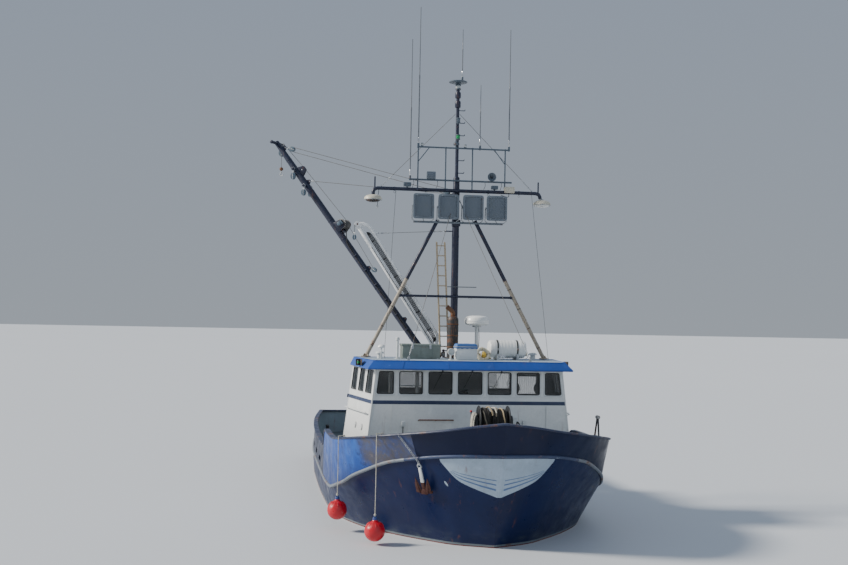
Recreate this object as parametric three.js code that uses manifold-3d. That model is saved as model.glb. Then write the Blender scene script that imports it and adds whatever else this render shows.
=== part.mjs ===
// Steel combination trawler, 17.7 m overall, afloat.
// Millimetres. +Z up, z = 0 is the waterline, x = 0 the centreline, y = 0 amidships.
// The bow points to -Y, port is +X, starboard is -X.
import * as THREE from 'three';
import { mergeVertices } from 'three/addons/utils/BufferGeometryUtils.js';
import Module from 'manifold-3d';

const wasm = await Module();
wasm.setup();

// ------------------------------------------------------------ driving dimensions
const LOA = 17700;              // length overall
const GAP = 0.3;                // clearance between pieces that touch
const DECK = 850;               // main deck above water
const FOREDECK = 1800;          // raised foredeck above water
const BREAK_S = 6600;           // break of the raised deck, aft of the stem head
const PLATE = 80;               // bulwark thickness
const CAP_H = 50;               // rail cap height
const KEEL_Z = -2350;           // underside of the bar keel
const WALL = 60;                // wheelhouse wall thickness
const HOUSE_TOP = 3800;         // top of the wheelhouse walls
const ROOF_TOP = 3970;          // top of the wheelhouse roof
const VISOR_Z = 3740;           // lower edge of the visor
const SILL_Z = 3150;            // lower edge of the wheelhouse windows
const HEAD_Z = 3690;            // upper edge of the wheelhouse windows
const GALLEY_TOP = 2850;        // top of the galley walls
const GALLEY_ROOF = 2930;       // top of the galley roof
const GALLEY_HALF = 1750;       // half width of the galley
const GALLEY_END_S = 9200;      // aft wall of the galley
const MAST_Y = -2170;
const MAST_R = 100;
const BAR_Y = MAST_Y - 158;     // cross bars run just ahead of the mast
const ARM_Z = 8450;             // crossarm
const RACK_LOW = 8720;
const RACK_HIGH = 9600;
const MAST_TOP = 11460;
const MAIN_HEEL = [0, MAST_Y + 170, 3250];
const MAIN_ARM = 200;           // swing pin to lift pin
const MAIN_AZ = 60;             // degrees from straight aft towards starboard
const MAIN_EL = 51.7;
const MAIN_LEN = 8660;
const PICK_HEEL = [-270, MAST_Y, 4050];
const PICK_ARM = 130;
const PICK_AZ = 88;
const PICK_EL = 56.7;
const PICK_LEN = 4150;

const FACETS = 0.7;             // share of the full facet count on round pieces

const Y = (s) => -LOA / 2 + s;  // distance aft of the stem head -> y
const rad = THREE.MathUtils.degToRad;

// ------------------------------------------------------------ solids
const V = (p) => new THREE.Vector3(...p);

function solid(geometry) {
  const g = geometry.clone();
  for (const name of Object.keys(g.attributes)) if (name !== 'position') g.deleteAttribute(name);
  const m = mergeVertices(g, 2e-3);
  const p = m.attributes.position.array;
  const tri = [];
  for (let i = 0; i < m.index.count; i += 3) {
    const [a, b, c] = [m.index.getX(i), m.index.getX(i + 1), m.index.getX(i + 2)];
    if (a !== b && b !== c && c !== a) tri.push(a, b, c);
  }
  let vol = 0;
  for (let i = 0; i < tri.length; i += 3) {
    const [a, b, c] = [tri[i] * 3, tri[i + 1] * 3, tri[i + 2] * 3];
    vol += p[a] * (p[b + 1] * p[c + 2] - p[b + 2] * p[c + 1])
      - p[a + 1] * (p[b] * p[c + 2] - p[b + 2] * p[c])
      + p[a + 2] * (p[b] * p[c + 1] - p[b + 1] * p[c]);
  }
  if (vol < 0) for (let i = 0; i < tri.length; i += 3) [tri[i + 1], tri[i + 2]] = [tri[i + 2], tri[i + 1]];
  return new wasm.Manifold(new wasm.Mesh({
    numProp: 3, vertProperties: Float32Array.from(p), triVerts: Uint32Array.from(tri),
  }));
}

function geometryOf(manifold) {
  const mesh = manifold.getMesh();
  const n = mesh.numProp;
  const pos = new Float32Array((mesh.vertProperties.length / n) * 3);
  for (let i = 0; i < pos.length / 3; i++) for (let k = 0; k < 3; k++) pos[i * 3 + k] = mesh.vertProperties[i * n + k];
  const g = new THREE.BufferGeometry();
  g.setAttribute('position', new THREE.BufferAttribute(pos, 3));
  g.setIndex(Array.from(mesh.triVerts));
  g.computeVertexNormals();
  return g;
}

const join = (...list) => list.flat().reduce((a, b) => a.add(b));

const box = (x0, x1, y0, y1, z0, z1) => solid(
  new THREE.BoxGeometry(x1 - x0, y1 - y0, z1 - z0).translate((x0 + x1) / 2, (y0 + y1) / 2, (z0 + z1) / 2));

// outline points are (y,z) for axis x, (x,z) for axis y and (x,y) for axis z
function prism(outline, axis, from, to) {
  const shape = new THREE.Shape(outline.map(([u, v]) => new THREE.Vector2(u, v)));
  const g = new THREE.ExtrudeGeometry(shape, { depth: to - from, bevelEnabled: false });
  const m = new THREE.Matrix4();
  if (axis === 'x') m.set(0, 0, 1, from, 1, 0, 0, 0, 0, 1, 0, 0, 0, 0, 0, 1);
  if (axis === 'y') m.set(1, 0, 0, 0, 0, 0, -1, to, 0, 1, 0, 0, 0, 0, 0, 1);
  if (axis === 'z') m.set(1, 0, 0, 0, 0, 1, 0, 0, 0, 0, 1, from, 0, 0, 0, 1);
  return solid(g.applyMatrix4(m));
}

function along(geometry, p, q) {         // turns a shape made along +Y so that it runs from p to q
  const a = V(p), b = V(q);
  const m = new THREE.Matrix4().makeRotationFromQuaternion(
    new THREE.Quaternion().setFromUnitVectors(new THREE.Vector3(0, 1, 0), b.clone().sub(a).normalize()));
  m.setPosition(a.add(b).multiplyScalar(0.5));
  return geometry.applyMatrix4(m);
}
const seg = (n) => Math.max(6, Math.round(n * FACETS));
const rod = (p, q, r, sides = 12, r2 = r) => solid(
  along(new THREE.CylinderGeometry(r2, r, V(p).distanceTo(V(q)), seg(sides)), p, q));
const ball = (c, r, w = 12, h = 8) => solid(new THREE.SphereGeometry(r, seg(w), Math.max(4, Math.round(h * FACETS))).translate(...c));

function lathe(profile, sides, centre) { // profile columns: radius, height above centre
  const g = new THREE.LatheGeometry(profile.map(([r, z]) => new THREE.Vector2(r, z)), seg(sides));
  return solid(g.applyMatrix4(new THREE.Matrix4().makeRotationX(Math.PI / 2)).translate(...centre));
}

function hexa(lower, upper) {            // two quads, same turning sense seen from above
  const p = [...lower, ...upper];
  const f = [[0, 3, 2], [0, 2, 1], [4, 5, 6], [4, 6, 7]];
  for (let i = 0; i < 4; i++) { const j = (i + 1) % 4; f.push([i, j, j + 4], [i, j + 4, i + 4]); }
  const g = new THREE.BufferGeometry();
  g.setAttribute('position', new THREE.BufferAttribute(Float32Array.from(p.flat()), 3));
  g.setIndex(f.flat());
  return solid(g);
}

// ------------------------------------------------------------ scene graph
const boat = new THREE.Group();
function piece(name, body, color, roughness, metalness, parent = boat) {
  const mesh = new THREE.Mesh(body.isBufferGeometry ? body : geometryOf(body),
    new THREE.MeshStandardMaterial({ color, roughness, metalness }));
  mesh.name = name;
  parent.add(mesh);
  return mesh;
}
const NAVY = 0x17264d, BLUE = 0x2a55a8, WHITE = 0xe6e8e6, MASTBLUE = 0x14213f, STEEL = 0x8d9499,
  RUST = 0x6e4a3a, BLACK = 0x1c1d20, SILVER = 0xb9bcbb, GREY = 0x747d7c, RED = 0xb5202c, GLASS = 0x22303a;

// ------------------------------------------------------------ hull form
// smooth monotone curve through table rows of [position, value]
function fair(table) {
  const x = table.map((r) => r[0]), y = table.map((r) => r[1]), n = x.length;
  const d = x.slice(1).map((v, i) => (y[i + 1] - y[i]) / (v - x[i]));
  const m = x.map((_, i) => (i === 0 ? d[0] : i === n - 1 ? d[n - 2]
    : d[i - 1] * d[i] <= 0 ? 0 : 2 * d[i - 1] * d[i] / (d[i - 1] + d[i])));
  return (t) => {
    if (t <= x[0]) return y[0];
    if (t >= x[n - 1]) return y[n - 1];
    let i = 0; while (t > x[i + 1]) i++;
    const h = x[i + 1] - x[i], u = (t - x[i]) / h;
    return y[i] * (2 * u ** 3 - 3 * u ** 2 + 1) + m[i] * h * (u ** 3 - 2 * u ** 2 + u)
      + y[i + 1] * (-2 * u ** 3 + 3 * u ** 2) + m[i + 1] * h * (u ** 3 - u ** 2);
  };
}
// distances aft of each level's own stem point, for the half breadths below
const AFT = [0, 150, 400, 900, 1700, 2800, 4200, 6000, 9000, 12000, 15000];
// columns: level, its stem point aft of the stem head, half breadths at AFT and at the transom,
// heights as [distance aft of the stem head, z]
const LEVELS = [
  ['keel', 2600, [50, 60, 75, 95, 110, 110, 110, 110, 110, 110, 110, 110],
    [[0, -1780], [10500, -1780], [13000, -1450], [15000, -860], [16500, -600], [17700, -430]]],
  ['floor', 2100, [50, 70, 120, 240, 450, 760, 1080, 1270, 1330, 1270, 1060, 860],
    [[0, -1550], [10000, -1550], [13000, -1250], [15000, -760], [16500, -540], [17700, -400]]],
  ['low_bilge', 1720, [50, 110, 230, 480, 900, 1450, 1980, 2280, 2380, 2300, 2000, 1700],
    [[0, -1150], [10000, -1150], [13000, -950], [15000, -640], [17700, -330]]],
  ['bilge', 1360, [50, 200, 470, 900, 1500, 2180, 2720, 2990, 3090, 3040, 2780, 2450],
    [[0, -550], [10000, -550], [13000, -500], [15000, -390], [17700, -190]]],
  ['waterline', 1100, [50, 370, 850, 1350, 2020, 2680, 3110, 3290, 3340, 3320, 3130, 2820],
    [[0, 0], [17700, 0]]],
  ['topside', 680, [50, 430, 920, 1480, 2170, 2840, 3230, 3360, 3390, 3370, 3200, 2890],
    [[0, 1000], [2600, 800], [5000, 420], [17700, 420]]],
  ['knuckle', 250, [50, 560, 1080, 1700, 2420, 3040, 3330, 3395, 3400, 3380, 3240, 2930],
    [[0, 2110], [250, 2100], [1600, 1840], [2600, 1450], [3600, 1070], [5000, 800], [7000, 755], [12000, 745], [17700, 850]]],
  ['rail', 0, [50, 700, 1230, 1880, 2580, 3150, 3360, 3400, 3400, 3380, 3250, 2940],
    [[0, 2825], [150, 2745], [400, 2650], [900, 2535], [2000, 2350], [3300, 2180], [4600, 2070], [6600, 2050], [7600, 1560], [10500, 1500], [14000, 1540], [17700, 1640]]],
].map(([name, stem, half, height]) => ({
  name, stem,
  half: fair(half.map((b, i) => [i < AFT.length ? AFT[i] : LOA - stem, b])),
  height: fair(height),
}));
const WATERLINE = 4, KNUCKLE = 6, RAIL = 7;
const STATIONS = [0, 0.005, 0.012, 0.022, 0.036, 0.055, 0.078, 0.105, 0.14, 0.185, 0.235, 0.3, 0.373, 0.4, 0.43,
  0.5, 0.58, 0.66, 0.74, 0.81, 0.87, 0.93, 1];

// one level of the hull on the port side as [half breadth, y, z], moved outwards by grow and up by lift
function levelLine(level, grow = 0, lift = 0, endCut = 0) {
  const { stem, half, height } = LEVELS[level];
  const end = LOA - endCut;
  const plan = STATIONS.map((t) => {
    const u = (end - stem) * t;
    return [half(u), Y(stem + u), height(stem + u)];
  });
  return plan.map(([b, y, z], i) => {
    const p = plan[Math.max(0, i - 1)], q = plan[Math.min(plan.length - 1, i + 1)];
    const tx = q[0] - p[0], ty = q[1] - p[1], len = Math.hypot(tx, ty);
    let nb = b + grow * (ty / len), ny = y - grow * (tx / len);
    if (i === 0) { nb = b; ny = y - grow; }
    if (i === plan.length - 1) ny = y + (endCut ? 0 : grow);
    return [Math.max(nb, 30), ny, z + lift];
  });
}
// closed solid between port and starboard level lines, lowest first
function loft(lines) {
  const rows = lines.length, cols = lines[0].length;
  const pos = [], idx = [];
  const at = (side, r, c) => (side * rows + r) * cols + c;
  for (const side of [1, -1]) for (const line of lines) for (const [b, y, z] of line) pos.push(side * b, y, z);
  const quad = (a, b, c, d) => idx.push(a, b, c, a, c, d);
  for (let r = 0; r < rows - 1; r++) for (let c = 0; c < cols - 1; c++) {
    quad(at(0, r, c), at(0, r, c + 1), at(0, r + 1, c + 1), at(0, r + 1, c));
    quad(at(1, r, c), at(1, r + 1, c), at(1, r + 1, c + 1), at(1, r, c + 1));
  }
  for (let c = 0; c < cols - 1; c++) {
    quad(at(0, rows - 1, c), at(0, rows - 1, c + 1), at(1, rows - 1, c + 1), at(1, rows - 1, c));
    quad(at(0, 0, c), at(1, 0, c), at(1, 0, c + 1), at(0, 0, c + 1));
  }
  for (let r = 0; r < rows - 1; r++) {
    quad(at(0, r, 0), at(0, r + 1, 0), at(1, r + 1, 0), at(1, r, 0));
    quad(at(0, r, cols - 1), at(1, r, cols - 1), at(1, r + 1, cols - 1), at(0, r + 1, cols - 1));
  }
  const g = new THREE.BufferGeometry();
  g.setAttribute('position', new THREE.BufferAttribute(Float32Array.from(pos), 3));
  g.setIndex(idx);
  return solid(g);
}
const skin = (grow, from = 0, topLift = 0) => loft(LEVELS.map((_, i) => i).filter((i) => i >= from)
  .map((i) => levelLine(i, grow, i === RAIL ? topLift : 0)));

// half breadth and height on the plating at a distance aft s and height z
function plating(s, z) {
  const pts = LEVELS.filter((l) => s >= l.stem).map((l) => [l.half(s - l.stem), l.height(s)]);
  for (let i = 0; i < pts.length - 1; i++) {
    const [b0, z0] = pts[i], [b1, z1] = pts[i + 1];
    if (z >= z0 && z <= z1) return b0 + (b1 - b0) * (z - z0) / (z1 - z0);
  }
  return pts[pts.length - 1][0];
}

const underDeck = (g) => prism([[Y(-900), -3000], [Y(LOA + 900), -3000], [Y(LOA + 900), DECK + g],
  [Y(BREAK_S) + g, DECK + g], [Y(BREAK_S) + g, FOREDECK + g], [Y(-900), FOREDECK + g]], 'x', -4200, 4200);

const SHAFT_Z = -1530, POST_S = 14400, STOCK_S = 16050, SHOE_TOP = -2170;
const keelBar = prism([[Y(2450), -1500], [Y(2750), -2000], [Y(3500), KEEL_Z], [Y(16900), KEEL_Z], [Y(16900), SHOE_TOP],
  [Y(POST_S), SHOE_TOP], [Y(POST_S), -900], [Y(12500), -1100], [Y(5000), -1300]], 'x', -110, 110);
const boss = rod([0, Y(POST_S - 900), SHAFT_Z], [0, Y(POST_S), SHAFT_Z], 130, 14);
const shaftBore = rod([0, Y(POST_S - 220), SHAFT_Z], [0, Y(POST_S + 50), SHAFT_Z], 62, 16);
const stockBore = rod([0, Y(STOCK_S), -1200], [0, Y(STOCK_S), -480], 64, 16);
const hull = join(skin(0).intersect(underDeck(0)), keelBar, boss).subtract(shaftBore).subtract(stockBore);
piece('hull', hull, NAVY, 0.45, 0.1);

// ------------------------------------------------------------ bulwark, rail cap and guard
const portsS = [8700, 10500, 12300, 14100, 15900];
const capFoot = levelLine(RAIL, 28, -CAP_H - GAP).map(([b, y, z]) => [b + 300, y, z]);
let bulwark = skin(0, WATERLINE).subtract(skin(-PLATE, WATERLINE, 300)).subtract(underDeck(GAP))
  .subtract(loft([capFoot, capFoot.map(([b, y, z]) => [b, y, z + 700])]));
for (const s of portsS) bulwark = bulwark.subtract(box(-4000, 4000, Y(s), Y(s + 620), DECK + 60, DECK + 210));
// in four lengths: round the raised bow, along each side of the work deck, and round the stern
const FAR = 12000, SPLIT_BOW = Y(BREAK_S) + GAP, SPLIT_STERN = Y(17100);
const length = (body, x0, x1, y0, y1) => body.intersect(box(x0, x1, y0 + GAP / 2, y1 - GAP / 2, -FAR, FAR));
piece('bulwark_bow', length(bulwark, -FAR, FAR, -FAR, SPLIT_BOW), NAVY, 0.45, 0.1);
piece('bulwark_stbd', length(bulwark, -FAR, 0, SPLIT_BOW, SPLIT_STERN), NAVY, 0.45, 0.1);
piece('bulwark_port', length(bulwark, 0, FAR, SPLIT_BOW, SPLIT_STERN), NAVY, 0.45, 0.1);
piece('bulwark_stern', length(bulwark, -FAR, FAR, SPLIT_STERN, FAR), NAVY, 0.45, 0.1);

const cap = loft([levelLine(RAIL, 28, -CAP_H), levelLine(RAIL, 28, 0)])
  .subtract(loft([levelLine(RAIL, -PLATE - 40, -300), levelLine(RAIL, -PLATE - 40, 300)]));
piece('rail_cap_bow', length(cap, -FAR, FAR, -FAR, SPLIT_BOW), MASTBLUE, 0.5, 0.1);
piece('rail_cap_aft', length(cap, -FAR, FAR, SPLIT_BOW, FAR), MASTBLUE, 0.5, 0.1);

const guard = loft([levelLine(KNUCKLE, 48, -42, 25), levelLine(KNUCKLE, 48, 42, 25)]).subtract(skin(GAP));
piece('rub_guard', guard, 0x8b98a3, 0.55, 0.2);

// ------------------------------------------------------------ wheelhouse
// corners of the walls, columns: half width and distance aft at the deck, the same at the wall top
const TAPER = (2950 - 2560) / (6450 - 4100);    // the side walls are flat, so both levels taper alike
const CORNERS = [
  [2560, 4100, 2717 - TAPER * (6450 - 4180), 4180],   // front
  [2950, 6450, 2717, 6450],                           // back
];
// the four corners at height z, each wall line moved in by inner
const ring = (inner, z) => {
  const t = (z - FOREDECK) / (HOUSE_TOP - FOREDECK);
  const at = (side, row) => { const [b0, s0, b1, s1] = CORNERS[row]; return [side * (b0 + (b1 - b0) * t), Y(s0 + (s1 - s0) * t)]; };
  const p = [at(-1, 0), at(1, 0), at(1, 1), at(-1, 1)];
  const line = p.map((a, i) => {
    const b = p[(i + 1) % 4], d = [b[0] - a[0], b[1] - a[1]], len = Math.hypot(...d);
    return { a: [a[0] - d[1] / len * inner, a[1] + d[0] / len * inner], d };
  });
  return line.map((l, i) => {
    const k = line[(i + 3) % 4], cr = k.d[0] * l.d[1] - k.d[1] * l.d[0];
    const u = ((l.a[0] - k.a[0]) * l.d[1] - (l.a[1] - k.a[1]) * l.d[0]) / cr;
    return [k.a[0] + k.d[0] * u, k.a[1] + k.d[1] * u, z];
  });
};
const LOW = FOREDECK + GAP, HIGH = HOUSE_TOP - GAP;
function wall(i, inner0 = 0, inner1 = WALL, z0 = LOW, z1 = HIGH, trim = GAP) {
  const j = (i + 1) % 4;
  const quad = (z) => {
    const o = ring(inner0, z), n = ring(inner1, z);
    const dir = V(o[j]).sub(V(o[i])).setZ(0).normalize().multiplyScalar(trim);
    const mv = (p, k) => [p[0] + dir.x * k, p[1] + dir.y * k, p[2]];
    return [mv(o[i], 1), mv(o[j], -1), mv(n[j], -1), mv(n[i], 1)];
  };
  return hexa(quad(z0), quad(z1));
}
// front windows, columns: centre x, half width at the sill, lean of the outer edge at the head
const FRONT_WINDOWS = [[-2110, 205, 62], [-1471, 285, 0], [-742, 290, 0], [0, 298, 0], [742, 290, 0], [1471, 285, 0], [2110, 205, 62]];
const frontHole = ([x, w, lean], grow = 0) => {
  const s = Math.sign(x) || 1;
  const pts = [[x - s * (w + grow), SILL_Z - grow], [x + s * (w + grow), SILL_Z - grow],
    [x + s * (w + grow - lean), HEAD_Z + grow], [x - s * (w + grow), HEAD_Z + grow]];
  return prism(s > 0 ? pts : pts.reverse(), 'y', Y(3600), Y(4700));
};
const front = FRONT_WINDOWS.reduce((w, h) => w.subtract(frontHole(h)), wall(0));
piece('wheelhouse_front', front, WHITE, 0.5, 0.05);

// side windows, columns: first and last distance aft at the sill
const SIDE_WINDOWS = [[4290, 4860], [5060, 5560], [5760, 6270]];
const sideHole = ([a, b], side) => prism([[Y(a), SILL_Z], [Y(b), SILL_Z], [Y(b), HEAD_Z], [Y(a + 60), HEAD_Z]],
  'x', side < 0 ? -3300 : 1900, side < 0 ? -1900 : 3300);
const sideStbd = SIDE_WINDOWS.reduce((w, h) => w.subtract(sideHole(h, -1)), wall(3));
piece('wheelhouse_side_stbd', sideStbd, WHITE, 0.45, 0.05);

// port side: two windows, and a door hinged on its forward edge
const DOOR = { a: 5620, b: 6280, z0: 2200, z1: 3690 };   // storm sill above the rail
const DOOR_GAP = 6;
const doorHole = (g, from = 1900) => prism([[Y(DOOR.a) - g, DOOR.z0 - g], [Y(DOOR.b) + g, DOOR.z0 - g],
  [Y(DOOR.b) + g, DOOR.z1 + g], [Y(DOOR.a) - g, DOOR.z1 + g]], 'x', from, 3300);
let sidePort = wall(1).subtract(doorHole(DOOR_GAP));
for (const w of SIDE_WINDOWS.slice(0, 1).concat([[5020, 5470]])) sidePort = sidePort.subtract(sideHole(w, 1));
piece('wheelhouse_side_port', sidePort, WHITE, 0.45, 0.05);
const doorPane = prism([[Y(DOOR.a + 130), 3120], [Y(DOOR.b - 130), 3120], [Y(DOOR.b - 130), 3580], [Y(DOOR.a + 130), 3580]], 'x', 1900, 3300);
const handle = box(2740, 2832, Y(DOOR.b - 120), Y(DOOR.b - 70), 2840, 2960);
const door = wall(1, 0, 45).intersect(doorHole(0)).subtract(doorPane).add(handle);
piece('wheelhouse_door', door, 0xdfe3e2, 0.45, 0.05);

// back wall with two windows over the galley roof
let back = wall(2);
for (const x of [-1500, 900]) back = back.subtract(box(x, x + 620, Y(6300), Y(6600), 3150, 3600));
piece('wheelhouse_back', back, WHITE, 0.5, 0.05);

// glass lies against the inside of each wall
const glassSheet = (i, z0, z1) => wall(i, WALL + GAP, WALL + 10, z0, z1, 40);
piece('wheelhouse_glass_front', glassSheet(0, SILL_Z - 50, HEAD_Z + 50), GLASS, 0.1, 0.0);
piece('wheelhouse_glass_stbd', glassSheet(3, SILL_Z - 50, HEAD_Z + 50), GLASS, 0.1, 0.0);
piece('wheelhouse_glass_port', glassSheet(1, SILL_Z - 50, HEAD_Z + 50)
  .intersect(prism([[Y(4000), 3000], [Y(DOOR.a - 60), 3000], [Y(DOOR.a - 60), 3800], [Y(4000), 3800]], 'x', 1500, 3300)), GLASS, 0.1, 0.0);
piece('wheelhouse_glass_back', glassSheet(2, 3080, 3660), GLASS, 0.1, 0.0);

// roof with its sloping visor
const roofRing = (bf, sf, ba, sa, z) => [[-bf, Y(sf), z], [bf, Y(sf), z], [ba, Y(sa), z], [-ba, Y(sa), z]];
const roofShell = hexa(roofRing(2560, 3950, 2790, 6488, VISOR_Z), roofRing(2400, 4140, 2690, 6480, ROOF_TOP));
const roofPocket = hexa(ring(-8, VISOR_Z - 50), ring(-8, HOUSE_TOP));
piece('wheelhouse_roof', roofShell.subtract(roofPocket), BLUE, 0.55, 0.05);

// inside: helm console along the front windows, and a pilot chair on its pedestal
const console_ = join(
  prism([[Y(4330), LOW], [Y(4880), LOW], [Y(4880), 2560], [Y(4760), 2860], [Y(4330), 2900]], 'x', -1650, 1650),
  box(-900, -300, Y(4400), Y(4700), 2850, 3080), box(250, 800, Y(4400), Y(4660), 2850, 3040));
piece('helm_console', console_, 0x6b5846, 0.6, 0.0);
const chair = join(rod([0, Y(5450), LOW], [0, Y(5450), LOW + 30], 240, 16), rod([0, Y(5450), LOW], [0, Y(5450), 2420], 45, 12),
  box(-250, 250, Y(5220), Y(5680), 2400, 2520), box(-240, 240, Y(5640), Y(5740), 2500, 3180));
piece('pilot_chair', chair, 0x2b2b2e, 0.7, 0.0);

// ------------------------------------------------------------ galley behind the raised deck
const GW = 50;
const galleySideOutline = [[Y(BREAK_S) + GAP, DECK + GAP], [Y(GALLEY_END_S) - GW - GAP, DECK + GAP], [Y(GALLEY_END_S) - GW - GAP, GALLEY_TOP],
  [Y(6450) + GAP, GALLEY_TOP], [Y(6450) + GAP, FOREDECK + GAP], [Y(BREAK_S) + GAP, FOREDECK + GAP]];
const PORTLIGHTS = [[7150, 7650], [8150, 8650]];
const galleySide = (x0) => PORTLIGHTS.reduce((w, [a, b]) => w.subtract(box(x0 - 50, x0 + GW + 50, Y(a), Y(b), 2080, 2520)),
  prism(galleySideOutline, 'x', x0, x0 + GW));
piece('galley_side_stbd', galleySide(-GALLEY_HALF), WHITE, 0.5, 0.05);
piece('galley_side_port', galleySide(GALLEY_HALF - GW), WHITE, 0.5, 0.05);
const GDOOR = { x0: -1350, x1: -700, z0: 1010, z1: 2700 };
const galleyBack = box(-GALLEY_HALF, GALLEY_HALF, Y(GALLEY_END_S) - GW, Y(GALLEY_END_S), DECK + GAP, GALLEY_TOP)
  .subtract(box(GDOOR.x0 - 6, GDOOR.x1 + 6, Y(GALLEY_END_S) - 200, Y(GALLEY_END_S) + 100, GDOOR.z0 - 6, GDOOR.z1 + 6))
  .subtract(box(350, 1050, Y(GALLEY_END_S) - 200, Y(GALLEY_END_S) + 100, 2050, 2520));
piece('galley_back', galleyBack, WHITE, 0.5, 0.05);
const galleyDoor = join(box(GDOOR.x0, GDOOR.x1, Y(GALLEY_END_S) - 42, Y(GALLEY_END_S) + 4, GDOOR.z0, GDOOR.z1),
  box(GDOOR.x1 - 120, GDOOR.x1 - 70, Y(GALLEY_END_S), Y(GALLEY_END_S) + 60, 1830, 1950))
  .subtract(box(GDOOR.x0 + 150, GDOOR.x1 - 150, Y(GALLEY_END_S) - 100, Y(GALLEY_END_S) + 100, 2150, 2500));
piece('galley_door', galleyDoor, 0xdfe3e2, 0.45, 0.05);
const galleyRoof = prism([[Y(6450) + GAP, GALLEY_TOP + GAP], [Y(GALLEY_END_S) + 450, GALLEY_TOP + GAP], [Y(GALLEY_END_S) + 450, GALLEY_ROOF],
  [Y(6450) + GAP, GALLEY_ROOF]], 'x', -GALLEY_HALF - 90, GALLEY_HALF + 90);
piece('galley_roof', galleyRoof, 0x9fb0bd, 0.6, 0.05);

// ------------------------------------------------------------ mast
const ROOT_Z = GALLEY_ROOF + GAP;
const lug = (x0, x1, y0, y1, z0, z1) => box(x0, x1, y0, y1, z0, z1);
const mast = join(
  rod([0, MAST_Y, ROOT_Z], [0, MAST_Y, ROOT_Z + 25], 175, 16),
  rod([0, MAST_Y, ROOT_Z], [0, MAST_Y, 8800], MAST_R, 16, 85),
  rod([0, MAST_Y, 8790], [0, MAST_Y, MAST_TOP - 40], 46, 12),
  rod([0, MAST_Y, MAST_TOP - 60], [0, MAST_Y, MAST_TOP], 250, 20),
  rod([0, MAST_Y, 11050], [0, MAST_Y, 11210], 80, 12),
  // main boom hinge: two lugs and the upright pin
  lug(-60, 60, MAST_Y, MAIN_HEEL[1] + 55, MAIN_HEEL[2] - 215, MAIN_HEEL[2] - 180),
  lug(-60, 60, MAST_Y, MAIN_HEEL[1] + 55, MAIN_HEEL[2] + 180, MAIN_HEEL[2] + 215),
  rod([0, MAIN_HEEL[1], MAIN_HEEL[2] - 200], [0, MAIN_HEEL[1], MAIN_HEEL[2] + 200], 30, 14),
  // picking boom hinge on the starboard side
  lug(PICK_HEEL[0] - 45, 0, MAST_Y - 45, MAST_Y + 45, PICK_HEEL[2] - 110, PICK_HEEL[2] - 82),
  lug(PICK_HEEL[0] - 45, 0, MAST_Y - 45, MAST_Y + 45, PICK_HEEL[2] + 82, PICK_HEEL[2] + 110),
  rod([PICK_HEEL[0], MAST_Y, PICK_HEEL[2] - 100], [PICK_HEEL[0], MAST_Y, PICK_HEEL[2] + 100], 24, 14),
  // topping lift eye on the swing line of the main boom
  lug(-20, 20, MAST_Y, MAIN_HEEL[1] + 40, 8380, 8440),
  lug(PICK_HEEL[0] - 40, 0, MAST_Y - 20, MAST_Y + 20, 7340, 7390));
piece('mast', mast, MASTBLUE, 0.45, 0.2);

const LEG_TOP = 7650, LEG_TOP_X = 510, LEG_FOOT_X = 2400, LEG_FOOT_Y = -2560, LEG_R = 52;
const legTop = (s) => [s * LEG_TOP_X, BAR_Y + 60, LEG_TOP];
const legFoot = (s) => [s * LEG_FOOT_X, LEG_FOOT_Y, ROOF_TOP + GAP + 10];
const legAt = (s, z) => { const a = V(legFoot(s)), b = V(legTop(s)); return a.lerp(b, (z - a.z) / (b.z - a.z)); };
for (const [name, s] of [['mast_leg_stbd', -1], ['mast_leg_port', 1]]) {
  const foot = legFoot(s), top = legTop(s);
  const leg = join(rod([foot[0], foot[1], ROOF_TOP + GAP], [foot[0], foot[1], ROOF_TOP + 22], 130, 14),
    rod([foot[0], foot[1], ROOF_TOP + 15], foot, LEG_R, 12), rod(foot, top, LEG_R, 12),
    rod([s * 92, MAST_Y - 60, LEG_TOP - 40], [top[0] + s * 30, BAR_Y + 60, LEG_TOP - 40], 42, 10))
    .subtract(box(-4000, 4000, -4000, 0, 0, ROOF_TOP + GAP))
    .subtract(rod([0, MAST_Y, 7000], [0, MAST_Y, 8800], 97, 16));
  piece(name, leg, s < 0 ? 0x9a9384 : MASTBLUE, 0.5, 0.2);
}
// horizontal brace between the legs, tied back to the mast
const BRACE_Z = 5600;
const braceA = legAt(-1, BRACE_Z), braceB = legAt(1, BRACE_Z);
const brace = join(rod(braceA.toArray(), braceB.toArray(), 32, 10),
  rod([0, braceA.y, BRACE_Z], [0, MAST_Y - 50, BRACE_Z], 28, 10), box(-60, 60, MAST_Y - 116, MAST_Y - 60, BRACE_Z - 60, BRACE_Z + 60))
  .subtract(rod(legFoot(-1), legTop(-1), LEG_R + GAP, 12)).subtract(rod(legFoot(1), legTop(1), LEG_R + GAP, 12))
  .subtract(rod([0, MAST_Y, 5000], [0, MAST_Y, 6200], MAST_R + GAP, 16));
const braceParts = brace.decompose().sort((a, b) => geometryOf(b).attributes.position.count - geometryOf(a).attributes.position.count);
piece('mast_brace', braceParts[0], MASTBLUE, 0.5, 0.2);

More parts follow.
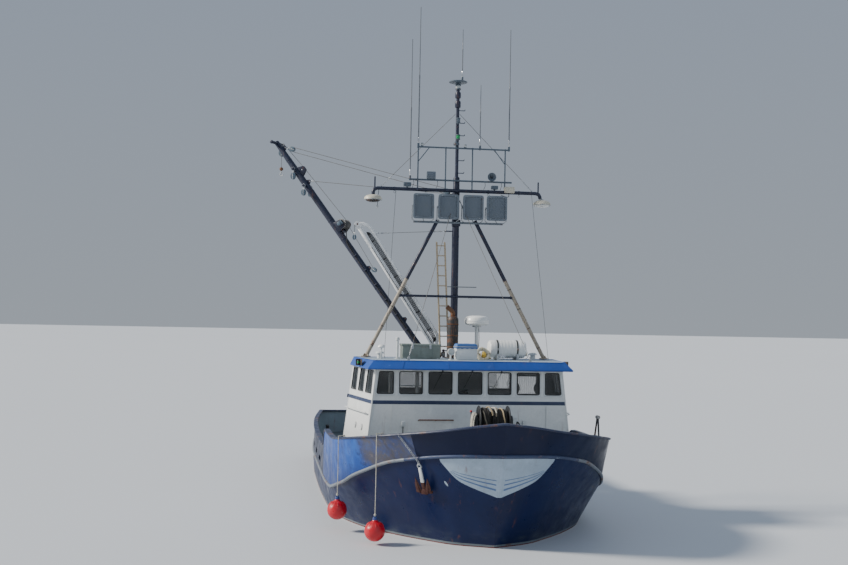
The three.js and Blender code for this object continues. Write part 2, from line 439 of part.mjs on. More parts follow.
// crossarm with a clamp on the mast and a gooseneck at each end for a deck lamp
const ARM_HALF = 2290;
const clamp = (z, h) => box(-70, 70, BAR_Y, MAST_Y - 60, z - h, z + h);
const mastCut = rod([0, MAST_Y, 7000], [0, MAST_Y, 8800], 101, 16);
const armEnd = (s) => join(
  rod([s * (ARM_HALF - 20), BAR_Y, ARM_Z], [s * (ARM_HALF + 40), BAR_Y, ARM_Z], 50, 12),
  rod([s * (ARM_HALF - 60), BAR_Y, ARM_Z], [s * (ARM_HALF - 60), BAR_Y, ARM_Z + 300], 22, 8));
const crossarm = join(rod([-ARM_HALF, BAR_Y, ARM_Z], [ARM_HALF, BAR_Y, ARM_Z], 50, 12), armEnd(-1), armEnd(1), clamp(ARM_Z, 60)).subtract(mastCut);
piece('mast_crossarm', crossarm, MASTBLUE, 0.5, 0.2);

// cobra-head deck lamps hung below the arm ends, columns: name, side, distance out
for (const [name, s, x] of [['deck_lamp_stbd', -1, 2270], ['deck_lamp_port', 1, 2340]]) {
  const lamp = join(
    rod([s * x, BAR_Y, ARM_Z - 50 - GAP], [s * x, BAR_Y, ARM_Z - 190], 28, 8),
    prism([[s * x - 250, ARM_Z - 290], [s * x + 250, ARM_Z - 290], [s * x + 190, ARM_Z - 180], [s * x - 120, ARM_Z - 165]], 'y', BAR_Y - 110, BAR_Y + 110),
    rod([s * x - 40 * s, BAR_Y, ARM_Z - 380], [s * x - 40 * s, BAR_Y, ARM_Z - 285], 70, 14, 120));
  piece(name, lamp, 0xd8d2bd, 0.5, 0.0);
}

// floodlight bank, columns: centre x of each lamp
const FLOODS = [-930, -255, 415, 1060];
const FLOOD_BAR = 7585;
const floods = FLOODS.map((x) => join(
  hexa([[x - 300, BAR_Y - 190, 7660], [x + 300, BAR_Y - 190, 7660], [x + 250, BAR_Y + 60, 7700], [x - 250, BAR_Y + 60, 7700]],
    [[x - 300, BAR_Y - 190, 8330], [x + 300, BAR_Y - 190, 8330], [x + 250, BAR_Y + 60, 8290], [x - 250, BAR_Y + 60, 8290]]),
  rod([x, BAR_Y - 20, FLOOD_BAR], [x, BAR_Y - 20, 7720], 25, 8)));
const floodBank = join(rod([-1180, BAR_Y - 20, FLOOD_BAR], [1270, BAR_Y - 20, FLOOD_BAR], 34, 10), floods, box(-60, 60, BAR_Y - 20, MAST_Y - 60, FLOOD_BAR - 30, FLOOD_BAR + 20))
  .subtract(mastCut)
  .subtract(rod(legFoot(-1), legTop(-1), LEG_R + 2, 12)).subtract(rod(legFoot(1), legTop(1), LEG_R + 2, 12));
piece('floodlight_bank', floodBank.decompose().sort((a, b) => geometryOf(b).attributes.position.count - geometryOf(a).attributes.position.count)[0], 0x6d7a86, 0.5, 0.2);

// antenna rack: low and high rails, uprights and whip aerials
// whip columns: x, foot z, top z
const WHIPS = [[-1290, RACK_LOW, 12500], [-1080, RACK_HIGH, 13380], [600, RACK_HIGH, 11350], [1400, RACK_HIGH, 12900]];
const rack = join(
  rod([-1310, BAR_Y, RACK_LOW], [1490, BAR_Y, RACK_LOW], 24, 8), rod([-1100, BAR_Y, RACK_HIGH], [1420, BAR_Y, RACK_HIGH], 24, 8),
  [-1080, -330, 400, 1300].map((x) => rod([x, BAR_Y, RACK_LOW], [x, BAR_Y, RACK_HIGH], 20, 8)),
  WHIPS.map(([x, z0, z1]) => join(rod([x, BAR_Y, z0 - 60], [x, BAR_Y, z0 + 420], 22, 8), rod([x, BAR_Y, z0 + 400], [x, BAR_Y, z1], 12, 6, 9))),
  clamp(RACK_LOW, 30)).subtract(rod([0, MAST_Y, 8000], [0, MAST_Y, 9000], 87, 16));
piece('antenna_rack', rack, 0x55606a, 0.5, 0.2);

// radar dome on its pedestal
const radar = join(rod([520, -2720, ROOF_TOP + GAP], [520, -2720, ROOF_TOP + 20], 120, 12), rod([520, -2720, ROOF_TOP + GAP], [520, -2720, 4850], 48, 10),
  lathe([[0, 0], [230, 0], [318, 50], [325, 120], [305, 200], [230, 245], [120, 262], [0, 265]], 20, [520, -2720, 4840]));
piece('radar_dome', radar, WHITE, 0.4, 0.0);

// ladder from the wheelhouse roof to the lamps
const ladderLow = [-300, -2520, ROOF_TOP + GAP + 30], ladderHigh = [-420, BAR_Y + 30, 7050];
const ladderRail = (dx) => {
  const a = [ladderLow[0] + dx, ladderLow[1], ladderLow[2]], b = [ladderHigh[0] + dx, ladderHigh[1], ladderHigh[2]];
  return rod(a, b, 22, 8);
};
const ladder = join(ladderRail(-110), ladderRail(110),
  Array.from({ length: 10 }, (_, i) => { const c = V(ladderLow).lerp(V(ladderHigh), (i + 0.5) / 10); return rod([c.x - 110, c.y, c.z], [c.x + 110, c.y, c.z], 14, 6); }));
piece('mast_ladder', ladder.subtract(rod(braceA.toArray(), braceB.toArray(), 36, 10)).decompose()
  .sort((a, b) => geometryOf(b).attributes.position.count - geometryOf(a).attributes.position.count)[0], 0xb9a98a, 0.6, 0.1);

// exhaust stack on the roof, ahead of the mast
const stack = join(rod([-130, -2760, ROOF_TOP + GAP], [-130, -2760, ROOF_TOP + 30], 210, 16), rod([-130, -2760, ROOF_TOP + GAP], [-130, -2760, 5060], 150, 16),
  rod([-130, -2760, 5050], [-130, -2760, 5180], 62, 12), ball([-130, -2760, 5180], 62, 12, 8), rod([-130, -2760, 5180], [-300, -2760, 5330], 62, 12));
piece('exhaust_stack', stack, BLACK, 0.6, 0.4);

// life raft canister in its cradle, port side of the roof
const raftC = [1230, -3220, 4240];
const raft = join(rod([raftC[0] - 470, raftC[1], raftC[2]], [raftC[0] + 470, raftC[1], raftC[2]], 235, 18),
  rod([raftC[0] - 510, raftC[1], raftC[2]], [raftC[0] - 460, raftC[1], raftC[2]], 180, 18, 235), rod([raftC[0] + 460, raftC[1], raftC[2]], [raftC[0] + 510, raftC[1], raftC[2]], 235, 18, 180),
  [-300, 220].map((dx) => box(raftC[0] + dx, raftC[0] + dx + 80, raftC[1] - 210, raftC[1] + 210, ROOF_TOP + GAP, raftC[2] - 90)));
piece('life_raft', raft, 0xe9e9e4, 0.5, 0.0);

piece('roof_locker', join(box(-1560, -580, -3560, -3060, ROOF_TOP + GAP, 4300), box(-1580, -560, -3580, -3040, 4300, 4345)), GREY, 0.7, 0.0);
piece('roof_box', join(box(-230, 310, -3980, -3560, ROOF_TOP + GAP, 4290), box(-250, 330, -4000, -3540, 4280, 4390)), 0xd5d8d8, 0.6, 0.0);

// ------------------------------------------------------------ main boom
// swing group turns about the upright pin, lift group about the level pin
const swingMain = new THREE.Group();
swingMain.position.set(...MAIN_HEEL);
swingMain.rotation.z = rad(90 + MAIN_AZ);   // local +X points along the boom seen from above
boat.add(swingMain);
const fork = (r, bore, arm, inner, outer, eye, pin, h) => join(
  rod([0, 0, -h], [0, 0, h], r, 16).subtract(rod([0, 0, -h - 5], [0, 0, h + 5], bore, 16)),
  join([-1, 1].map((s) => join(box(r * 0.55, arm, s > 0 ? inner : -outer, s > 0 ? outer : -inner, -eye, eye),
    rod([arm, s * inner, 0], [arm, s * outer, 0], eye, 16))), rod([arm, -outer, 0], [arm, outer, 0], pin, 14),
  box(r * 0.55, r + 18, -outer, outer, -eye, eye)).subtract(rod([0, 0, -h - 5], [0, 0, h + 5], bore, 16)));
piece('main_boom_gooseneck', fork(68, 35, MAIN_ARM, 36, 62, 62, 24, 165), STEEL, 0.5, 0.7, swingMain);

const liftMain = new THREE.Group();
liftMain.position.set(MAIN_ARM, 0, 0);
liftMain.rotation.y = -rad(MAIN_EL);
swingMain.add(liftMain);
const mainBoom = join(
  rod([0, -30, 0], [0, 30, 0], 62, 16), box(0, 190, -30, 30, -60, 60),
  rod([150, 0, 0], [230, 0, 0], 60, 16, 95), rod([225, 0, 0], [7200, 0, 0], 95, 16), rod([7190, 0, 0], [MAIN_LEN - 60, 0, 0], 95, 16, 72),
  rod([MAIN_LEN - 60, -360, 0], [MAIN_LEN - 60, 360, 0], 46, 12),
  rod([7620, -180, 0], [7620, 180, 0], 40, 12), rod([6980, -260, 0], [6980, 260, 0], 34, 10),
  box(5180, 5560, -100, 100, 60, 150), rod([5370, -190, 240], [5370, 190, 240], 150, 16), box(5280, 5460, -225, -180, 80, 330), box(5280, 5460, 180, 225, 80, 330))
  .subtract(rod([0, -60, 0], [0, 60, 0], 28, 16));
piece('main_boom', mainBoom, MASTBLUE, 0.45, 0.2, liftMain);

// ------------------------------------------------------------ picking boom: a two-chord truss
const swingPick = new THREE.Group();
swingPick.position.set(...PICK_HEEL);
swingPick.rotation.z = rad(90 + PICK_AZ);
boat.add(swingPick);
piece('picking_boom_gooseneck', fork(50, 29, PICK_ARM, 28, 46, 46, 16, 72), STEEL, 0.5, 0.7, swingPick);
const liftPick = new THREE.Group();
liftPick.position.set(PICK_ARM, 0, 0);
liftPick.rotation.y = -rad(PICK_EL);
swingPick.add(liftPick);
const CHORD = 250;
const pickBoom = join(
  rod([0, -23, 0], [0, 23, 0], 46, 14), box(0, 200, -23, 23, -42, 42), rod([150, 0, 0], [PICK_LEN, 0, 0], 58, 12),
  rod([420, 0, CHORD], [PICK_LEN - 250, 0, CHORD], 34, 8),
  rod([170, 0, 0], [430, 0, CHORD], 30, 8), rod([PICK_LEN - 50, 0, 0], [PICK_LEN - 260, 0, CHORD], 30, 8),
  Array.from({ length: 6 }, (_, i) => rod([700 + i * 560, 0, 0], [700 + i * 560, 0, CHORD], 24, 8)),
  rod([PICK_LEN - 40, -70, 0], [PICK_LEN - 40, 70, 0], 75, 14))
  .subtract(rod([0, -60, 0], [0, 60, 0], 19, 14));
piece('picking_boom', pickBoom, SILVER, 0.45, 0.6, liftPick);

// ------------------------------------------------------------ drums on their frames
// drum columns: name, centre y and z, half length, barrel r, flange r, axle r, flange places
function drum(name, yc, zc, half, barrel, flange, axle, plates, color, rough, metal) {
  const body = join(rod([-half, yc, zc], [half, yc, zc], barrel, 20), rod([-half - 110, yc, zc], [half + 110, yc, zc], axle, 14),
    plates.map((x) => rod([x - 12, yc, zc], [x + 12, yc, zc], flange, 24)));
  piece(name, body, color, rough, metal);
}
const cheekBore = (yc, zc, r) => rod([-3000, yc, zc], [3000, yc, zc], r, 18);

// anchor winch in the bow
const AW = { y: Y(1350), z: 2790 };
piece('anchor_winch_frame', join([-1, 1].map((s) => join(
  prism([[AW.y - 300, FOREDECK + GAP], [AW.y + 300, FOREDECK + GAP], [AW.y + 110, AW.z + 90], [AW.y - 110, AW.z + 90]], 'x', s > 0 ? 368 : -412, s > 0 ? 412 : -368))),
  box(-412, 412, AW.y - 300, AW.y + 300, FOREDECK + GAP, FOREDECK + 40), rod([-380, AW.y - 215, 2150], [380, AW.y - 215, 2150], 30, 10),
  box(412 - 5, 600, AW.y - 90, AW.y + 90, AW.z - 320, AW.z - 150))
  .subtract(cheekBore(AW.y, AW.z, 44)), BLACK, 0.6, 0.5);
drum('anchor_winch_drum', AW.y, AW.z, 340, 190, 300, 38, [-328, 328], 0x4a3f38, 0.7, 0.3);

// deck winch aft of the galley
const DW = { y: Y(10550), z: 1370 };
piece('deck_winch_frame', join([-1050, 0, 1050].map((x) => prism([[DW.y - 330, DECK + GAP], [DW.y + 330, DECK + GAP], [DW.y + 120, DW.z + 110], [DW.y - 120, DW.z + 110]], 'x', x - 25, x + 25)),
  box(-1075, 1075, DW.y - 330, DW.y + 330, DECK + GAP, DECK + 50), box(1075 - 5, 1330, DW.y - 120, DW.y + 120, DW.z - 330, DW.z - 160),
  box(1075 - 5, 1090, DW.y - 120, DW.y + 120, DECK + GAP, DW.z - 160))
  .subtract(cheekBore(DW.y, DW.z, 56)), 0x3d4b57, 0.6, 0.4);
{
  const halves = [[-1010, -45], [45, 1010]].map(([a, b]) => join(rod([a, DW.y, DW.z], [b, DW.y, DW.z], 170, 20),
    rod([a, DW.y, DW.z], [a + 22, DW.y, DW.z], 380, 24), rod([b - 22, DW.y, DW.z], [b, DW.y, DW.z], 380, 24)));
  piece('deck_winch_drum', join(rod([-1200, DW.y, DW.z], [1200, DW.y, DW.z], 48, 14), halves,
    rod([-1190, DW.y, DW.z], [-1090, DW.y, DW.z], 110, 16)), 0x5a5f63, 0.6, 0.5);
}

// net reel near the stern
const NR = { y: Y(15200), z: 1720 };
piece('net_reel_frame', join([-1, 1].map((s) => join(
  prism([[NR.y - 520, DECK + GAP], [NR.y + 520, DECK + GAP], [NR.y + 110, NR.z + 130], [NR.y - 110, NR.z + 130]], 'x', s > 0 ? 1290 : -1340, s > 0 ? 1340 : -1290))),
  box(-1340, 1340, NR.y - 520, NR.y - 420, DECK + GAP, DECK + 90), box(-1340, 1340, NR.y + 420, NR.y + 520, DECK + GAP, DECK + 90))
  .subtract(cheekBore(NR.y, NR.z, 66)), 0x3d4b57, 0.6, 0.4);
drum('net_reel_drum', NR.y, NR.z, 1240, 200, 690, 60, [-1225, 1225], 0x4e6f6a, 0.8, 0.1);

// ------------------------------------------------------------ fish hatch
const HATCH = { y0: Y(11750), y1: Y(13350), half: 800, top: 1300 };
piece('hatch_coaming', box(-HATCH.half, HATCH.half, HATCH.y0, HATCH.y1, DECK + GAP, HATCH.top)
  .subtract(box(-HATCH.half + 60, HATCH.half - 60, HATCH.y0 + 60, HATCH.y1 - 60, DECK - 100, HATCH.top + 100)), 0x46586a, 0.6, 0.3);
const cover = join(box(-HATCH.half - 25, HATCH.half + 25, HATCH.y0 - 25, HATCH.y1 + 25, HATCH.top + 6, HATCH.top + 60),
  [-500, 500].map((x) => rod([x - 70, HATCH.y0 - 50, HATCH.top + 33], [x + 70, HATCH.y0 - 50, HATCH.top + 33], 26, 12)));
piece('hatch_cover', cover, 0x7d8b92, 0.5, 0.5);

// ------------------------------------------------------------ bow fittings
const BITT_Y = Y(2750);
piece('bow_bitt', join(box(-330, 330, BITT_Y - 150, BITT_Y + 150, FOREDECK + GAP, FOREDECK + 25),
  [-190, 190].map((x) => box(x - 65, x + 65, BITT_Y - 65, BITT_Y + 65, FOREDECK + GAP, 2330)), rod([-330, BITT_Y, 2180], [330, BITT_Y, 2180], 40, 12)), BLACK, 0.6, 0.5);

// anchor hung against the starboard bow plating, built upright and turned onto it
{
  const s = 1270, z = 1480, b = plating(s, z);
  const bs = plating(s + 100, z) - plating(s - 100, z), bz = plating(s, z + 100) - plating(s, z - 100);
  const n = new THREE.Vector3(-1, -bs / 200, -bz / 200).normalize();       // outward on the starboard side
  const up = new THREE.Vector3(0, 0, 1).addScaledVector(n, -n.z).normalize();
  const side = new THREE.Vector3().crossVectors(up, n).normalize();
  const anchor = join(rod([0, 0, -260], [0, 0, 330], 32, 10), rod([-170, 0, -260], [170, 0, -260], 42, 10),
    [-1, 1].map((k) => join(hexa([[k * 60 - 25, -45, -300], [k * 60 + 25, -45, -300], [k * 60 + 25, 5, -300], [k * 60 - 25, 5, -300]],
      [[k * 150 - 15, -30, 60], [k * 150 + 15, -30, 60], [k * 150 + 15, -5, 60], [k * 150 - 15, -5, 60]]),
    hexa([[k * 100 - 70, -38, -260], [k * 100 + 70, -38, -260], [k * 100 + 70, -12, -260], [k * 100 - 70, -12, -260]],
      [[k * 140 - 12, -38, 20], [k * 140 + 12, -38, 20], [k * 140 + 12, -12, 20], [k * 140 - 12, -12, 20]]))),
    rod([0, -14, 370], [0, 14, 370], 62, 14).subtract(rod([0, -30, 370], [0, 30, 370], 30, 12)));
  const mesh = piece('anchor', anchor, RUST, 0.85, 0.3);
  mesh.matrixAutoUpdate = true;
  const m = new THREE.Matrix4().makeBasis(side, n.clone().negate(), up);
  mesh.quaternion.setFromRotationMatrix(m);
  mesh.position.set(-b, Y(s), z).addScaledVector(n, 78);
}

// light davit with a roller on the port rail
{
  const s = 4500, bx = LEVELS[RAIL].half(s) - 40, z = LEVELS[RAIL].height(s - 240) - 6;
  piece('port_davit', join(box(bx - 60, bx + 45, Y(s) - 200, Y(s) + 200, z + 12, z + 30),
    [-1, 1].map((k) => rod([bx, Y(s) + k * 170, z + 20], [bx + 20, Y(s) + k * 40, z + 500], 24, 8)),
    rod([bx + 20, Y(s) - 70, z + 500], [bx + 20, Y(s) + 70, z + 500], 48, 12)), BLACK, 0.6, 0.5);
}

// buoy fenders on the starboard bow, columns: name, distance aft, centre z
for (const [name, s, z] of [['fender_fwd', 1600, 300], ['fender_aft', 3200, 500]]) {
  const r = 230, y = Y(s), x = -LEVELS[RAIL].half(s) - 55, top = LEVELS[RAIL].height(s) + 12, inX = -LEVELS[RAIL].half(s) + 60;
  piece(name, join(ball([x, y, z], r, 18, 12), rod([x, y, z + r - 25], [x, y, z + r + 75], 48, 10, 34), rod([x, y, z + r + 60], [x, y, top + 14], 12, 6),
    ball([x, y, top + 14], 13, 6, 4), rod([x, y, top + 14], [inX, y, top + 14], 12, 6)), RED, 0.4, 0.0);
}

// ------------------------------------------------------------ propeller and rudder
{
  const yc = Y(14950), blades = 4, hub = 120, tip = 575;
  const parts = [rod([0, yc - 150, SHAFT_Z], [0, yc + 150, SHAFT_Z], hub, 16), rod([0, yc + 150, SHAFT_Z], [0, yc + 260, SHAFT_Z], hub - 10, 16, 30),
    rod([0, Y(POST_S - 200), SHAFT_Z], [0, yc, SHAFT_Z], 55, 14)];
  // blade section columns: radius, half chord, half thickness, pitch angle
  const SECTIONS = [[90, 90, 30, 58], [230, 150, 20, 45], [380, 185, 14, 35], [500, 150, 10, 29], [tip, 60, 7, 26]];
  for (let k = 0; k < blades; k++) {
    const turn = new THREE.Matrix4().makeRotationY((k * 2 * Math.PI) / blades);
    for (let i = 0; i < SECTIONS.length - 1; i++) {
      const quad = ([r, c, t, pitch]) => {
        const a = rad(pitch), ch = [Math.cos(a), Math.sin(a)], th = [-Math.sin(a), Math.cos(a)];
        return [[-1, -1], [1, -1], [1, 1], [-1, 1]].map(([u, v]) => V([u * c * ch[0] + v * t * th[0], u * c * ch[1] + v * t * th[1], r])
          .applyMatrix4(turn).add(V([0, yc, SHAFT_Z])).toArray());
      };
      parts.push(hexa(quad(SECTIONS[i]), quad(SECTIONS[i + 1])));
    }
  }
  piece('propeller', join(parts), 0xa8833f, 0.4, 0.9);

  const ys = Y(STOCK_S);
  const foil = [[0, -300], [38, -230], [55, -90], [50, 120], [32, 420], [12, 700], [-12, 700], [-32, 420], [-50, 120], [-55, -90], [-38, -230]];
  piece('rudder', join(prism(foil.map(([x, dy]) => [x, ys + dy]), 'z', -2090, -880), rod([0, ys, -900], [0, ys, -520], 52, 14), rod([0, ys, SHOE_TOP + 3], [0, ys, -2060], 42, 12)),
    NAVY, 0.6, 0.2);
}

export default boat;
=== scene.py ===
import math
import random
import bpy
import bmesh
from mathutils import Vector, Matrix


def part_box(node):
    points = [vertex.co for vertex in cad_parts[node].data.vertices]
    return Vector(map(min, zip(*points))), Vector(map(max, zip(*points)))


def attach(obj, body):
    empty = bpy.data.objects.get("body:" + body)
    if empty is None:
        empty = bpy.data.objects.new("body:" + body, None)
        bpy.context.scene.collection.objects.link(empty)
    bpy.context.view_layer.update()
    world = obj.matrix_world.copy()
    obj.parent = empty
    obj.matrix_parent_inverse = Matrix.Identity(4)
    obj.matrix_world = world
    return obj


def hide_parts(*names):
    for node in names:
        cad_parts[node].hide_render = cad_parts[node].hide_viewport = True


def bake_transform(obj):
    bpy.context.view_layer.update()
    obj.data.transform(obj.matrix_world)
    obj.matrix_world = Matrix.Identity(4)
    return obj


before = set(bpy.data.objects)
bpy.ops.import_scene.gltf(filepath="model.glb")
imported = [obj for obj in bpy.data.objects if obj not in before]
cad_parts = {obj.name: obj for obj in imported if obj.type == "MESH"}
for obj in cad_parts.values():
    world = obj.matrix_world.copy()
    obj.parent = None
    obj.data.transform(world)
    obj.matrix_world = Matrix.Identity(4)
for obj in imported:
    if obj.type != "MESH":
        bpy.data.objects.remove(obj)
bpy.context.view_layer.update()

# Steel combination trawler, in metres. +Z up, z = 0 is the waterline, the bow points to -Y, port is +X.
random.seed(11)
PI = math.pi


def rad(a):
    return math.radians(a)


# ------------------------------------------------------------ shapes
def rounded_mesh(bm, width, segments=2):
    if width > 0:
        bmesh.ops.bevel(bm, geom=bm.edges[:], offset=width, offset_type="OFFSET", segments=segments,
                        profile=0.5, affect="EDGES", clamp_overlap=True)


def resample(points, count):
    """Smooth curve through points, as count + 1 points."""
    p = [Vector(q) for q in points]
    if len(p) == 2:
        return [p[0].lerp(p[1], i / count) for i in range(count + 1)]
    p = [2 * p[0] - p[1]] + p + [2 * p[-1] - p[-2]]
    spans = len(p) - 3
    out = []
    for i in range(count + 1):
        t = i / count * spans
        k = min(int(t), spans - 1)
        t -= k
        a, b, c, d = p[k:k + 4]
        out.append(0.5 * ((2 * b) + (c - a) * t + (2 * a - 5 * b + 4 * c - d) * t * t + (3 * b - a - 3 * c + d) * t ** 3))
    return out


def sweep_frames(p, closed=False):
    n = len(p)
    tangents = []
    for i in range(n):
        a = p[(i - 1) % n] if closed or i > 0 else p[i]
        b = p[(i + 1) % n] if closed or i < n - 1 else p[i]
        tangents.append((b - a).normalized())
    up = Vector((0, 0, 1)) if abs(tangents[0].z) < 0.9 else Vector((1, 0, 0))
    normal = (up - tangents[0] * up.dot(tangents[0])).normalized()
    frames = []
    for t in tangents:
        normal = (normal - t * normal.dot(t))
        normal = normal.normalized() if normal.length > 1e-9 else t.orthogonal().normalized()
        frames.append((normal.copy(), t.cross(normal)))
    return frames


class Build:
    """Collects the shapes of one piece. Every shape keeps its own material."""

    def __init__(self, name):
        self.name, self.verts, self.faces, self.index, self.mats = name, [], [], [], []
        self.m = Matrix.Identity(4)
        self.stack = []

    def push(self, m):
        self.stack.append(self.m)
        self.m = self.m @ m
        return self

    def pop(self):
        self.m = self.stack.pop()
        return self

    def add(self, verts, faces, mat):
        if mat not in self.mats:
            self.mats.append(mat)
        k, n, m = self.mats.index(mat), len(self.verts), self.m
        self.verts += [m @ Vector(v) for v in verts]
        self.faces += [tuple(n + i for i in f) for f in faces]
        self.index += [k] * len(faces)

    def add_bm(self, bm, mat):
        bm.verts.index_update()
        self.add([v.co.copy() for v in bm.verts], [[v.index for v in f.verts] for f in bm.faces], mat)
        bm.free()

    def box(self, x0, x1, y0, y1, z0, z1, mat, bevel=0.004, segments=2):
        bm = bmesh.new()
        bmesh.ops.create_cube(bm, size=1.0)
        for v in bm.verts:
            v.co = Vector(((x0 + x1) / 2 + v.co.x * (x1 - x0), (y0 + y1) / 2 + v.co.y * (y1 - y0),
                           (z0 + z1) / 2 + v.co.z * (z1 - z0)))
        rounded_mesh(bm, min(bevel, 0.3 * min(abs(x1 - x0), abs(y1 - y0), abs(z1 - z0))), segments)
        self.add_bm(bm, mat)

    def hexa(self, low, high, mat, bevel=0.004, segments=2):
        bm = bmesh.new()
        v = [bm.verts.new(p) for p in list(low) + list(high)]
        n = len(low)
        bm.faces.new([v[i] for i in reversed(range(n))])
        bm.faces.new([v[n + i] for i in range(n)])
        for i in range(n):
            j = (i + 1) % n
            bm.faces.new((v[i], v[j], v[n + j], v[n + i]))
        rounded_mesh(bm, bevel, segments)
        self.add_bm(bm, mat)

    # outline points are (y,z) for axis x, (x,z) for axis y and (x,y) for axis z
    def prism(self, outline, axis, lo, hi, mat, bevel=0.003, segments=2):
        put = {"x": lambda u, v, w: (w, u, v), "y": lambda u, v, w: (u, w, v), "z": lambda u, v, w: (u, v, w)}[axis]
        self.hexa([put(u, v, lo) for u, v in outline], [put(u, v, hi) for u, v in outline], mat, bevel, segments)

    def lathe(self, p, q, profile, mat, sides=24):
        """profile rows are radius and distance from p towards q; a radius of 0 closes to a point."""
        p, q = Vector(p), Vector(q)
        t = (q - p).normalized()
        n = t.orthogonal().normalized()
        b = t.cross(n)
        verts, faces, rings = [], [], []
        for r, d in profile:
            if r <= 1e-6:
                rings.append([len(verts)])
                verts.append(p + t * d)
            else:
                rings.append(list(range(len(verts), len(verts) + sides)))
                verts += [p + t * d + (n * math.cos(a) + b * math.sin(a)) * r for a in (2 * PI * i / sides for i in range(sides))]
        for a, c in zip(rings, rings[1:]):
            if len(a) == 1 and len(c) == 1:
                continue
            for i in range(sides):
                j = (i + 1) % sides
                if len(a) == 1:
                    faces.append((a[0], c[i], c[j]))
                elif len(c) == 1:
                    faces.append((a[i], c[0], a[j]))
                else:
                    faces.append((a[i], c[i], c[j], a[j]))
        for ring, flip in ((rings[0], False), (rings[-1], True)):
            if len(ring) > 1:
                faces.append(tuple(reversed(ring)) if flip else tuple(ring))
        self.add(verts, faces, mat)

    def cyl(self, p, q, r, mat, r2=None, sides=20, bevel=0.003):
        r2 = r if r2 is None else r2
        length = (Vector(q) - Vector(p)).length
        b = min(bevel, 0.3 * length, 0.4 * r, 0.4 * r2)
        if b > 1e-5:
            self.lathe(p, q, [(r - b, 0), (r - 0.3 * b, 0.3 * b), (r, b), (r2, length - b), (r2 - 0.3 * b, length - 0.3 * b), (r2 - b, length)], mat, sides)
        else:
            self.lathe(p, q, [(r, 0), (r2, length)], mat, sides)

    def pipe(self, p, q, r, R, mat, sides=24):
        """Open ended pipe with inner radius r and outer radius R."""
        length = (Vector(q) - Vector(p)).length
        e = min(0.003, (R - r) * 0.3)
        self.ring_lathe(p, q, [(R - e, 0), (R, e), (R, length - e), (R - e, length), (r + e, length), (r, length - e), (r, e), (r + e, 0)], mat, sides)

    def ring_lathe(self, p, q, profile, mat, sides=24):
        """Closed profile turned round the axis from p to q, as a ring."""
        p, q = Vector(p), Vector(q)
        t = (q - p).normalized()
        n = t.orthogonal().normalized()
        b = t.cross(n)
        k = len(profile)
        verts = [p + t * d + (n * math.cos(a) + b * math.sin(a)) * r
                 for a in (2 * PI * i / sides for i in range(sides)) for r, d in profile]
        faces = [(i * k + j, ((i + 1) % sides) * k + j, ((i + 1) % sides) * k + (j + 1) % k, i * k + (j + 1) % k)
                 for i in range(sides) for j in range(k)]
        self.add(verts, faces, mat)

    def torus(self, centre, axis, R, r, mat, sides=32, around=10):
        c = Vector(centre)
        prof = [(R + r * math.cos(2 * PI * j / around), r * math.sin(2 * PI * j / around)) for j in range(around)]
        a = Vector(axis).normalized()
        self.ring_lathe(c, c + a, prof, mat, sides)

    def tube(self, points, r, mat, sides=10, smooth=0, closed=False, radii=None, caps=True):
        p = resample(points, smooth) if smooth else [Vector(q) for q in points]
        n = len(p)
        fr = sweep_frames(p, closed)
        verts = []
        for i in range(n):
            rr = radii[min(i, len(radii) - 1)] if radii else r
            if not closed and 0 < i < n - 1:          # keep the bore full through a corner
                a, b = (p[i] - p[i - 1]).normalized(), (p[i + 1] - p[i]).normalized()
                rr = rr / max(0.72, math.sqrt(max(0.0, (1 + a.dot(b)) / 2)))
            u, w = fr[i]
            verts += [p[i] + (u * math.cos(t) + w * math.sin(t)) * rr for t in (2 * PI * k / sides for k in range(sides))]
        faces = []
        for i in range(n if closed else n - 1):
            a, b = i * sides, ((i + 1) % n) * sides
            faces += [(a + k, a + (k + 1) % sides, b + (k + 1) % sides, b + k) for k in range(sides)]
        if caps and not closed:
            faces += [tuple(reversed(range(sides))), tuple(range((n - 1) * sides, n * sides))]
        self.add(verts, faces, mat)

    def sphere(self, c, r, mat, seg=24, rings=14, squash=(1, 1, 1)):
        bm = bmesh.new()
        bmesh.ops.create_uvsphere(bm, u_segments=seg, v_segments=rings, radius=r)
        for v in bm.verts:
            v.co = Vector((v.co.x * squash[0], v.co.y * squash[1], v.co.z * squash[2])) + Vector(c)
        self.add_bm(bm, mat)

    def sweep(self, points, outline, mat, up=(0, 0, 1), closed=False, caps=True):
        """Flat outline (side, up) carried along points with its up direction kept."""
        p = [Vector(q) for q in points]
        n, k = len(p), len(outline)
        up = Vector(up)
        verts = []
        for i in range(n):
            a = p[(i - 1) % n] if closed or i > 0 else p[i]
            b = p[(i + 1) % n] if closed or i < n - 1 else p[i]
            t = (b - a).normalized()
            side = t.cross(up).normalized()
            w = side.cross(t).normalized()
            stretch = 1.0
            if closed or 0 < i < n - 1:
                d0, d1 = (p[i] - p[(i - 1) % n]).normalized(), (p[(i + 1) % n] - p[i]).normalized()
                stretch = 1 / max(0.5, math.sqrt(max(0.0, (1 + d0.dot(d1)) / 2)))
            verts += [p[i] + side * u * stretch + w * v for u, v in outline]
        faces = []
        for i in range(n if closed else n - 1):
            a, b = i * k, ((i + 1) % n) * k
            faces += [(a + j, a + (j + 1) % k, b + (j + 1) % k, b + j) for j in range(k)]
        if caps and not closed:
            faces += [tuple(reversed(range(k))), tuple(range((n - 1) * k, n * k))]
        self.add(verts, faces, mat)

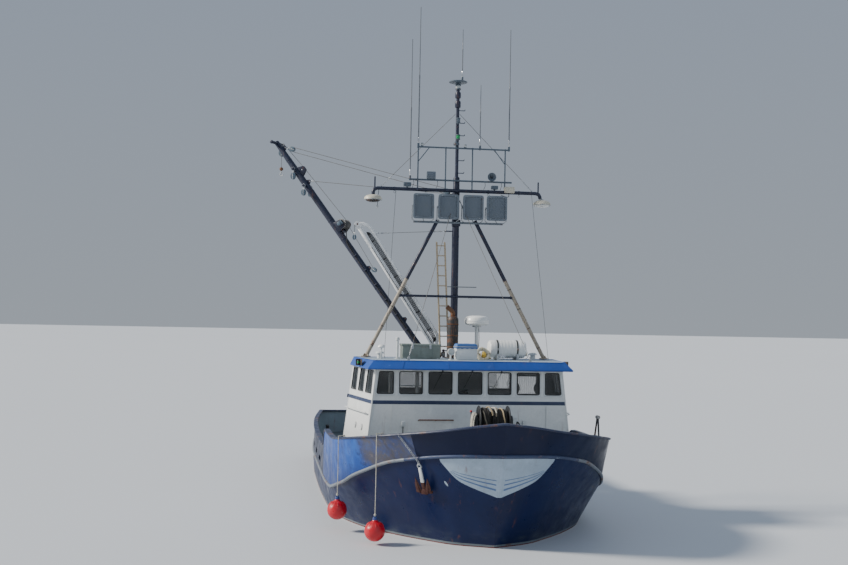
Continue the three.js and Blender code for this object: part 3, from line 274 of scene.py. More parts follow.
    def plate(self, outer, holes, place, depth, mat, bevel=0.004, back=None):
        """Flat plate with holes. place(u, v, w) gives the point at u, v in the plate's face and w into it."""
        curve = bpy.data.curves.new("tmp_plate", "CURVE")
        curve.dimensions, curve.fill_mode = "2D", "BOTH"
        curve.extrude, curve.bevel_depth, curve.bevel_resolution, curve.offset = depth / 2 - bevel, bevel, 1, -bevel
        for line in [outer] + list(holes):
            s = curve.splines.new("POLY")
            s.points.add(len(line) - 1)
            for pt, (u, v) in zip(s.points, line):
                pt.co = (u, v, 0, 1)
            s.use_cyclic_u = True
        o = bpy.data.objects.new("tmp_plate", curve)
        bpy.context.scene.collection.objects.link(o)
        dg = bpy.context.evaluated_depsgraph_get()
        mesh = bpy.data.meshes.new_from_object(o.evaluated_get(dg))
        verts = [place(v.co.x, v.co.y, v.co.z + depth / 2) for v in mesh.vertices]
        faces = [tuple(p.vertices) for p in mesh.polygons]
        self.add(verts, faces, mat)
        bpy.data.objects.remove(o)
        bpy.data.curves.remove(curve)
        bpy.data.meshes.remove(mesh)

    def bolt(self, p, direction, r, mat, h=None):
        p, d = Vector(p), Vector(direction).normalized()
        h = h or r * 0.8
        self.lathe(p, p + d, [(r * 1.35, 0), (r * 1.35, h * 0.18), (r, h * 0.2), (r, h * 0.85), (r * 0.8, h)], mat, 6)

    def done(self, body="root", replaces=(), slot=None, angle=34):
        mesh = bpy.data.meshes.new(self.name)
        mesh.from_pydata([tuple(v) for v in self.verts], [], self.faces)
        for m in self.mats:
            mesh.materials.append(m)
        mesh.polygons.foreach_set("material_index", self.index)
        bm = bmesh.new()
        bm.from_mesh(mesh)
        bmesh.ops.remove_doubles(bm, verts=bm.verts, dist=2e-5)
        bmesh.ops.recalc_face_normals(bm, faces=bm.faces)
        bm.to_mesh(mesh)
        bm.free()
        mesh.polygons.foreach_set("use_smooth", [True] * len(mesh.polygons))
        mesh.set_sharp_from_angle(angle=rad(angle))
        mesh.update()
        o = bpy.data.objects.new(self.name, mesh)
        bpy.context.scene.collection.objects.link(o)
        if body is not None:
            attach(o, body)
        if replaces:
            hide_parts(*([replaces] if isinstance(replaces, str) else replaces))
        return o


def rounded_rect(u0, u1, v0, v1, r, n=4, lean=0.0):
    """Corner rounded outline, anticlockwise; lean moves the upper left corner to the right."""
    pts = []
    for (cu, cv, a0) in ((u1 - r, v0 + r, -90), (u1 - r, v1 - r, 0), (u0 + r + lean, v1 - r, 90), (u0 + r, v0 + r, 180)):
        for i in range(n + 1):
            a = rad(a0 + 90 * i / n)
            pts.append((cu + r * math.cos(a), cv + r * math.sin(a)))
    return pts


def round_poly(corners, r, n=4):
    """Rounds every corner of a polygon."""
    out, k = [], len(corners)
    for i in range(k):
        p, a, b = (Vector((*corners[j % k], 0)) for j in (i, i - 1, i + 1))
        u, w = (a - p).normalized(), (b - p).normalized()
        half = math.acos(max(-1, min(1, u.dot(w)))) / 2
        t = min(r / math.tan(half), 0.45 * (a - p).length, 0.45 * (b - p).length)
        s, e = p + u * t, p + w * t
        for j in range(n + 1):
            q = j / n
            m = s * (1 - q) ** 2 + p * 2 * q * (1 - q) + e * q * q
            out.append((m.x, m.y))
    return out


# ------------------------------------------------------------ materials
class Shade:
    """One node material, read in object coordinates, which are the boat's own at rest."""

    def __init__(self, name, base, rough=0.5, metal=0.0, coat=0.0, spec=0.5):
        self.mat = bpy.data.materials.new(name)
        self.mat.use_nodes = True
        self.t = self.mat.node_tree
        self.t.nodes.clear()
        self.out = self.t.nodes.new("ShaderNodeOutputMaterial")
        self.p = self.t.nodes.new("ShaderNodeBsdfPrincipled")
        self.t.links.new(self.p.outputs[0], self.out.inputs[0])
        self.p.inputs["Base Color"].default_value = (*base, 1)
        self.p.inputs["Roughness"].default_value = rough
        self.p.inputs["Metallic"].default_value = metal
        self.p.inputs["Coat Weight"].default_value = coat
        self.p.inputs["Coat Roughness"].default_value = 0.2
        self.p.inputs["Specular IOR Level"].default_value = spec
        self.co = self.t.nodes.new("ShaderNodeTexCoord").outputs["Object"]
        self.color = None
        self.base = base
        self.heights = []
        c = sum(map(ord, name)) % 97
        self.seed = (c * 0.37, c * 0.73, c * 0.19)
        self.mat.diffuse_color = (*base, 1)

    def link(self, a, b):
        if hasattr(a, "is_output"):
            self.t.links.new(a, b)
        elif isinstance(a, (tuple, list)):
            b.default_value = (*a, 1) if len(a) == 3 and len(b.default_value) == 4 else a
        else:
            b.default_value = a

    def at(self, stretch=(1, 1, 1)):
        n = self.t.nodes.new("ShaderNodeMapping")
        self.t.links.new(self.co, n.inputs["Vector"])
        n.inputs["Scale"].default_value = stretch
        n.inputs["Location"].default_value = self.seed
        return n.outputs[0]

    def noise(self, scale, detail=3, rough=0.55, stretch=(1, 1, 1), distort=0.0):
        n = self.t.nodes.new("ShaderNodeTexNoise")
        self.t.links.new(self.at(stretch), n.inputs["Vector"])
        n.inputs["Scale"].default_value = scale
        n.inputs["Detail"].default_value = detail
        n.inputs["Roughness"].default_value = rough
        n.inputs["Distortion"].default_value = distort
        return n.outputs[0]

    def cells(self, scale, stretch=(1, 1, 1), feature="F1", out="Distance"):
        n = self.t.nodes.new("ShaderNodeTexVoronoi")
        n.feature = feature
        self.t.links.new(self.at(stretch), n.inputs["Vector"])
        n.inputs["Scale"].default_value = scale
        return n.outputs[out]

    def wave(self, scale, direction="Z", stretch=(1, 1, 1), distort=0.0, profile="SIN", kind="BANDS"):
        n = self.t.nodes.new("ShaderNodeTexWave")
        n.wave_type, n.wave_profile = kind, profile
        if kind == "BANDS":
            n.bands_direction = direction
        self.t.links.new(self.at(stretch), n.inputs["Vector"])
        n.inputs["Scale"].default_value = scale
        n.inputs["Distortion"].default_value = distort
        n.inputs["Detail"].default_value = 2
        return n.outputs["Fac"]

    def axis(self, which):
        n = self.t.nodes.new("ShaderNodeSeparateXYZ")
        self.t.links.new(self.co, n.inputs[0])
        return n.outputs["XYZ".index(which)]

    def facing(self, which="Z"):
        g = self.t.nodes.new("ShaderNodeNewGeometry")
        n = self.t.nodes.new("ShaderNodeSeparateXYZ")
        self.t.links.new(g.outputs["Normal"], n.inputs[0])
        return n.outputs["XYZ".index(which)]

    def math(self, op, a, b=0.0, c=0.0):
        n = self.t.nodes.new("ShaderNodeMath")
        n.operation = op
        for v, i in zip((a, b, c), n.inputs):
            self.link(v, i)
        return n.outputs[0]

    def step(self, v, lo, hi):
        """Smooth 0 to 1 as v goes from lo to hi (or 1 to 0 where hi is below lo)."""
        n = self.t.nodes.new("ShaderNodeMapRange")
        n.interpolation_type = "SMOOTHSTEP"
        self.link(v, n.inputs["Value"])
        a, b, x, y = (lo, hi, 0.0, 1.0) if lo < hi else (hi, lo, 1.0, 0.0)
        for k, w in (("From Min", a), ("From Max", b), ("To Min", x), ("To Max", y)):
            n.inputs[k].default_value = w
        return n.outputs[0]

    def times(self, *v):
        out = v[0]
        for w in v[1:]:
            out = self.math("MULTIPLY", out, w)
        return out

    def mix(self, a, b, fac, kind="MIX"):
        n = self.t.nodes.new("ShaderNodeMix")
        n.data_type, n.blend_type = "RGBA", kind
        n.clamp_factor = True
        self.link(fac, n.inputs[0])
        self.link(a, n.inputs[6])
        self.link(b, n.inputs[7])
        return n.outputs[2]

    def over(self, color, fac, kind="MIX"):
        """Lays a colour over what the surface has so far."""
        self.color = self.mix(self.color if self.color is not None else self.base, color, fac, kind)
        return self

    def blotch(self, dark, scale=0.9, amount=0.5):
        return self.over(dark, self.math("MULTIPLY", self.step(self.noise(scale, 5, 0.6), 0.38, 0.7), amount))

    def grain(self, scale=14, amount=0.25, dark=None):
        d = dark or tuple(c * 0.62 for c in self.base)
        return self.over(d, self.math("MULTIPLY", self.step(self.noise(scale, 8, 0.7), 0.4, 0.75), amount))

    def streaks(self, color, amount=0.5, scale=1.0, lo=0.56, hi=0.74, length=0.12):
        s = self.step(self.noise(7 * scale, 6, 0.62, (1, 1, length)), lo, hi)
        patches = self.step(self.noise(0.9 * scale, 3, 0.5), 0.36, 0.66)
        return self.over(color, self.times(s, patches, amount))

    def rust(self, amount=0.8, scale=2.6, lo=0.66, hi=0.72, color=(0.17, 0.055, 0.02)):
        m = self.step(self.noise(scale, 13, 0.72), lo, hi)
        halo = self.step(self.noise(scale, 13, 0.72), lo - 0.06, hi)
        self.over(tuple(0.5 * c + 0.5 * d for c, d in zip(color, (0.35, 0.18, 0.08))), self.times(halo, 0.45 * amount))
        tint = self.mix(color, tuple(c * 0.4 for c in color), self.noise(scale * 9, 5, 0.6))
        self.over(tint, self.times(m, amount))
        self.heights.append((m, -0.6 * amount))
        return self

    def rough(self, lo, hi, scale=8):
        n = self.t.nodes.new("ShaderNodeMapRange")
        self.t.links.new(self.noise(scale, 6, 0.6), n.inputs["Value"])
        n.inputs["From Min"].default_value, n.inputs["From Max"].default_value = 0.3, 0.7
        n.inputs["To Min"].default_value, n.inputs["To Max"].default_value = lo, hi
        self.t.links.new(n.outputs[0], self.p.inputs["Roughness"])
        return self

    def height(self, v, weight=1.0):
        self.heights.append((v, weight))
        return self

    def done(self, bump=0.25, distance=0.004):
        if self.color is not None:
            self.t.links.new(self.color, self.p.inputs["Base Color"])
        if self.heights and bump > 0:
            total = None
            for v, w in self.heights:
                h = self.math("MULTIPLY", v, w)
                total = h if total is None else self.math("ADD", total, h)
            b = self.t.nodes.new("ShaderNodeBump")
            b.inputs["Strength"].default_value = bump
            b.inputs["Distance"].default_value = distance
            self.t.links.new(total, b.inputs["Height"])
            self.t.links.new(b.outputs[0], self.p.inputs["Normal"])
        return self.mat


RUST = (0.20, 0.075, 0.03)
GRIME = (0.10, 0.085, 0.07)


def paint(name, base, rough=0.45, dirt=0.3, rust=0.5, rust_at=0.69, streak=0.35, scale=1.0, dark=None, coat=0.0, wear=None):
    s = Shade(name, base, rough, coat=coat)
    s.blotch(dark or tuple(c * 0.72 for c in base), 0.8 * scale, 0.55)
    s.over(tuple(min(1, c * 1.25 + 0.01) for c in base), s.times(s.step(s.noise(2.3 * scale, 6, 0.6), 0.5, 0.8), 0.5))
    s.grain(16 * scale, 0.22)
    if dirt:
        s.over(GRIME, s.times(s.step(s.noise(3.1 * scale, 9, 0.68), 0.55, 0.8), dirt))
    if streak:
        s.streaks(RUST, streak, scale)
    if wear:
        s.over(wear, s.times(s.step(s.noise(5.5 * scale, 10, 0.72), 0.6, 0.68), 0.7))
    if rust:
        s.rust(rust, 2.4 * scale, rust_at, rust_at + 0.04)
    s.rough(max(0.15, rough - 0.12), min(1, rough + 0.18), 6 * scale)
    s.height(s.noise(55, 3, 0.5), 0.35).height(s.noise(7, 3, 0.5), 0.5)
    return s.done(0.22, 0.003)


def metal(name, base, rough=0.42, metallic=0.85, rust=0.5, rust_at=0.6, grime=0.4, fine=40):
    s = Shade(name, base, rough, metallic)
    s.blotch(tuple(c * 0.6 for c in base), 2.5, 0.6)
    s.grain(fine, 0.35)
    s.over(GRIME, s.times(s.step(s.noise(4.2, 8, 0.7), 0.5, 0.75), grime))
    if rust:
        s.rust(rust, 5.0, rust_at, rust_at + 0.07)
    s.rough(max(0.15, rough - 0.15), min(1, rough + 0.25), 14)
    s.height(s.noise(80, 4, 0.6), 0.5)
    return s.done(0.25, 0.002)


NAVY_C = (0.0030, 0.0100, 0.055)
WHITE_C = (0.72, 0.73, 0.71)

M = {}


def hull_material(name, base, weathered, royal=0.0):
    """Plated steel: welded butts and seams, a little fairing waviness, scuffs and rust weeping down."""
    s = Shade(name, base, 0.38, coat=0.02, spec=0.25)
    y, z, x = s.axis("Y"), s.axis("Z"), s.axis("X")
    s.blotch(tuple(c * 0.6 for c in base), 0.55, 0.6)
    s.over(weathered, s.times(s.step(s.noise(0.7, 6, 0.62), 0.45, 0.8), 0.55))
    s.over(tuple(min(1, c * 1.5 + 0.004) for c in base), s.times(s.step(s.noise(5, 8, 0.7, (1, 1, 0.35)), 0.5, 0.85), 0.5))
    if royal:
        # painted sunlight: brighter blue high on the topside stands for the sun on the plating, and this lit copy of
        # the paint goes on the starboard side; inside it, lighter and darker streaks
        sun = s.times(s.step(z, 1.0, 1.9), royal)
        s.over((0.014, 0.082, 0.38), sun)
        painted_sun_streaks = s.step(s.noise(2.6, 10, 0.72, (1, 1, 0.45)), 0.46, 0.66)
        s.over((0.030, 0.14, 0.50), s.times(painted_sun_streaks, sun, 1.1))
        s.over((0.004, 0.016, 0.085), s.times(s.step(s.noise(2.9, 9, 0.72, (0.55, 0.55, 1)), 0.52, 0.62), sun, 1.2))
        # scuffed patch on the starboard bow, where the anchor and the dock have rubbed
        patch = s.times(s.step(y, -6.35, -6.75), s.step(z, 1.55, 1.75))
        rubbed = s.step(s.math("ADD", s.noise(3.2, 9, 0.66), s.math("MULTIPLY", s.noise(9, 6, 0.7), 0.35)), 0.48, 0.80)
        s.over((0.085, 0.080, 0.088), s.times(patch, s.math("ADD", s.math("MULTIPLY", rubbed, 0.42), 0.55)))
        s.over((0.17, 0.15, 0.14), s.times(patch, s.step(s.noise(7.5, 9, 0.74), 0.55, 0.68), 0.7))
    s.over((0.09, 0.11, 0.15), s.times(s.step(s.noise(4.5, 12, 0.74, (1, 1, 0.6)), 0.63, 0.71), 0.24))
    s.streaks(RUST, 0.5, 0.9, 0.6, 0.72, 0.07)
    s.rust(0.55, 2.2, 0.72, 0.76)
    # paler bloom and slime close to the water
    s.over((0.10, 0.125, 0.12), s.times(s.step(z, 0.45, 0.02), s.step(s.noise(2.4, 8, 0.65, (1, 1, 2.5)), 0.42, 0.75), 0.45))
    s.rough(0.24, 0.55, 3)
    plates = s.math("ABSOLUTE", s.math("SUBTRACT", s.math("FRACT", s.math("MULTIPLY", y, 1 / 1.83)), 0.5))
    weld = s.step(plates, 0.494, 0.4995)
    s.height(weld, 0.9)
    frames_ = s.wave(0.83, "Y", distort=0.6)
    s.height(s.times(frames_, s.step(z, -0.2, 0.4)), 1.6)
    s.height(s.noise(1.6, 3, 0.5), 3.0).height(s.noise(45, 3, 0.5), 0.25)
    return s.done(0.35, 0.004)


M["navy"] = hull_material("hull_navy", NAVY_C, (0.007, 0.020, 0.085))
# lit copy of the hull's dark blue: its brighter royal base and the blue laid high on the topside are painted sunlight
# on the starboard strake
M["royal"] = hull_material("hull_royal", (0.010, 0.040, 0.19), (0.016, 0.060, 0.25), 0.6)
M["band"] = hull_material("hull_band", (0.0026, 0.0075, 0.036), (0.006, 0.015, 0.060))
M["antifoul"] = paint("antifouling", (0.16, 0.035, 0.028), 0.75, dirt=0.6, rust=0.3, streak=0.2, dark=(0.06, 0.03, 0.03))
# the boot stripe is white paint; its dark grey base is painted shade, the white as it looks in shadow
M["stripe"] = paint("boot_stripe", (0.15, 0.18, 0.20), 0.5, dirt=0.6, rust=0.4, rust_at=0.6, streak=0.5)
# the flash is white paint; its blue-grey base is painted shade, the white as it looks in shade
M["flash"] = paint("bow_flash", (0.36, 0.45, 0.55), 0.45, dirt=0.35, rust=0.5, rust_at=0.66, streak=0.5, scale=1.4)
M["flash_line"] = paint("bow_flash_line", (0.10, 0.17, 0.33), 0.45, dirt=0.3, rust=0.3)
M["bulwark_inside"] = paint("bulwark_inside", (0.28, 0.34, 0.38), 0.55, dirt=0.5, rust=0.7, rust_at=0.62, streak=0.6)
M["cap"] = paint("rail_cap_paint", (0.018, 0.028, 0.07), 0.45, dirt=0.5, rust=0.8, rust_at=0.6, streak=0.5, wear=(0.15, 0.14, 0.13))
# pale guard paint darkened toward its look out of the sun: partly painted shade, with real wear and rust over it
M["guard"] = paint("guard_paint", (0.17, 0.195, 0.225), 0.5, dirt=0.6, rust=0.9, rust_at=0.58, streak=0.6, wear=(0.12, 0.10, 0.09))
M["house"] = paint("house_white", WHITE_C, 0.42, dirt=0.16, rust=0.45, rust_at=0.735, streak=0.3, coat=0.1, dark=(0.60, 0.62, 0.62))
M["house_line"] = paint("house_stripe", (0.02, 0.035, 0.09), 0.45, dirt=0.2, rust=0.3, rust_at=0.72)
M["frame_white"] = paint("frame_white", (0.66, 0.68, 0.67), 0.4, dirt=0.2, rust=0.4, rust_at=0.7, streak=0.2, scale=2)
M["visor"] = paint("visor_blue", (0.011, 0.072, 0.34), 0.5, dirt=0.22, rust=0.3, rust_at=0.73, streak=0.15, dark=(0.009, 0.054, 0.26), wear=(0.07, 0.16, 0.44))
M["roof"] = paint("roof_deck", (0.33, 0.40, 0.47), 0.7, dirt=0.55, rust=0.6, rust_at=0.66, streak=0.2)
M["mastblue"] = paint("mast_blue", (0.007, 0.012, 0.036), 0.42, dirt=0.3, rust=0.75, rust_at=0.64, streak=0.55, scale=1.6, wear=(0.05, 0.07, 0.12))
M["winch_black"] = paint("winch_black", (0.010, 0.011, 0.013), 0.5, dirt=0.3, rust=0.35, rust_at=0.72, streak=0.3, scale=3)
M["ladder"] = paint("ladder_tan", (0.46, 0.36, 0.23), 0.6, dirt=0.4, rust=0.5, rust_at=0.66, streak=0.3, scale=3)
M["masttan"] = paint("mast_tan", (0.36, 0.31, 0.24), 0.55, dirt=0.5, rust=0.8, rust_at=0.6, streak=0.6, scale=1.6)
M["black"] = paint("black_steel", (0.022, 0.022, 0.024), 0.5, dirt=0.5, rust=0.95, rust_at=0.57, streak=0.6, scale=2.2)
M["guard_bow"] = paint("guard_bow_paint", (0.035, 0.055, 0.12), 0.5, dirt=0.5, rust=0.8, rust_at=0.6, streak=0.5, wear=(0.22, 0.26, 0.31))
M["machine"] = paint("machine_grey", (0.085, 0.13, 0.17), 0.5, dirt=0.6, rust=0.8, rust_at=0.6, streak=0.5, scale=2)
M["locker"] = paint("locker_grey", (0.20, 0.235, 0.21), 0.65, dirt=0.6, rust=0.6, rust_at=0.62, streak=0.5, scale=2)
M["lamp_grey"] = paint("lamp_grey", (0.13, 0.16, 0.19), 0.45, dirt=0.4, rust=0.6, rust_at=0.63, scale=3)
M["lamp_cream"] = paint("lamp_cream", (0.55, 0.52, 0.42), 0.45, dirt=0.4, rust=0.6, rust_at=0.63, scale=3)
M["rack"] = paint("rack_grey", (0.07, 0.10, 0.13), 0.45, dirt=0.3, rust=0.7, rust_at=0.62, scale=3)
M["hatch"] = paint("hatch_grey", (0.20, 0.24, 0.26), 0.6, dirt=0.6, rust=0.7, rust_at=0.6, streak=0.5)
M["reel_green"] = paint("reel_green", (0.045, 0.15, 0.13), 0.5, dirt=0.5, rust=0.9, rust_at=0.6, streak=0.5, scale=1.5)
M["red_lamp"] = paint("port_red", (0.5, 0.02, 0.02), 0.2, dirt=0.1, rust=0, streak=0)
M["green_lamp"] = paint("stbd_green", (0.01, 0.28, 0.08), 0.2, dirt=0.1, rust=0, streak=0)
M["yellow"] = paint("weathered_yellow", (0.62, 0.44, 0.08), 0.55, dirt=0.4, rust=0, streak=0.1, scale=3)
M["orange"] = paint("weathered_orange", (0.72, 0.20, 0.03), 0.55, dirt=0.35, rust=0, streak=0.1, scale=3)

M["steel"] = metal("bare_steel", (0.36, 0.36, 0.35), 0.4, 0.9, 0.8, 0.56)
M["galv"] = metal("galvanised", (0.50, 0.52, 0.53), 0.5, 0.8, 0.4, 0.66)
M["alloy"] = metal("worn_alloy", (0.86, 0.87, 0.86), 0.48, 0.15, 0.12, 0.7, 0.22)
M["rusty"] = metal("rusty_steel", (0.17, 0.085, 0.045), 0.8, 0.2, 0.9, 0.48, 0.5)
M["rust_dark"] = metal("dark_rust", (0.070, 0.022, 0.016), 0.85, 0.05, 0.3, 0.6, 0.3)
M["rust_heavy"] = metal("heavy_rust", (0.22, 0.085, 0.035), 0.85, 0.05, 0.9, 0.45, 0.4)
M["bronze"] = metal("bronze", (0.42, 0.27, 0.09), 0.35, 0.9, 0.0, 0.6, 0.5)
M["chrome"] = metal("polished_steel", (0.72, 0.73, 0.74), 0.16, 1.0, 0.1, 0.72, 0.12)
M["wire"] = metal("wire_rope", (0.17, 0.165, 0.155), 0.6, 0.6, 0.5, 0.58)


def soft_plastic(name, base, rough=0.35, dirt=0.3, bump=0.15, scale=1.0, dark=None):
    s = Shade(name, base, rough, coat=0.1)
    s.blotch(dark or tuple(c * 0.75 for c in base), 1.7 * scale, 0.5)
    s.over(tuple(min(1, c * 1.2 + 0.02) for c in base), s.times(s.step(s.noise(4 * scale, 6, 0.6), 0.5, 0.8), 0.5))
    s.grain(24 * scale, 0.15)
    s.over(GRIME, s.times(s.step(s.noise(5 * scale, 9, 0.7), 0.52, 0.78), dirt))
    s.rough(max(0.12, rough - 0.12), rough + 0.25, 9)
    s.height(s.noise(70, 3, 0.5), 0.4)
    return s.done(bump, 0.002)


M["grp"] = soft_plastic("white_glass_fibre", (0.80, 0.80, 0.76), 0.3, 0.22)
M["grp_cream"] = soft_plastic("cream_glass_fibre", (0.66, 0.60, 0.44), 0.4, 0.3)
M["buoy"] = soft_plastic("buoy_red", (0.56, 0.006, 0.016), 0.34, 0.10, dark=(0.36, 0.004, 0.012))
M["buoy_neck"] = soft_plastic("buoy_neck", (0.03, 0.06, 0.22), 0.4, 0.3)
M["rubber"] = soft_plastic("black_rubber", (0.02, 0.02, 0.021), 0.6, 0.5)
M["gasket"] = soft_plastic("window_gasket", (0.015, 0.016, 0.018), 0.5, 0.3)
M["vinyl"] = soft_plastic("black_vinyl", (0.025, 0.025, 0.028), 0.45, 0.2)
M["screen"] = soft_plastic("screen", (0.012, 0.02, 0.028), 0.12, 0.05)
M["curtain"] = soft_plastic("curtain_cloth", (0.84, 0.85, 0.84), 0.8, 0.1)
# the curtains glow: emission that stands for sunlight on the white cloth, painted light, not a lamp
M["curtain"].node_tree.nodes["Principled BSDF"].inputs["Emission Color"].default_value = (0.82, 0.86, 0.92, 1)
M["curtain"].node_tree.nodes["Principled BSDF"].inputs["Emission Strength"].default_value = 0.38
M["blue_cover"] = soft_plastic("blue_cover", (0.07, 0.17, 0.42), 0.7, 0.35)
M["white_aerial"] = soft_plastic("white_aerial", (0.13, 0.14, 0.155), 0.4, 0.3)


def rope(name, base, twist=90):
    s = Shade(name, base, 0.85)
    s.over(tuple(c * 0.45 for c in base), s.times(s.step(s.noise(60, 4, 0.6), 0.45, 0.65), 0.6))
    s.over(GRIME, s.times(s.step(s.noise(3.5, 7, 0.7), 0.5, 0.75), 0.5))
    s.height(s.wave(twist, "DIAGONAL", distort=2.0), 1.0).height(s.noise(180, 3, 0.6), 0.5)
    return s.done(0.6, 0.004)


M["rope_tan"] = rope("rope_tan", (0.42, 0.33, 0.20))
M["rope_white"] = rope("rope_white", (0.56, 0.53, 0.45))
M["rope_worn"] = rope("rope_worn", (0.30, 0.25, 0.18))
M["rope_old"] = rope("rope_old", (0.042, 0.036, 0.030))
M["rope_blue"] = rope("rope_blue", (0.05, 0.15, 0.36))
M["rope_dark"] = rope("rope_dark", (0.05, 0.05, 0.045))


def net_material():
    s = Shade("wound_net", (0.035, 0.16, 0.13), 0.9)
    s.over((0.02, 0.07, 0.075), s.step(s.cells(38, (1, 2.2, 2.2), "DISTANCE_TO_EDGE"), 0.02, 0.10))
    s.over((0.12, 0.26, 0.16), s.times(s.step(s.noise(5, 7, 0.65, (0.6, 2, 2)), 0.5, 0.72), 0.7))
    s.over((0.26, 0.24, 0.15), s.times(s.step(s.noise(9, 7, 0.7), 0.6, 0.7), 0.5))
    s.height(s.cells(38, (1, 2.2, 2.2), "DISTANCE_TO_EDGE"), -6.0).height(s.noise(14, 6, 0.6), 2.0)
    return s.done(0.7, 0.012)


M["net"] = net_material()


def deck_material(name, base, tread=0.7):
    s = Shade(name, base, 0.8)
    s.blotch(tuple(c * 0.55 for c in base), 0.9, 0.7)
    s.over((0.30, 0.29, 0.26), s.times(s.step(s.noise(1.3, 8, 0.68), 0.52, 0.72), 0.35))
    s.grain(30, 0.45)
    s.over(GRIME, s.times(s.step(s.noise(2.4, 9, 0.7), 0.5, 0.72), 0.5))
    s.rust(0.8, 1.9, 0.66, 0.71)
    s.rough(0.6, 0.95, 5)
    s.height(s.noise(140, 3, 0.7), tread).height(s.noise(9, 4, 0.6), 0.6)
    return s.done(0.5, 0.004)


M["foredeck"] = deck_material("foredeck_paint", (0.17, 0.20, 0.21))
M["workdeck"] = deck_material("workdeck_paint", (0.13, 0.16, 0.17))


def wood_material(name, base, dark, scale=1.0):
    s = Shade(name, base, 0.45, coat=0.2)
    rings = s.noise(3.0 * scale, 6, 0.6, (0.18, 6, 6), 1.2)
    s.over(dark, s.times(s.step(rings, 0.40, 0.66), 0.85))
    s.over(tuple(c * 0.4 for c in dark), s.times(s.step(s.noise(26 * scale, 6, 0.7, (0.05, 1, 1)), 0.55, 0.72), 0.6))
    s.rough(0.35, 0.6, 8)
    s.height(rings, 0.6)
    return s.done(0.2, 0.002)


M["wood"] = wood_material("varnished_wood", (0.34, 0.17, 0.065), (0.15, 0.06, 0.022))
M["plank"] = wood_material("deck_plank", (0.24, 0.19, 0.13), (0.10, 0.08, 0.055))


def glass_material():
    s = Shade("window_glass", (0.006, 0.012, 0.016), 0.04, spec=0.7)
    s.over((0.035, 0.055, 0.065), s.times(s.step(s.noise(2.2, 5, 0.6), 0.5, 0.8), 0.35))
    s.p.inputs["Alpha"].default_value = 0.32
    s.p.inputs["Coat Weight"].default_value = 0.3
    s.p.inputs["Coat Roughness"].default_value = 0.03
    s.height(s.noise(1.1, 2, 0.5), 1.0)
    return s.done(0.03, 0.01)


M["glass"] = glass_material()


def lens_material(name, base, scale=38):
    """Ribbed lamp glass over a pale reflector."""
    s = Shade(name, base, 0.12, metal=0.25, spec=0.8, coat=0.5)
    ribs = s.wave(scale, "X")
    rows = s.wave(scale * 0.8, "Z")
    s.over(tuple(c * 0.45 for c in base), s.times(s.step(ribs, 0.3, 0.8), 0.5))
    s.over(tuple(c * 0.6 for c in base), s.times(s.step(rows, 0.4, 0.9), 0.4))
    s.over((0.10, 0.11, 0.10), s.times(s.step(s.noise(6, 7, 0.65), 0.5, 0.75), 0.35))
    s.height(ribs, 0.8).height(rows, 0.5)
    return s.done(0.3, 0.003)


M["lens"] = lens_material("lamp_lens", (0.085, 0.115, 0.15))
M["lens_clear"] = lens_material("lamp_lens_clear", (0.55, 0.58, 0.56), 55)


# ------------------------------------------------------------ hull form, millimetres in the tables
LOA, DECK, FOREDECK, BREAK_S = 17700, 850, 1800, 6600
PLATE, CAP_H = 80, 50


def fair(table):
    """Smooth monotone curve through rows of (position, value)."""
    x, y = [r[0] for r in table], [r[1] for r in table]
    n = len(x)
    d = [(y[i + 1] - y[i]) / (x[i + 1] - x[i]) for i in range(n - 1)]
    m = [d[0] if i == 0 else d[n - 2] if i == n - 1 else 0 if d[i - 1] * d[i] <= 0 else 2 * d[i - 1] * d[i] / (d[i - 1] + d[i])
         for i in range(n)]

    def value(t):
        if t <= x[0]:
            return y[0]
        if t >= x[-1]:
            return y[-1]
        i = 0
        while t > x[i + 1]:
            i += 1
        h = x[i + 1] - x[i]
        u = (t - x[i]) / h
        return (y[i] * (2 * u ** 3 - 3 * u ** 2 + 1) + m[i] * h * (u ** 3 - 2 * u ** 2 + u)
                + y[i + 1] * (-2 * u ** 3 + 3 * u ** 2) + m[i + 1] * h * (u ** 3 - u ** 2))
    return value


AFT = [0, 150, 400, 900, 1700, 2800, 4200, 6000, 9000, 12000, 15000]
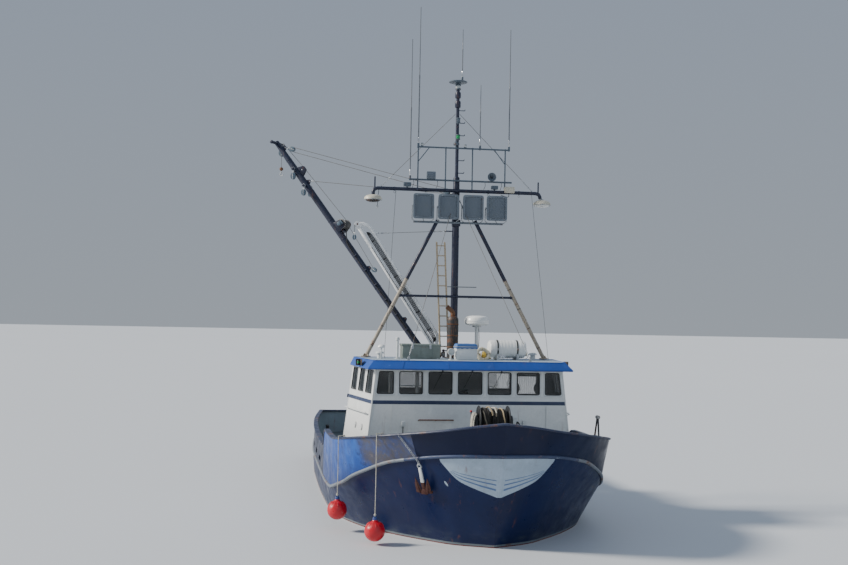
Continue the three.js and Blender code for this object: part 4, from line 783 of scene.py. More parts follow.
# level, its stem point aft of the stem head, half breadths at AFT and the transom, heights as (distance aft of the stem head, z)
LEVEL_ROWS = [
    ("keel", 2600, [50, 60, 75, 95, 110, 110, 110, 110, 110, 110, 110, 110],
     [(0, -1780), (10500, -1780), (13000, -1450), (15000, -860), (16500, -600), (17700, -430)]),
    ("floor", 2100, [50, 70, 120, 240, 450, 760, 1080, 1270, 1330, 1270, 1060, 860],
     [(0, -1550), (10000, -1550), (13000, -1250), (15000, -760), (16500, -540), (17700, -400)]),
    ("low_bilge", 1720, [50, 110, 230, 480, 900, 1450, 1980, 2280, 2380, 2300, 2000, 1700],
     [(0, -1150), (10000, -1150), (13000, -950), (15000, -640), (17700, -330)]),
    ("bilge", 1360, [50, 200, 470, 900, 1500, 2180, 2720, 2990, 3090, 3040, 2780, 2450],
     [(0, -550), (10000, -550), (13000, -500), (15000, -390), (17700, -190)]),
    ("waterline", 1100, [50, 370, 850, 1350, 2020, 2680, 3110, 3290, 3340, 3320, 3130, 2820],
     [(0, 0), (17700, 0)]),
    ("topside", 680, [50, 430, 920, 1480, 2170, 2840, 3230, 3360, 3390, 3370, 3200, 2890],
     [(0, 1000), (2600, 800), (5000, 420), (17700, 420)]),
    ("knuckle", 250, [50, 560, 1080, 1700, 2420, 3040, 3330, 3395, 3400, 3380, 3240, 2930],
     [(0, 2110), (250, 2100), (1600, 1840), (2600, 1450), (3600, 1070), (5000, 800), (7000, 755), (12000, 745), (17700, 850)]),
    ("rail", 0, [50, 700, 1230, 1880, 2580, 3150, 3360, 3400, 3400, 3380, 3250, 2940],
     [(0, 2825), (150, 2745), (400, 2650), (900, 2535), (2000, 2350), (3300, 2180), (4600, 2070), (6600, 2050), (7600, 1560), (10500, 1500), (14000, 1540), (17700, 1640)]),
]
LEVELS = [(n, stem, fair([(AFT[i] if i < len(AFT) else LOA - stem, b) for i, b in enumerate(half)]), fair(height))
          for n, stem, half, height in LEVEL_ROWS]
WATERLINE, KNUCKLE, RAIL = 4, 6, 7


def Y(s):
    return (-LOA / 2 + s) * 0.001


def level_at(i, t):
    """Point of level i at its share t of the way aft: half breadth, distance aft, height (mm)."""
    _, stem, half, height = LEVELS[i]
    u = (LOA - stem) * t
    return half(u), stem + u, height(stem + u)


def half_at(i, s):
    return LEVELS[i][2](s - LEVELS[i][1])


def z_at(i, s):
    return LEVELS[i][3](s)


def plating(s, z):
    """Half breadth of the plating at a distance aft and a height (mm)."""
    pts = [(half(s - stem), height(s)) for _, stem, half, height in LEVELS if s >= stem]
    for (b0, z0), (b1, z1) in zip(pts, pts[1:]):
        if z0 <= z <= z1:
            return b0 + (b1 - b0) * (z - z0) / (z1 - z0)
    return pts[-1][0]


def skin_half(s, z):
    """Half breadth of the skin as it is meshed, ruled between two levels at equal shares aft (mm)."""
    for i in range(len(LEVELS) - 1):
        def at(t):
            a, b = level_at(i, t), level_at(i + 1, t)
            f = (z - a[2]) / (b[2] - a[2])
            return a[1] + (b[1] - a[1]) * f, a[0] + (b[0] - a[0]) * f, f
        if not (-0.001 <= at(0.0)[2] <= 1.001 or -0.001 <= at(1.0)[2] <= 1.001) or at(0.0)[0] > s:
            continue
        lo, hi = 0.0, 1.0
        for _ in range(40):
            mid = (lo + hi) / 2
            lo, hi = (mid, hi) if at(mid)[0] < s else (lo, mid)
        q = at(lo)
        if -0.001 <= q[2] <= 1.001:
            return q[1]
    return plating(s, z)


def on_plating(s, z, side, out=0.0):
    """World point on the plating and its outward direction (metres); side is +1 port, -1 starboard."""
    b = plating(s, z)
    bs = (plating(s + 60, z) - plating(s - 60, z)) / 120
    bz = (plating(s, z + 60) - plating(s, z - 60)) / 120
    n = Vector((side, -bs, -bz)).normalized()
    return Vector((side * b * 0.001, Y(s), z * 0.001)) + n * out, n


# shares of the way aft, closer together at the bow and at the deck break
def stations():
    t = [0.0, 0.002, 0.0045, 0.008, 0.012]
    while t[-1] < 0.1:
        t.append(t[-1] + 0.0045)
    while t[-1] < 0.985:
        t.append(t[-1] + 0.0078)
    return t + [1.0]


PORTS = [8700, 10500, 12300, 14100, 15900]
STATION = stations()
for s_ in PORTS + [s + 620 for s in PORTS] + [BREAK_S]:      # put a station on each edge
    k_ = min(range(1, len(STATION) - 1), key=lambda i: abs(STATION[i] - (s_ - 0) / LOA))
    STATION[k_] = s_ / LOA
STATION.sort()


def section(t):
    """Points from the keel to the rail at one share aft, with the name of the strake above each (mm)."""
    keys = [level_at(i, t) for i in range(8)]
    rows = []
    lengths = [0]
    for a, b in zip(keys, keys[1:]):
        lengths.append(lengths[-1] + math.hypot(b[0] - a[0], b[2] - a[2]) + 1e-6)
    bc = fair(list(zip(lengths[:5], [k[0] for k in keys[:5]])))     # rounded below the waterline
    zc = fair(list(zip(lengths[:5], [k[2] for k in keys[:5]])))
    sc = fair(list(zip(lengths[:5], [-k[1] for k in keys[:5]])))
    for i in range(4):
        for j in range(4):
            q = lengths[i] + (lengths[i + 1] - lengths[i]) * j / 4
            rows.append((bc(q), -sc(q), zc(q), "antifoul"))

    def between(a, b, f, strake):
        rows.append(tuple(a[k] + (b[k] - a[k]) * f for k in range(3)) + (strake,))
    wl, top, kn, rail = keys[4:8]
    f = 70 / (top[2] - wl[2])
    rows.append((*wl, "antifoul"))
    between(wl, top, f * 0.35, "stripe")
    for g in (f, f + (1 - f) / 3, f + 2 * (1 - f) / 3):
        between(wl, top, g, "navy")
    for g in (0, 0.25, 0.5, 0.75):
        between(top, kn, g, "navy")
    z0, z1 = (DECK + 60 - kn[2]) / (rail[2] - kn[2]), (DECK + 210 - kn[2]) / (rail[2] - kn[2])
    if kn[1] < 8200 or z0 < 0.02:
        z0, z1 = 0.25, 0.5
    between(kn, rail, 0, "band")
    between(kn, rail, z0, "port")
    between(kn, rail, z1, "band")
    between(kn, rail, (1 + z1) / 2, "band")
    rows.append((rail[0], rail[1], rail[2] - CAP_H * 0.5, "end"))
    return rows


def make_hull():
    B = Build("hull_shell")
    secs = [section(t) for t in STATION]
    n = len(secs[0])
    for side in (1, -1):
        pts = [Vector((side * b * 0.001, Y(s), z * 0.001)) for sec in secs for b, s, z, _ in sec]
        # plating thickness seen through the freeing ports and at the rail
        inner = []
        for k, sec in enumerate(secs):
            a, c = secs[max(0, k - 1)], secs[min(len(secs) - 1, k + 1)]
            for j, (b, s, z, _) in enumerate(sec):
                dx, dy = c[j][0] - a[j][0], c[j][1] - a[j][1]
                d = math.hypot(dx, dy) or 1
                inner.append(Vector((side * max(b - PLATE * dy / d, 20) * 0.001, Y(min(s + PLATE * dx / d, LOA - PLATE)), z * 0.001)))
        by = {}
        port_row = [j for j in range(n) if secs[0][j][3] == "port"][0]
        low_row = port_row - 1
        for k in range(len(secs) - 1):
            s_mid = (secs[k][port_row][1] + secs[k + 1][port_row][1]) / 2
            is_port = any(s - 4 <= s_mid <= s + 624 for s in PORTS)
            for j in range(n - 1):
                strake = secs[k][j][3]
                if strake == "port" and is_port:
                    continue
                # on the starboard side, from 1.08 m to 7.2 m aft, the upper strake takes the lit copy of the paint,
                # painted sunlight; elsewhere it takes the band's dark blue
                if strake in ("band", "port"):
                    strake = "royal" if side < 0 and 1080 < s_mid < 7200 else "band"
                q = (k * n + j, (k + 1) * n + j, (k + 1) * n + j + 1, k * n + j + 1)
                by.setdefault(strake, []).append(q if side > 0 else tuple(reversed(q)))
        for strake, fs in by.items():
            used = sorted({i for f in fs for i in f})
            at = {v: i for i, v in enumerate(used)}
            B.add([pts[i] for i in used], [tuple(at[i] for i in f) for f in fs], M[strake])
        # inside of the bulwark, from just under the deck to the rail
        fs = []
        for k in range(len(secs) - 1):
            s_mid = (secs[k][port_row][1] + secs[k + 1][port_row][1]) / 2
            is_port = any(s - 4 <= s_mid <= s + 624 for s in PORTS)
            deck = FOREDECK if s_mid < BREAK_S else DECK
            for j in range(low_row - 4, n - 1):
                if secs[k][j + 1][2] < deck - 40 and secs[k + 1][j + 1][2] < deck - 40:
                    continue
                if secs[k][j][3] == "port" and is_port:
                    continue
                q = (k * n + j, k * n + j + 1, (k + 1) * n + j + 1, (k + 1) * n + j)
                fs.append(q if side > 0 else tuple(reversed(q)))
        used = sorted({i for f in fs for i in f})
        at = {v: i for i, v in enumerate(used)}
        B.add([inner[i] for i in used], [tuple(at[i] for i in f) for f in fs], M["bulwark_inside"])
        # edges of the freeing ports
        for s in PORTS:
            ks = [k for k in range(len(secs)) if s - 30 <= secs[k][port_row][1] <= s + 650 and
                  any(s - 4 <= (secs[k][port_row][1] + secs[m][port_row][1]) / 2 <= s + 624 for m in (max(0, k - 1), min(len(secs) - 1, k + 1)))]
            k0, k1 = ks[0], ks[-1]
            loop = [(k, port_row) for k in range(k0, k1 + 1)] + [(k, port_row + 1) for k in range(k1, k0 - 1, -1)]
            vo = [pts[k * n + j] for k, j in loop]
            vi = [inner[k * n + j] for k, j in loop]
            m = len(loop)
            B.add(vo + vi, [(i, (i + 1) % m, m + (i + 1) % m, m + i) for i in range(m)], M["band"])
            # two guard bars across the port
            a, c = pts[k0 * n + port_row], pts[k1 * n + port_row]
            for f in (0.33, 0.66):
                lo, hi = a.lerp(c, f), (pts[k0 * n + port_row + 1]).lerp(pts[k1 * n + port_row + 1], f)
                lo, hi = lo - Vector((side * 0.04, 0, 0.005)), hi - Vector((side * 0.04, 0, -0.005))
                B.cyl(lo, hi, 0.008, M["steel"], sides=8)
    # stem bar, transom, underside of the keel row
    stem_p = [Vector((b * 0.001, Y(s), z * 0.001)) for b, s, z, _ in secs[0]]
    stem_s = [Vector((-p.x, p.y, p.z)) for p in stem_p]
    rows = len(stem_p)
    tip = [Vector((0, p.y - 0.022, p.z)) for p in stem_p]
    for j in range(rows - 1):
        strake = secs[0][j][3]
        strake = "band" if strake in ("band", "port") else strake
        B.add([stem_p[j], stem_p[j + 1], tip[j + 1], tip[j]], [(0, 1, 2, 3)], M[strake])
        B.add([stem_s[j], stem_s[j + 1], tip[j + 1], tip[j]], [(3, 2, 1, 0)], M[strake])
    last = [Vector((b * 0.001, Y(s), z * 0.001)) for b, s, z, _ in secs[-1]]
    cols = 10
    for j in range(n - 1):
        strake = secs[-1][j][3]
        strake = "band" if strake in ("band", "port") else strake
        a, c = last[j], last[j + 1]
        row0 = [Vector((a.x * (1 - 2 * i / cols), a.y, a.z)) for i in range(cols + 1)]
        row1 = [Vector((c.x * (1 - 2 * i / cols), c.y, c.z)) for i in range(cols + 1)]
        B.add(row0 + row1, [(i, i + 1, cols + 1 + i + 1, cols + 1 + i) for i in range(cols)], M[strake])
    # inside of the transom
    top_in = [Vector((x, Y(LOA - PLATE), z)) for x, z in ((-2.86, 0.8), (2.86, 0.8), (2.88, 1.62), (-2.88, 1.62))]
    B.add(top_in, [(0, 1, 2, 3)], M["bulwark_inside"])
    keel_pts = [[Vector((sd * sec[0][0] * 0.001, Y(sec[0][1]), sec[0][2] * 0.001)) for sd in (1, -1)] for sec in secs]
    kv = [p for pair in keel_pts for p in pair]
    B.add(kv, [(2 * i, 2 * i + 1, 2 * i + 3, 2 * i + 2) for i in range(len(keel_pts) - 1)], M["antifoul"])

    # decks
    def deck(s0, s1, z, mat, steps, camber):
        across = 12
        v, f = [], []
        for i in range(steps + 1):
            s = s0 + (s1 - s0) * i / steps
            b = max(skin_half(s, z) - PLATE * 0.6, 30) * 0.001
            for j in range(across + 1):
                x = b * (1 - 2 * j / across)
                v.append(Vector((x, Y(s), z * 0.001 - camber * (x / 3.3) ** 2)))
        for i in range(steps):
            for j in range(across):
                a = i * (across + 1) + j
                f.append((a, a + 1, a + across + 2, a + across + 1))
        B.add(v, f, mat)
    deck(420, BREAK_S, FOREDECK, M["foredeck"], 40, 0.0)
    deck(BREAK_S, LOA - PLATE, DECK, M["workdeck"], 60, 0.0)
    # bulkhead at the break of the deck
    b0, b1 = plating(BREAK_S, DECK) * 0.001 - 0.05, plating(BREAK_S, FOREDECK) * 0.001 - 0.05
    y = Y(BREAK_S)
    B.add([Vector(p) for p in ((-b0, y, 0.85), (b0, y, 0.85), (b1, y, 1.8), (-b1, y, 1.8))], [(0, 1, 2, 3)], M["house"])
    # forward face of the raised bulwark's end
    for sd in (1, -1):
        B.add([Vector((sd * p[0], p[1], p[2])) for p in ((3.40, y, 1.55), (3.32, y, 1.55), (3.32, y, 2.05), (3.40, y, 2.05))], [(0, 1, 2, 3)], M["band"])

    # bar keel, shaft boss and skeg
    K = [(2450, -1500), (2750, -2000), (3500, -2350), (16900, -2350), (16900, -2170), (14400, -2170), (14400, -900), (12500, -1100), (5000, -1300)]
    B.prism([(Y(s), z * 0.001) for s, z in K], "x", -0.11, 0.11, M["antifoul"], 0.02)
    B.lathe((0, Y(13500), -1.53), (0, Y(14400), -1.53), [(0.06, 0), (0.128, 0.25), (0.13, 0.82), (0.115, 0.9), (0.066, 0.9), (0.066, 0.7), (0, 0.7)], M["antifoul"], 28)
    B.lathe((0, Y(16050), -0.60), (0, Y(16050), -0.42), [(0.085, -0.07), (0.12, 0.0), (0.12, 0.1), (0.09, 0.17)], M["antifoul"], 24)
    # bilge keels and sacrificial anodes
    for sd in (1, -1):
        pts = []
        for k in range(15):
            s = 6200 + k * 400
            p, nrm = on_plating(s, -760, sd)
            pts.append((p, nrm))
        v = []
        for k, (p, nrm) in enumerate(pts):
            d = 0.16 * math.sin(PI * (0.06 + 0.88 * k / 14)) ** 0.5
            v += [p - nrm * 0.02 + Vector((0, 0, 0.01)), p + nrm * d + Vector((0, 0, 0.004)), p + nrm * d - Vector((0, 0, 0.004)), p - nrm * 0.02 - Vector((0, 0, 0.01))]
        f = []
        for k in range(14):
            a, c = 4 * k, 4 * k + 4
            f += [(a + j, a + (j + 1) % 4, c + (j + 1) % 4, c + j) for j in range(4)]
        B.add(v, f + [(3, 2, 1, 0), (56, 57, 58, 59)], M["antifoul"])
        for s, z in ((7000, -1250), (10200, -1250), (13600, -780), (15200, -420)):
            p, nrm = on_plating(s, z, sd)
            B.box(p.x - 0.03 if sd > 0 else p.x - 0.035, p.x + 0.035 if sd > 0 else p.x + 0.03, p.y - 0.15, p.y + 0.15, p.z - 0.05, p.z + 0.03, M["galv"], 0.015)
    return B.done("root", ("hull", "bulwark_bow", "bulwark_stbd", "bulwark_port", "bulwark_stern"), "hull_paint", angle=38)


hull_shell = make_hull()


# ------------------------------------------------------------ rail cap, guard strip and bow flash
def rail_path(level, lift, aft_cut=0.0, step=1):
    side = []
    for t in STATION[::step] + ([] if (len(STATION) - 1) % step == 0 else [1.0]):
        b, s, z = level_at(level, t)
        side.append(Vector((b * 0.001, Y(min(s, LOA - aft_cut)), z * 0.001 + lift)))
    port = list(reversed(side))
    stbd = [Vector((-p.x, p.y, p.z)) for p in side]
    return port, stbd


def make_rails():
    B = Build("rail_cap_shell")
    port, stbd = rail_path(RAIL, 0.0)
    out = []
    for i in range(5):                                  # round outer edge
        a = rad(-90 - 180 * i / 4)
        out.append((-0.004 + 0.024 * math.cos(a), -0.026 + 0.024 * math.sin(a)))
    profile = [(0.112, -0.050), (0.004, -0.050)] + out[1:4] + [(0.004, -0.001), (0.112, -0.001), (0.119, -0.010), (0.119, -0.042)]
    B.sweep(port + stbd, profile, M["cap"], closed=True)
    # stiffening brackets under the cap, along the inside of the bulwark
    for sd in (1, -1):
        for k in range(19):
            s = 7150 + k * 560
            if s > 17200:
                break
            zr, dk = z_at(RAIL, s) * 0.001 - 0.052, DECK * 0.001
            xr, xd = half_at(RAIL, s) * 0.001 - 0.082, plating(s, DECK) * 0.001 - 0.082
            y = Y(s)
            B.prism([(sd * xr, zr), (sd * (xr - 0.075), zr), (sd * (xd - 0.19), dk + 0.002), (sd * xd, dk + 0.002)][::sd], "y", y - 0.006, y + 0.006, M["bulwark_inside"], 0.0015, 1)
        for k in range(9):
            s = 1500 + k * 620
            zr, dk = z_at(RAIL, s) * 0.001 - 0.052, FOREDECK * 0.001
            if zr < dk + 0.1:
                continue
            xr, xd = half_at(RAIL, s) * 0.001 - 0.082, plating(s, FOREDECK) * 0.001 - 0.09
            y = Y(s)
            B.prism([(sd * xr, zr), (sd * (xr - 0.06), zr), (sd * (xd - 0.12), dk + 0.002), (sd * xd, dk + 0.002)][::sd], "y", y - 0.006, y + 0.006, M["bulwark_inside"], 0.0015, 1)
    return B.done("root", ("rail_cap_bow", "rail_cap_aft"), "dark_trim", angle=30)


make_rails()


def make_guard():
    B = Build("rub_guard_shell")
    port, stbd = rail_path(KNUCKLE, 0.0, 25)
    prof = [(0.006, -0.040)] + [(-0.006 - 0.038 * math.cos(rad(a)), 0.039 * math.sin(rad(a))) for a in (-80, -60, -35, -10, 10, 35, 60, 80)] + [(0.006, 0.040)]
    k = next(i for i, p in enumerate(stbd) if p.y > Y(1350))
    B.sweep(port[:len(port) - k], prof, M["guard"])
    B.sweep(port[len(port) - k - 1:] + stbd[:k + 1], prof, M["guard_bow"])
    B.sweep(stbd[k:], prof, M["guard"])
    return B.done("root", "rub_guard", "guard_steel", angle=30)


make_guard()


def strake_point(t, f, side, out=0.0):
    """Point between the topside and the knuckle: t is the share aft, f the share up."""
    def raw(t_, f_):
        a, b = level_at(5, max(t_, 0)), level_at(6, max(t_, 0))
        return Vector((side * (a[0] + (b[0] - a[0]) * f_) * 0.001, Y(a[1] + (b[1] - a[1]) * f_), (a[2] + (b[2] - a[2]) * f_) * 0.001))
    p = raw(t, f)
    u = raw(t + 0.0015, f) - p
    w = raw(t, f + 0.02) - p
    n = (w.cross(u) if side > 0 else u.cross(w)).normalized()
    if n.x * side < 0:
        n = -n
    return p + n * out


def make_flash():
    B = Build("bow_flash")
    bottom = fair([(0, 0.20), (0.42, 0.345), (0.74, 0.50), (1.0, 0.90)])
    t_low = fair([(0, 0.0), (0.42, 0.0085), (0.74, 0.0175), (1.0, 0.0305)])
    t_top = fair([(0, 0.0), (0.5, 0.0155), (1.0, 0.0312)])

    def patch(u0, u1, lo, hi, mat, out, cols=26, rows=8, side=1):
        v, f = [], []
        for i in range(cols + 1):
            u = u0 + (u1 - u0) * i / cols
            for j in range(rows + 1):
                q = lo(u) + (hi(u) - lo(u)) * j / rows
                t = t_low(u) + (t_top(u) - t_low(u)) * q
                fr = bottom(u) + (0.958 - bottom(u)) * q
                v.append(strake_point(t, fr, side, out))
        for i in range(cols):
            for j in range(rows):
                a = i * (rows + 1) + j
                f.append((a, a + rows + 1, a + rows + 2, a + 1))
        B.add(v, f, mat)
    for side in (1, -1):
        # the flash paint here is white darkened to blue-grey, painted shade
        patch(0, 1, lambda u: 0, lambda u: 1, M["flash"], 0.0035, 40, 14, side)
        # three plain chevron bands that follow the lower edge, wide to narrow
        for k, w in ((0.16, 0.05), (0.30, 0.035), (0.42, 0.02)):
            patch(0.03, 0.90 - 0.25 * k, lambda u, k=k: k, lambda u, k=k, w=w: k + w, M["flash_line"], 0.0055, 30, 2, side)
    # the stem between the two halves
    v = []
    for i in range(13):
        f = 0.20 + (0.958 - 0.20) * i / 12
        a, b = level_at(5, 0), level_at(6, 0)
        y = Y(a[1] + (b[1] - a[1]) * f)
        z = (a[2] + (b[2] - a[2]) * f) * 0.001
        v += [Vector((0.0535, y, z)), Vector((0, y - 0.0262, z)), Vector((-0.0535, y, z))]
    B.add(v, [q for i in range(12) for q in ((3 * i, 3 * i + 1, 3 * i + 4, 3 * i + 3), (3 * i + 1, 3 * i + 2, 3 * i + 5, 3 * i + 4))], M["flash"])
    return B.done("root", (), "guard_steel", angle=50)


make_flash()


# ------------------------------------------------------------ anchor and its wear streak
def make_anchor():
    s, z = 1270, 1480
    b = plating(s, z)
    bs = plating(s + 100, z) - plating(s - 100, z)
    bz = plating(s, z + 100) - plating(s, z - 100)
    n = Vector((-1, -bs / 200, -bz / 200)).normalized()
    up = (Vector((0, 0, 1)) - n * n.z).normalized()
    side = up.cross(n).normalized()
    pos = Vector((-b * 0.001, Y(s), z * 0.001)) + n * 0.078
    m = Matrix(((side.x, -n.x, up.x, pos.x), (side.y, -n.y, up.y, pos.y), (side.z, -n.z, up.z, pos.z), (0, 0, 0, 1)))
    B = Build("anchor_detail").push(m)
    # shank tapers to a forged eye, painted pale; the flukes are rusty
    B.hexa([(-0.042, -0.026, -0.25), (0.042, -0.026, -0.25), (0.042, 0.022, -0.25), (-0.042, 0.022, -0.25)],
           [(-0.039, -0.024, -0.02), (0.039, -0.024, -0.02), (0.039, 0.020, -0.02), (-0.039, 0.020, -0.02)], M["rust_dark"], 0.004)
    B.hexa([(-0.040, -0.026, -0.03), (0.040, -0.026, -0.03), (0.040, 0.021, -0.03), (-0.040, 0.021, -0.03)],
           [(-0.031, -0.020, 0.33), (0.031, -0.020, 0.33), (0.031, 0.016, 0.33), (-0.031, 0.016, 0.33)], M["frame_white"], 0.006)
    B.torus((0, -0.002, 0.365), (0, 1, 0), 0.043, 0.017, M["galv"], 28, 10)
    B.cyl((-0.20, -0.002, -0.255), (0.20, -0.002, -0.255), 0.036, M["rust_dark"], sides=18, bevel=0.01)
    B.hexa([(-0.085, -0.042, -0.315), (0.085, -0.042, -0.315), (0.085, 0.03, -0.315), (-0.085, 0.03, -0.315)],
           [(-0.05, -0.036, -0.19), (0.05, -0.036, -0.19), (0.05, 0.026, -0.19), (-0.05, 0.026, -0.19)], M["rust_dark"], 0.01)
    for k in (-1, 1):
        base = [(k * 0.055, -0.30), (k * 0.185, -0.27), (k * 0.195, -0.12), (k * 0.155, 0.10), (k * 0.125, 0.02), (k * 0.06, -0.16)]
        B.prism(base[::k], "y", -0.036, -0.020, M["rust_dark"], 0.005)
        B.hexa([(k * 0.10 - 0.012, -0.050, -0.28), (k * 0.10 + 0.012, -0.050, -0.28), (k * 0.10 + 0.012, -0.030, -0.28), (k * 0.10 - 0.012, -0.030, -0.28)],
               [(k * 0.145 - 0.006, -0.040, 0.03), (k * 0.145 + 0.006, -0.040, 0.03), (k * 0.145 + 0.006, -0.030, 0.03), (k * 0.145 - 0.006, -0.030, 0.03)], M["rust_dark"], 0.004)
    # shackle and short chain up to the roller
    B.torus((0, 0.0, 0.425), (1, 0, 0), 0.032, 0.010, M["galv"], 24, 8)
    B.pop()
    eye = m @ Vector((0, 0, 0.46))
    top = Vector((-(half_at(RAIL, 1150) + 45) * 0.001, Y(1150), z_at(RAIL, 1150) * 0.001 + 0.02))
    links = 12
    for i in range(links):
        c = eye.lerp(top, (i + 0.5) / links)
        d = (top - eye).normalized()
        sidev = d.orthogonal().normalized()
        if i % 2:
            sidev = d.cross(sidev)
        pts = []
        L, W = 0.034, 0.019
        for a in range(14):
            t = 2 * PI * a / 14
            pts.append(c + d * (L * math.copysign(abs(math.cos(t)) ** 0.7, math.cos(t))) + sidev * (W * math.copysign(abs(math.sin(t)) ** 0.7, math.sin(t))))
        B.tube(pts, 0.0065, M["galv"], 6, closed=True)
    o = B.done("root", "anchor", "rusty_steel")
    # pale chafe mark beside the anchor, in the flash's white darkened as painted shade
    B = Build("anchor_chafe")
    a, c = (0.0285, 0.50), (0.0265, 0.40)
    v, f = [], []
    for i in range(9):
        q = i / 8
        t, fr = a[0] + (c[0] - a[0]) * q, a[1] + (c[1] - a[1]) * q
        w = 0.0009 * math.sin(PI * (0.12 + 0.76 * q)) + 0.0002
        v += [strake_point(t - w, fr, -1, 0.003), strake_point(t + w, fr + 0.015, -1, 0.003)]
    B.add(v, [(2 * i, 2 * i + 1, 2 * i + 3, 2 * i + 2) for i in range(8)], M["flash"])
    B.done("root", (), "guard_steel")
    return o


make_anchor()


# ------------------------------------------------------------ buoy fenders
def make_fender(name, s, z):
    B = Build(name + "_buoy")
    r, x, y = 0.23, -(half_at(RAIL, s) + 55) * 0.001, Y(s)
    zc, top = z * 0.001, z_at(RAIL, s) * 0.001 + 0.012
    prof = [(0, -0.228), (0.035, -0.226)]
    prof += [(r * math.sin(a), -r * math.cos(a)) for a in (rad(12 + 10.6 * i) for i in range(15))]
    prof = [p for p in prof if p[1] < 0.19] + [(0.105, 0.198), (0.075, 0.213), (0.058, 0.232), (0.05, 0.25)]
    B.lathe((x, y, zc), (x, y, zc + 1), prof, M["buoy"], 40)
    B.lathe((x, y, zc), (x, y, zc + 1), [(0.0, 0.24), (0.055, 0.245), (0.052, 0.285), (0.04, 0.30), (0, 0.302)], M["buoy_neck"], 28)
    B.torus((x, y, zc + 0.315), (0, 1, 0), 0.026, 0.012, M["buoy_neck"], 22, 8)
    for i in range(16):                                  # moulding ribs round the shoulder
        a = 2 * PI * i / 16
        d = Vector((math.cos(a), math.sin(a), 0))
        pts = [Vector((x, y, zc)) + d * (r * math.sin(rad(q)) + 0.001) - Vector((0, 0, r * math.cos(rad(q)))) for q in (118, 128, 138, 146)]
        B.tube(pts, 0.0045, M["buoy"], 6)
    # rope: knot, drop, over the cap and round a turn
    e = Vector((x, y, zc + 0.33))
    B.sphere(e + Vector((0, 0, 0.02)), 0.030, M["rope_white"], 14, 10, (1, 0.8, 1.1))
    inx = -(half_at(RAIL, s) - 95) * 0.001
    B.tube([e, (x + 0.004, y + 0.004, (e.z + top) / 2), (x, y, top - 0.05), (x + 0.012, y, top + 0.006), (x + 0.07, y, top + 0.014), (inx, y, top + 0.008), (inx + 0.02, y, top - 0.12)],
           0.0095, M["rope_white"], 8, smooth=40)
    B.torus((inx - 0.02, y + 0.004, top + 0.010), (0.1, 1, 0), 0.022, 0.008, M["rope_white"], 18, 7)
    return B.done("root", name, "buoy_red")


make_fender("fender_fwd", 1600, 300)
make_fender("fender_aft", 3200, 500)


# ------------------------------------------------------------ wheelhouse
TAPER = (2950 - 2560) / (6450 - 4100)
LEAN_IN = (2950 - 2717) / 2000
Z0, Z1 = 1.8, 3.8
SILL, HEAD = 3.15, 3.69


def front_y(z):
    return Y(4100 + 0.04 * (z * 1000 - 1800))


def front_half(z):
    return 2.56 - 0.10986 * (z - 1.8)


def side_x(s, z):
    """Outside of the side wall; s and z in metres."""
    return 2.56 + TAPER * (s - 4.1) - LEAN_IN * (z - 1.8)


def front_place(u, v, w):
    return Vector((u, front_y(v) + w, v))


def side_place(side):
    return lambda u, v, w: Vector((side * (side_x(u, v) - w), Y(u * 1000), v))


def back_place(u, v, w):
    return Vector((u, Y(6450) - w, v))


SIDE_N = Vector((1, -TAPER, LEAN_IN)).normalized()
FRONT_N = Vector((0, -1, 0.04)).normalized()
FRONT_WINDOWS = [(-2110, 205, 62), (-1471, 285, 0), (-742, 290, 0), (0, 298, 0), (742, 290, 0), (1471, 285, 0), (2110, 205, 62)]


def front_window(x, w, lean, grow=0.0):
    s = 1 if x >= 0 else -1
    x, w, lean = x * 0.001, w * 0.001, lean * 0.001
    pts = [(x - s * (w + grow), SILL - grow), (x + s * (w + grow), SILL - grow), (x + s * (w + grow - lean), HEAD + grow), (x - s * (w + grow), HEAD + grow)]
    return round_poly(pts if s > 0 else pts[::-1], 0.05, 4)


def side_window(a, b, grow=0.0, lean=0.06):
    return round_poly([(a - grow, SILL - grow), (b + grow, SILL - grow), (b + grow, HEAD + grow), (a + lean - grow, HEAD + grow)], 0.05, 4)


def gasket(B, outline, place, normal, out=0.004, width=0.016, mat="gasket"):
    pts = [place(u, v, 0) for u, v in outline]
    prof = [(-width, -0.004), (-width, out), (-width * 0.5, out + 0.004), (width * 0.4, out + 0.003), (width * 0.6, -0.02), (-width * 0.2, -0.02)]
    B.sweep(pts, prof, M[mat], up=normal, closed=True)


def pane(B, outline, place, depth=0.028, thick=0.006):
    B.plate(outline, [], lambda u, v, w: place(u, v, w + depth), thick, M["glass"], 0.001)


def wiper(B, p, tip, normal):
    p, tip, n = Vector(p), Vector(tip), Vector(normal)
    B.cyl(p - n * 0.002, p + n * 0.035, 0.018, M["gasket"], sides=14)
    B.tube([p + n * 0.03, p.lerp(tip, 0.5) + n * 0.035, tip + n * 0.02], 0.006, M["gasket"], 8, smooth=6)
    along = (tip - p).normalized()
    B.tube([tip + n * 0.014 - along * 0.02, tip + n * 0.014 + along * 0.19], 0.005, M["rubber"], 6)


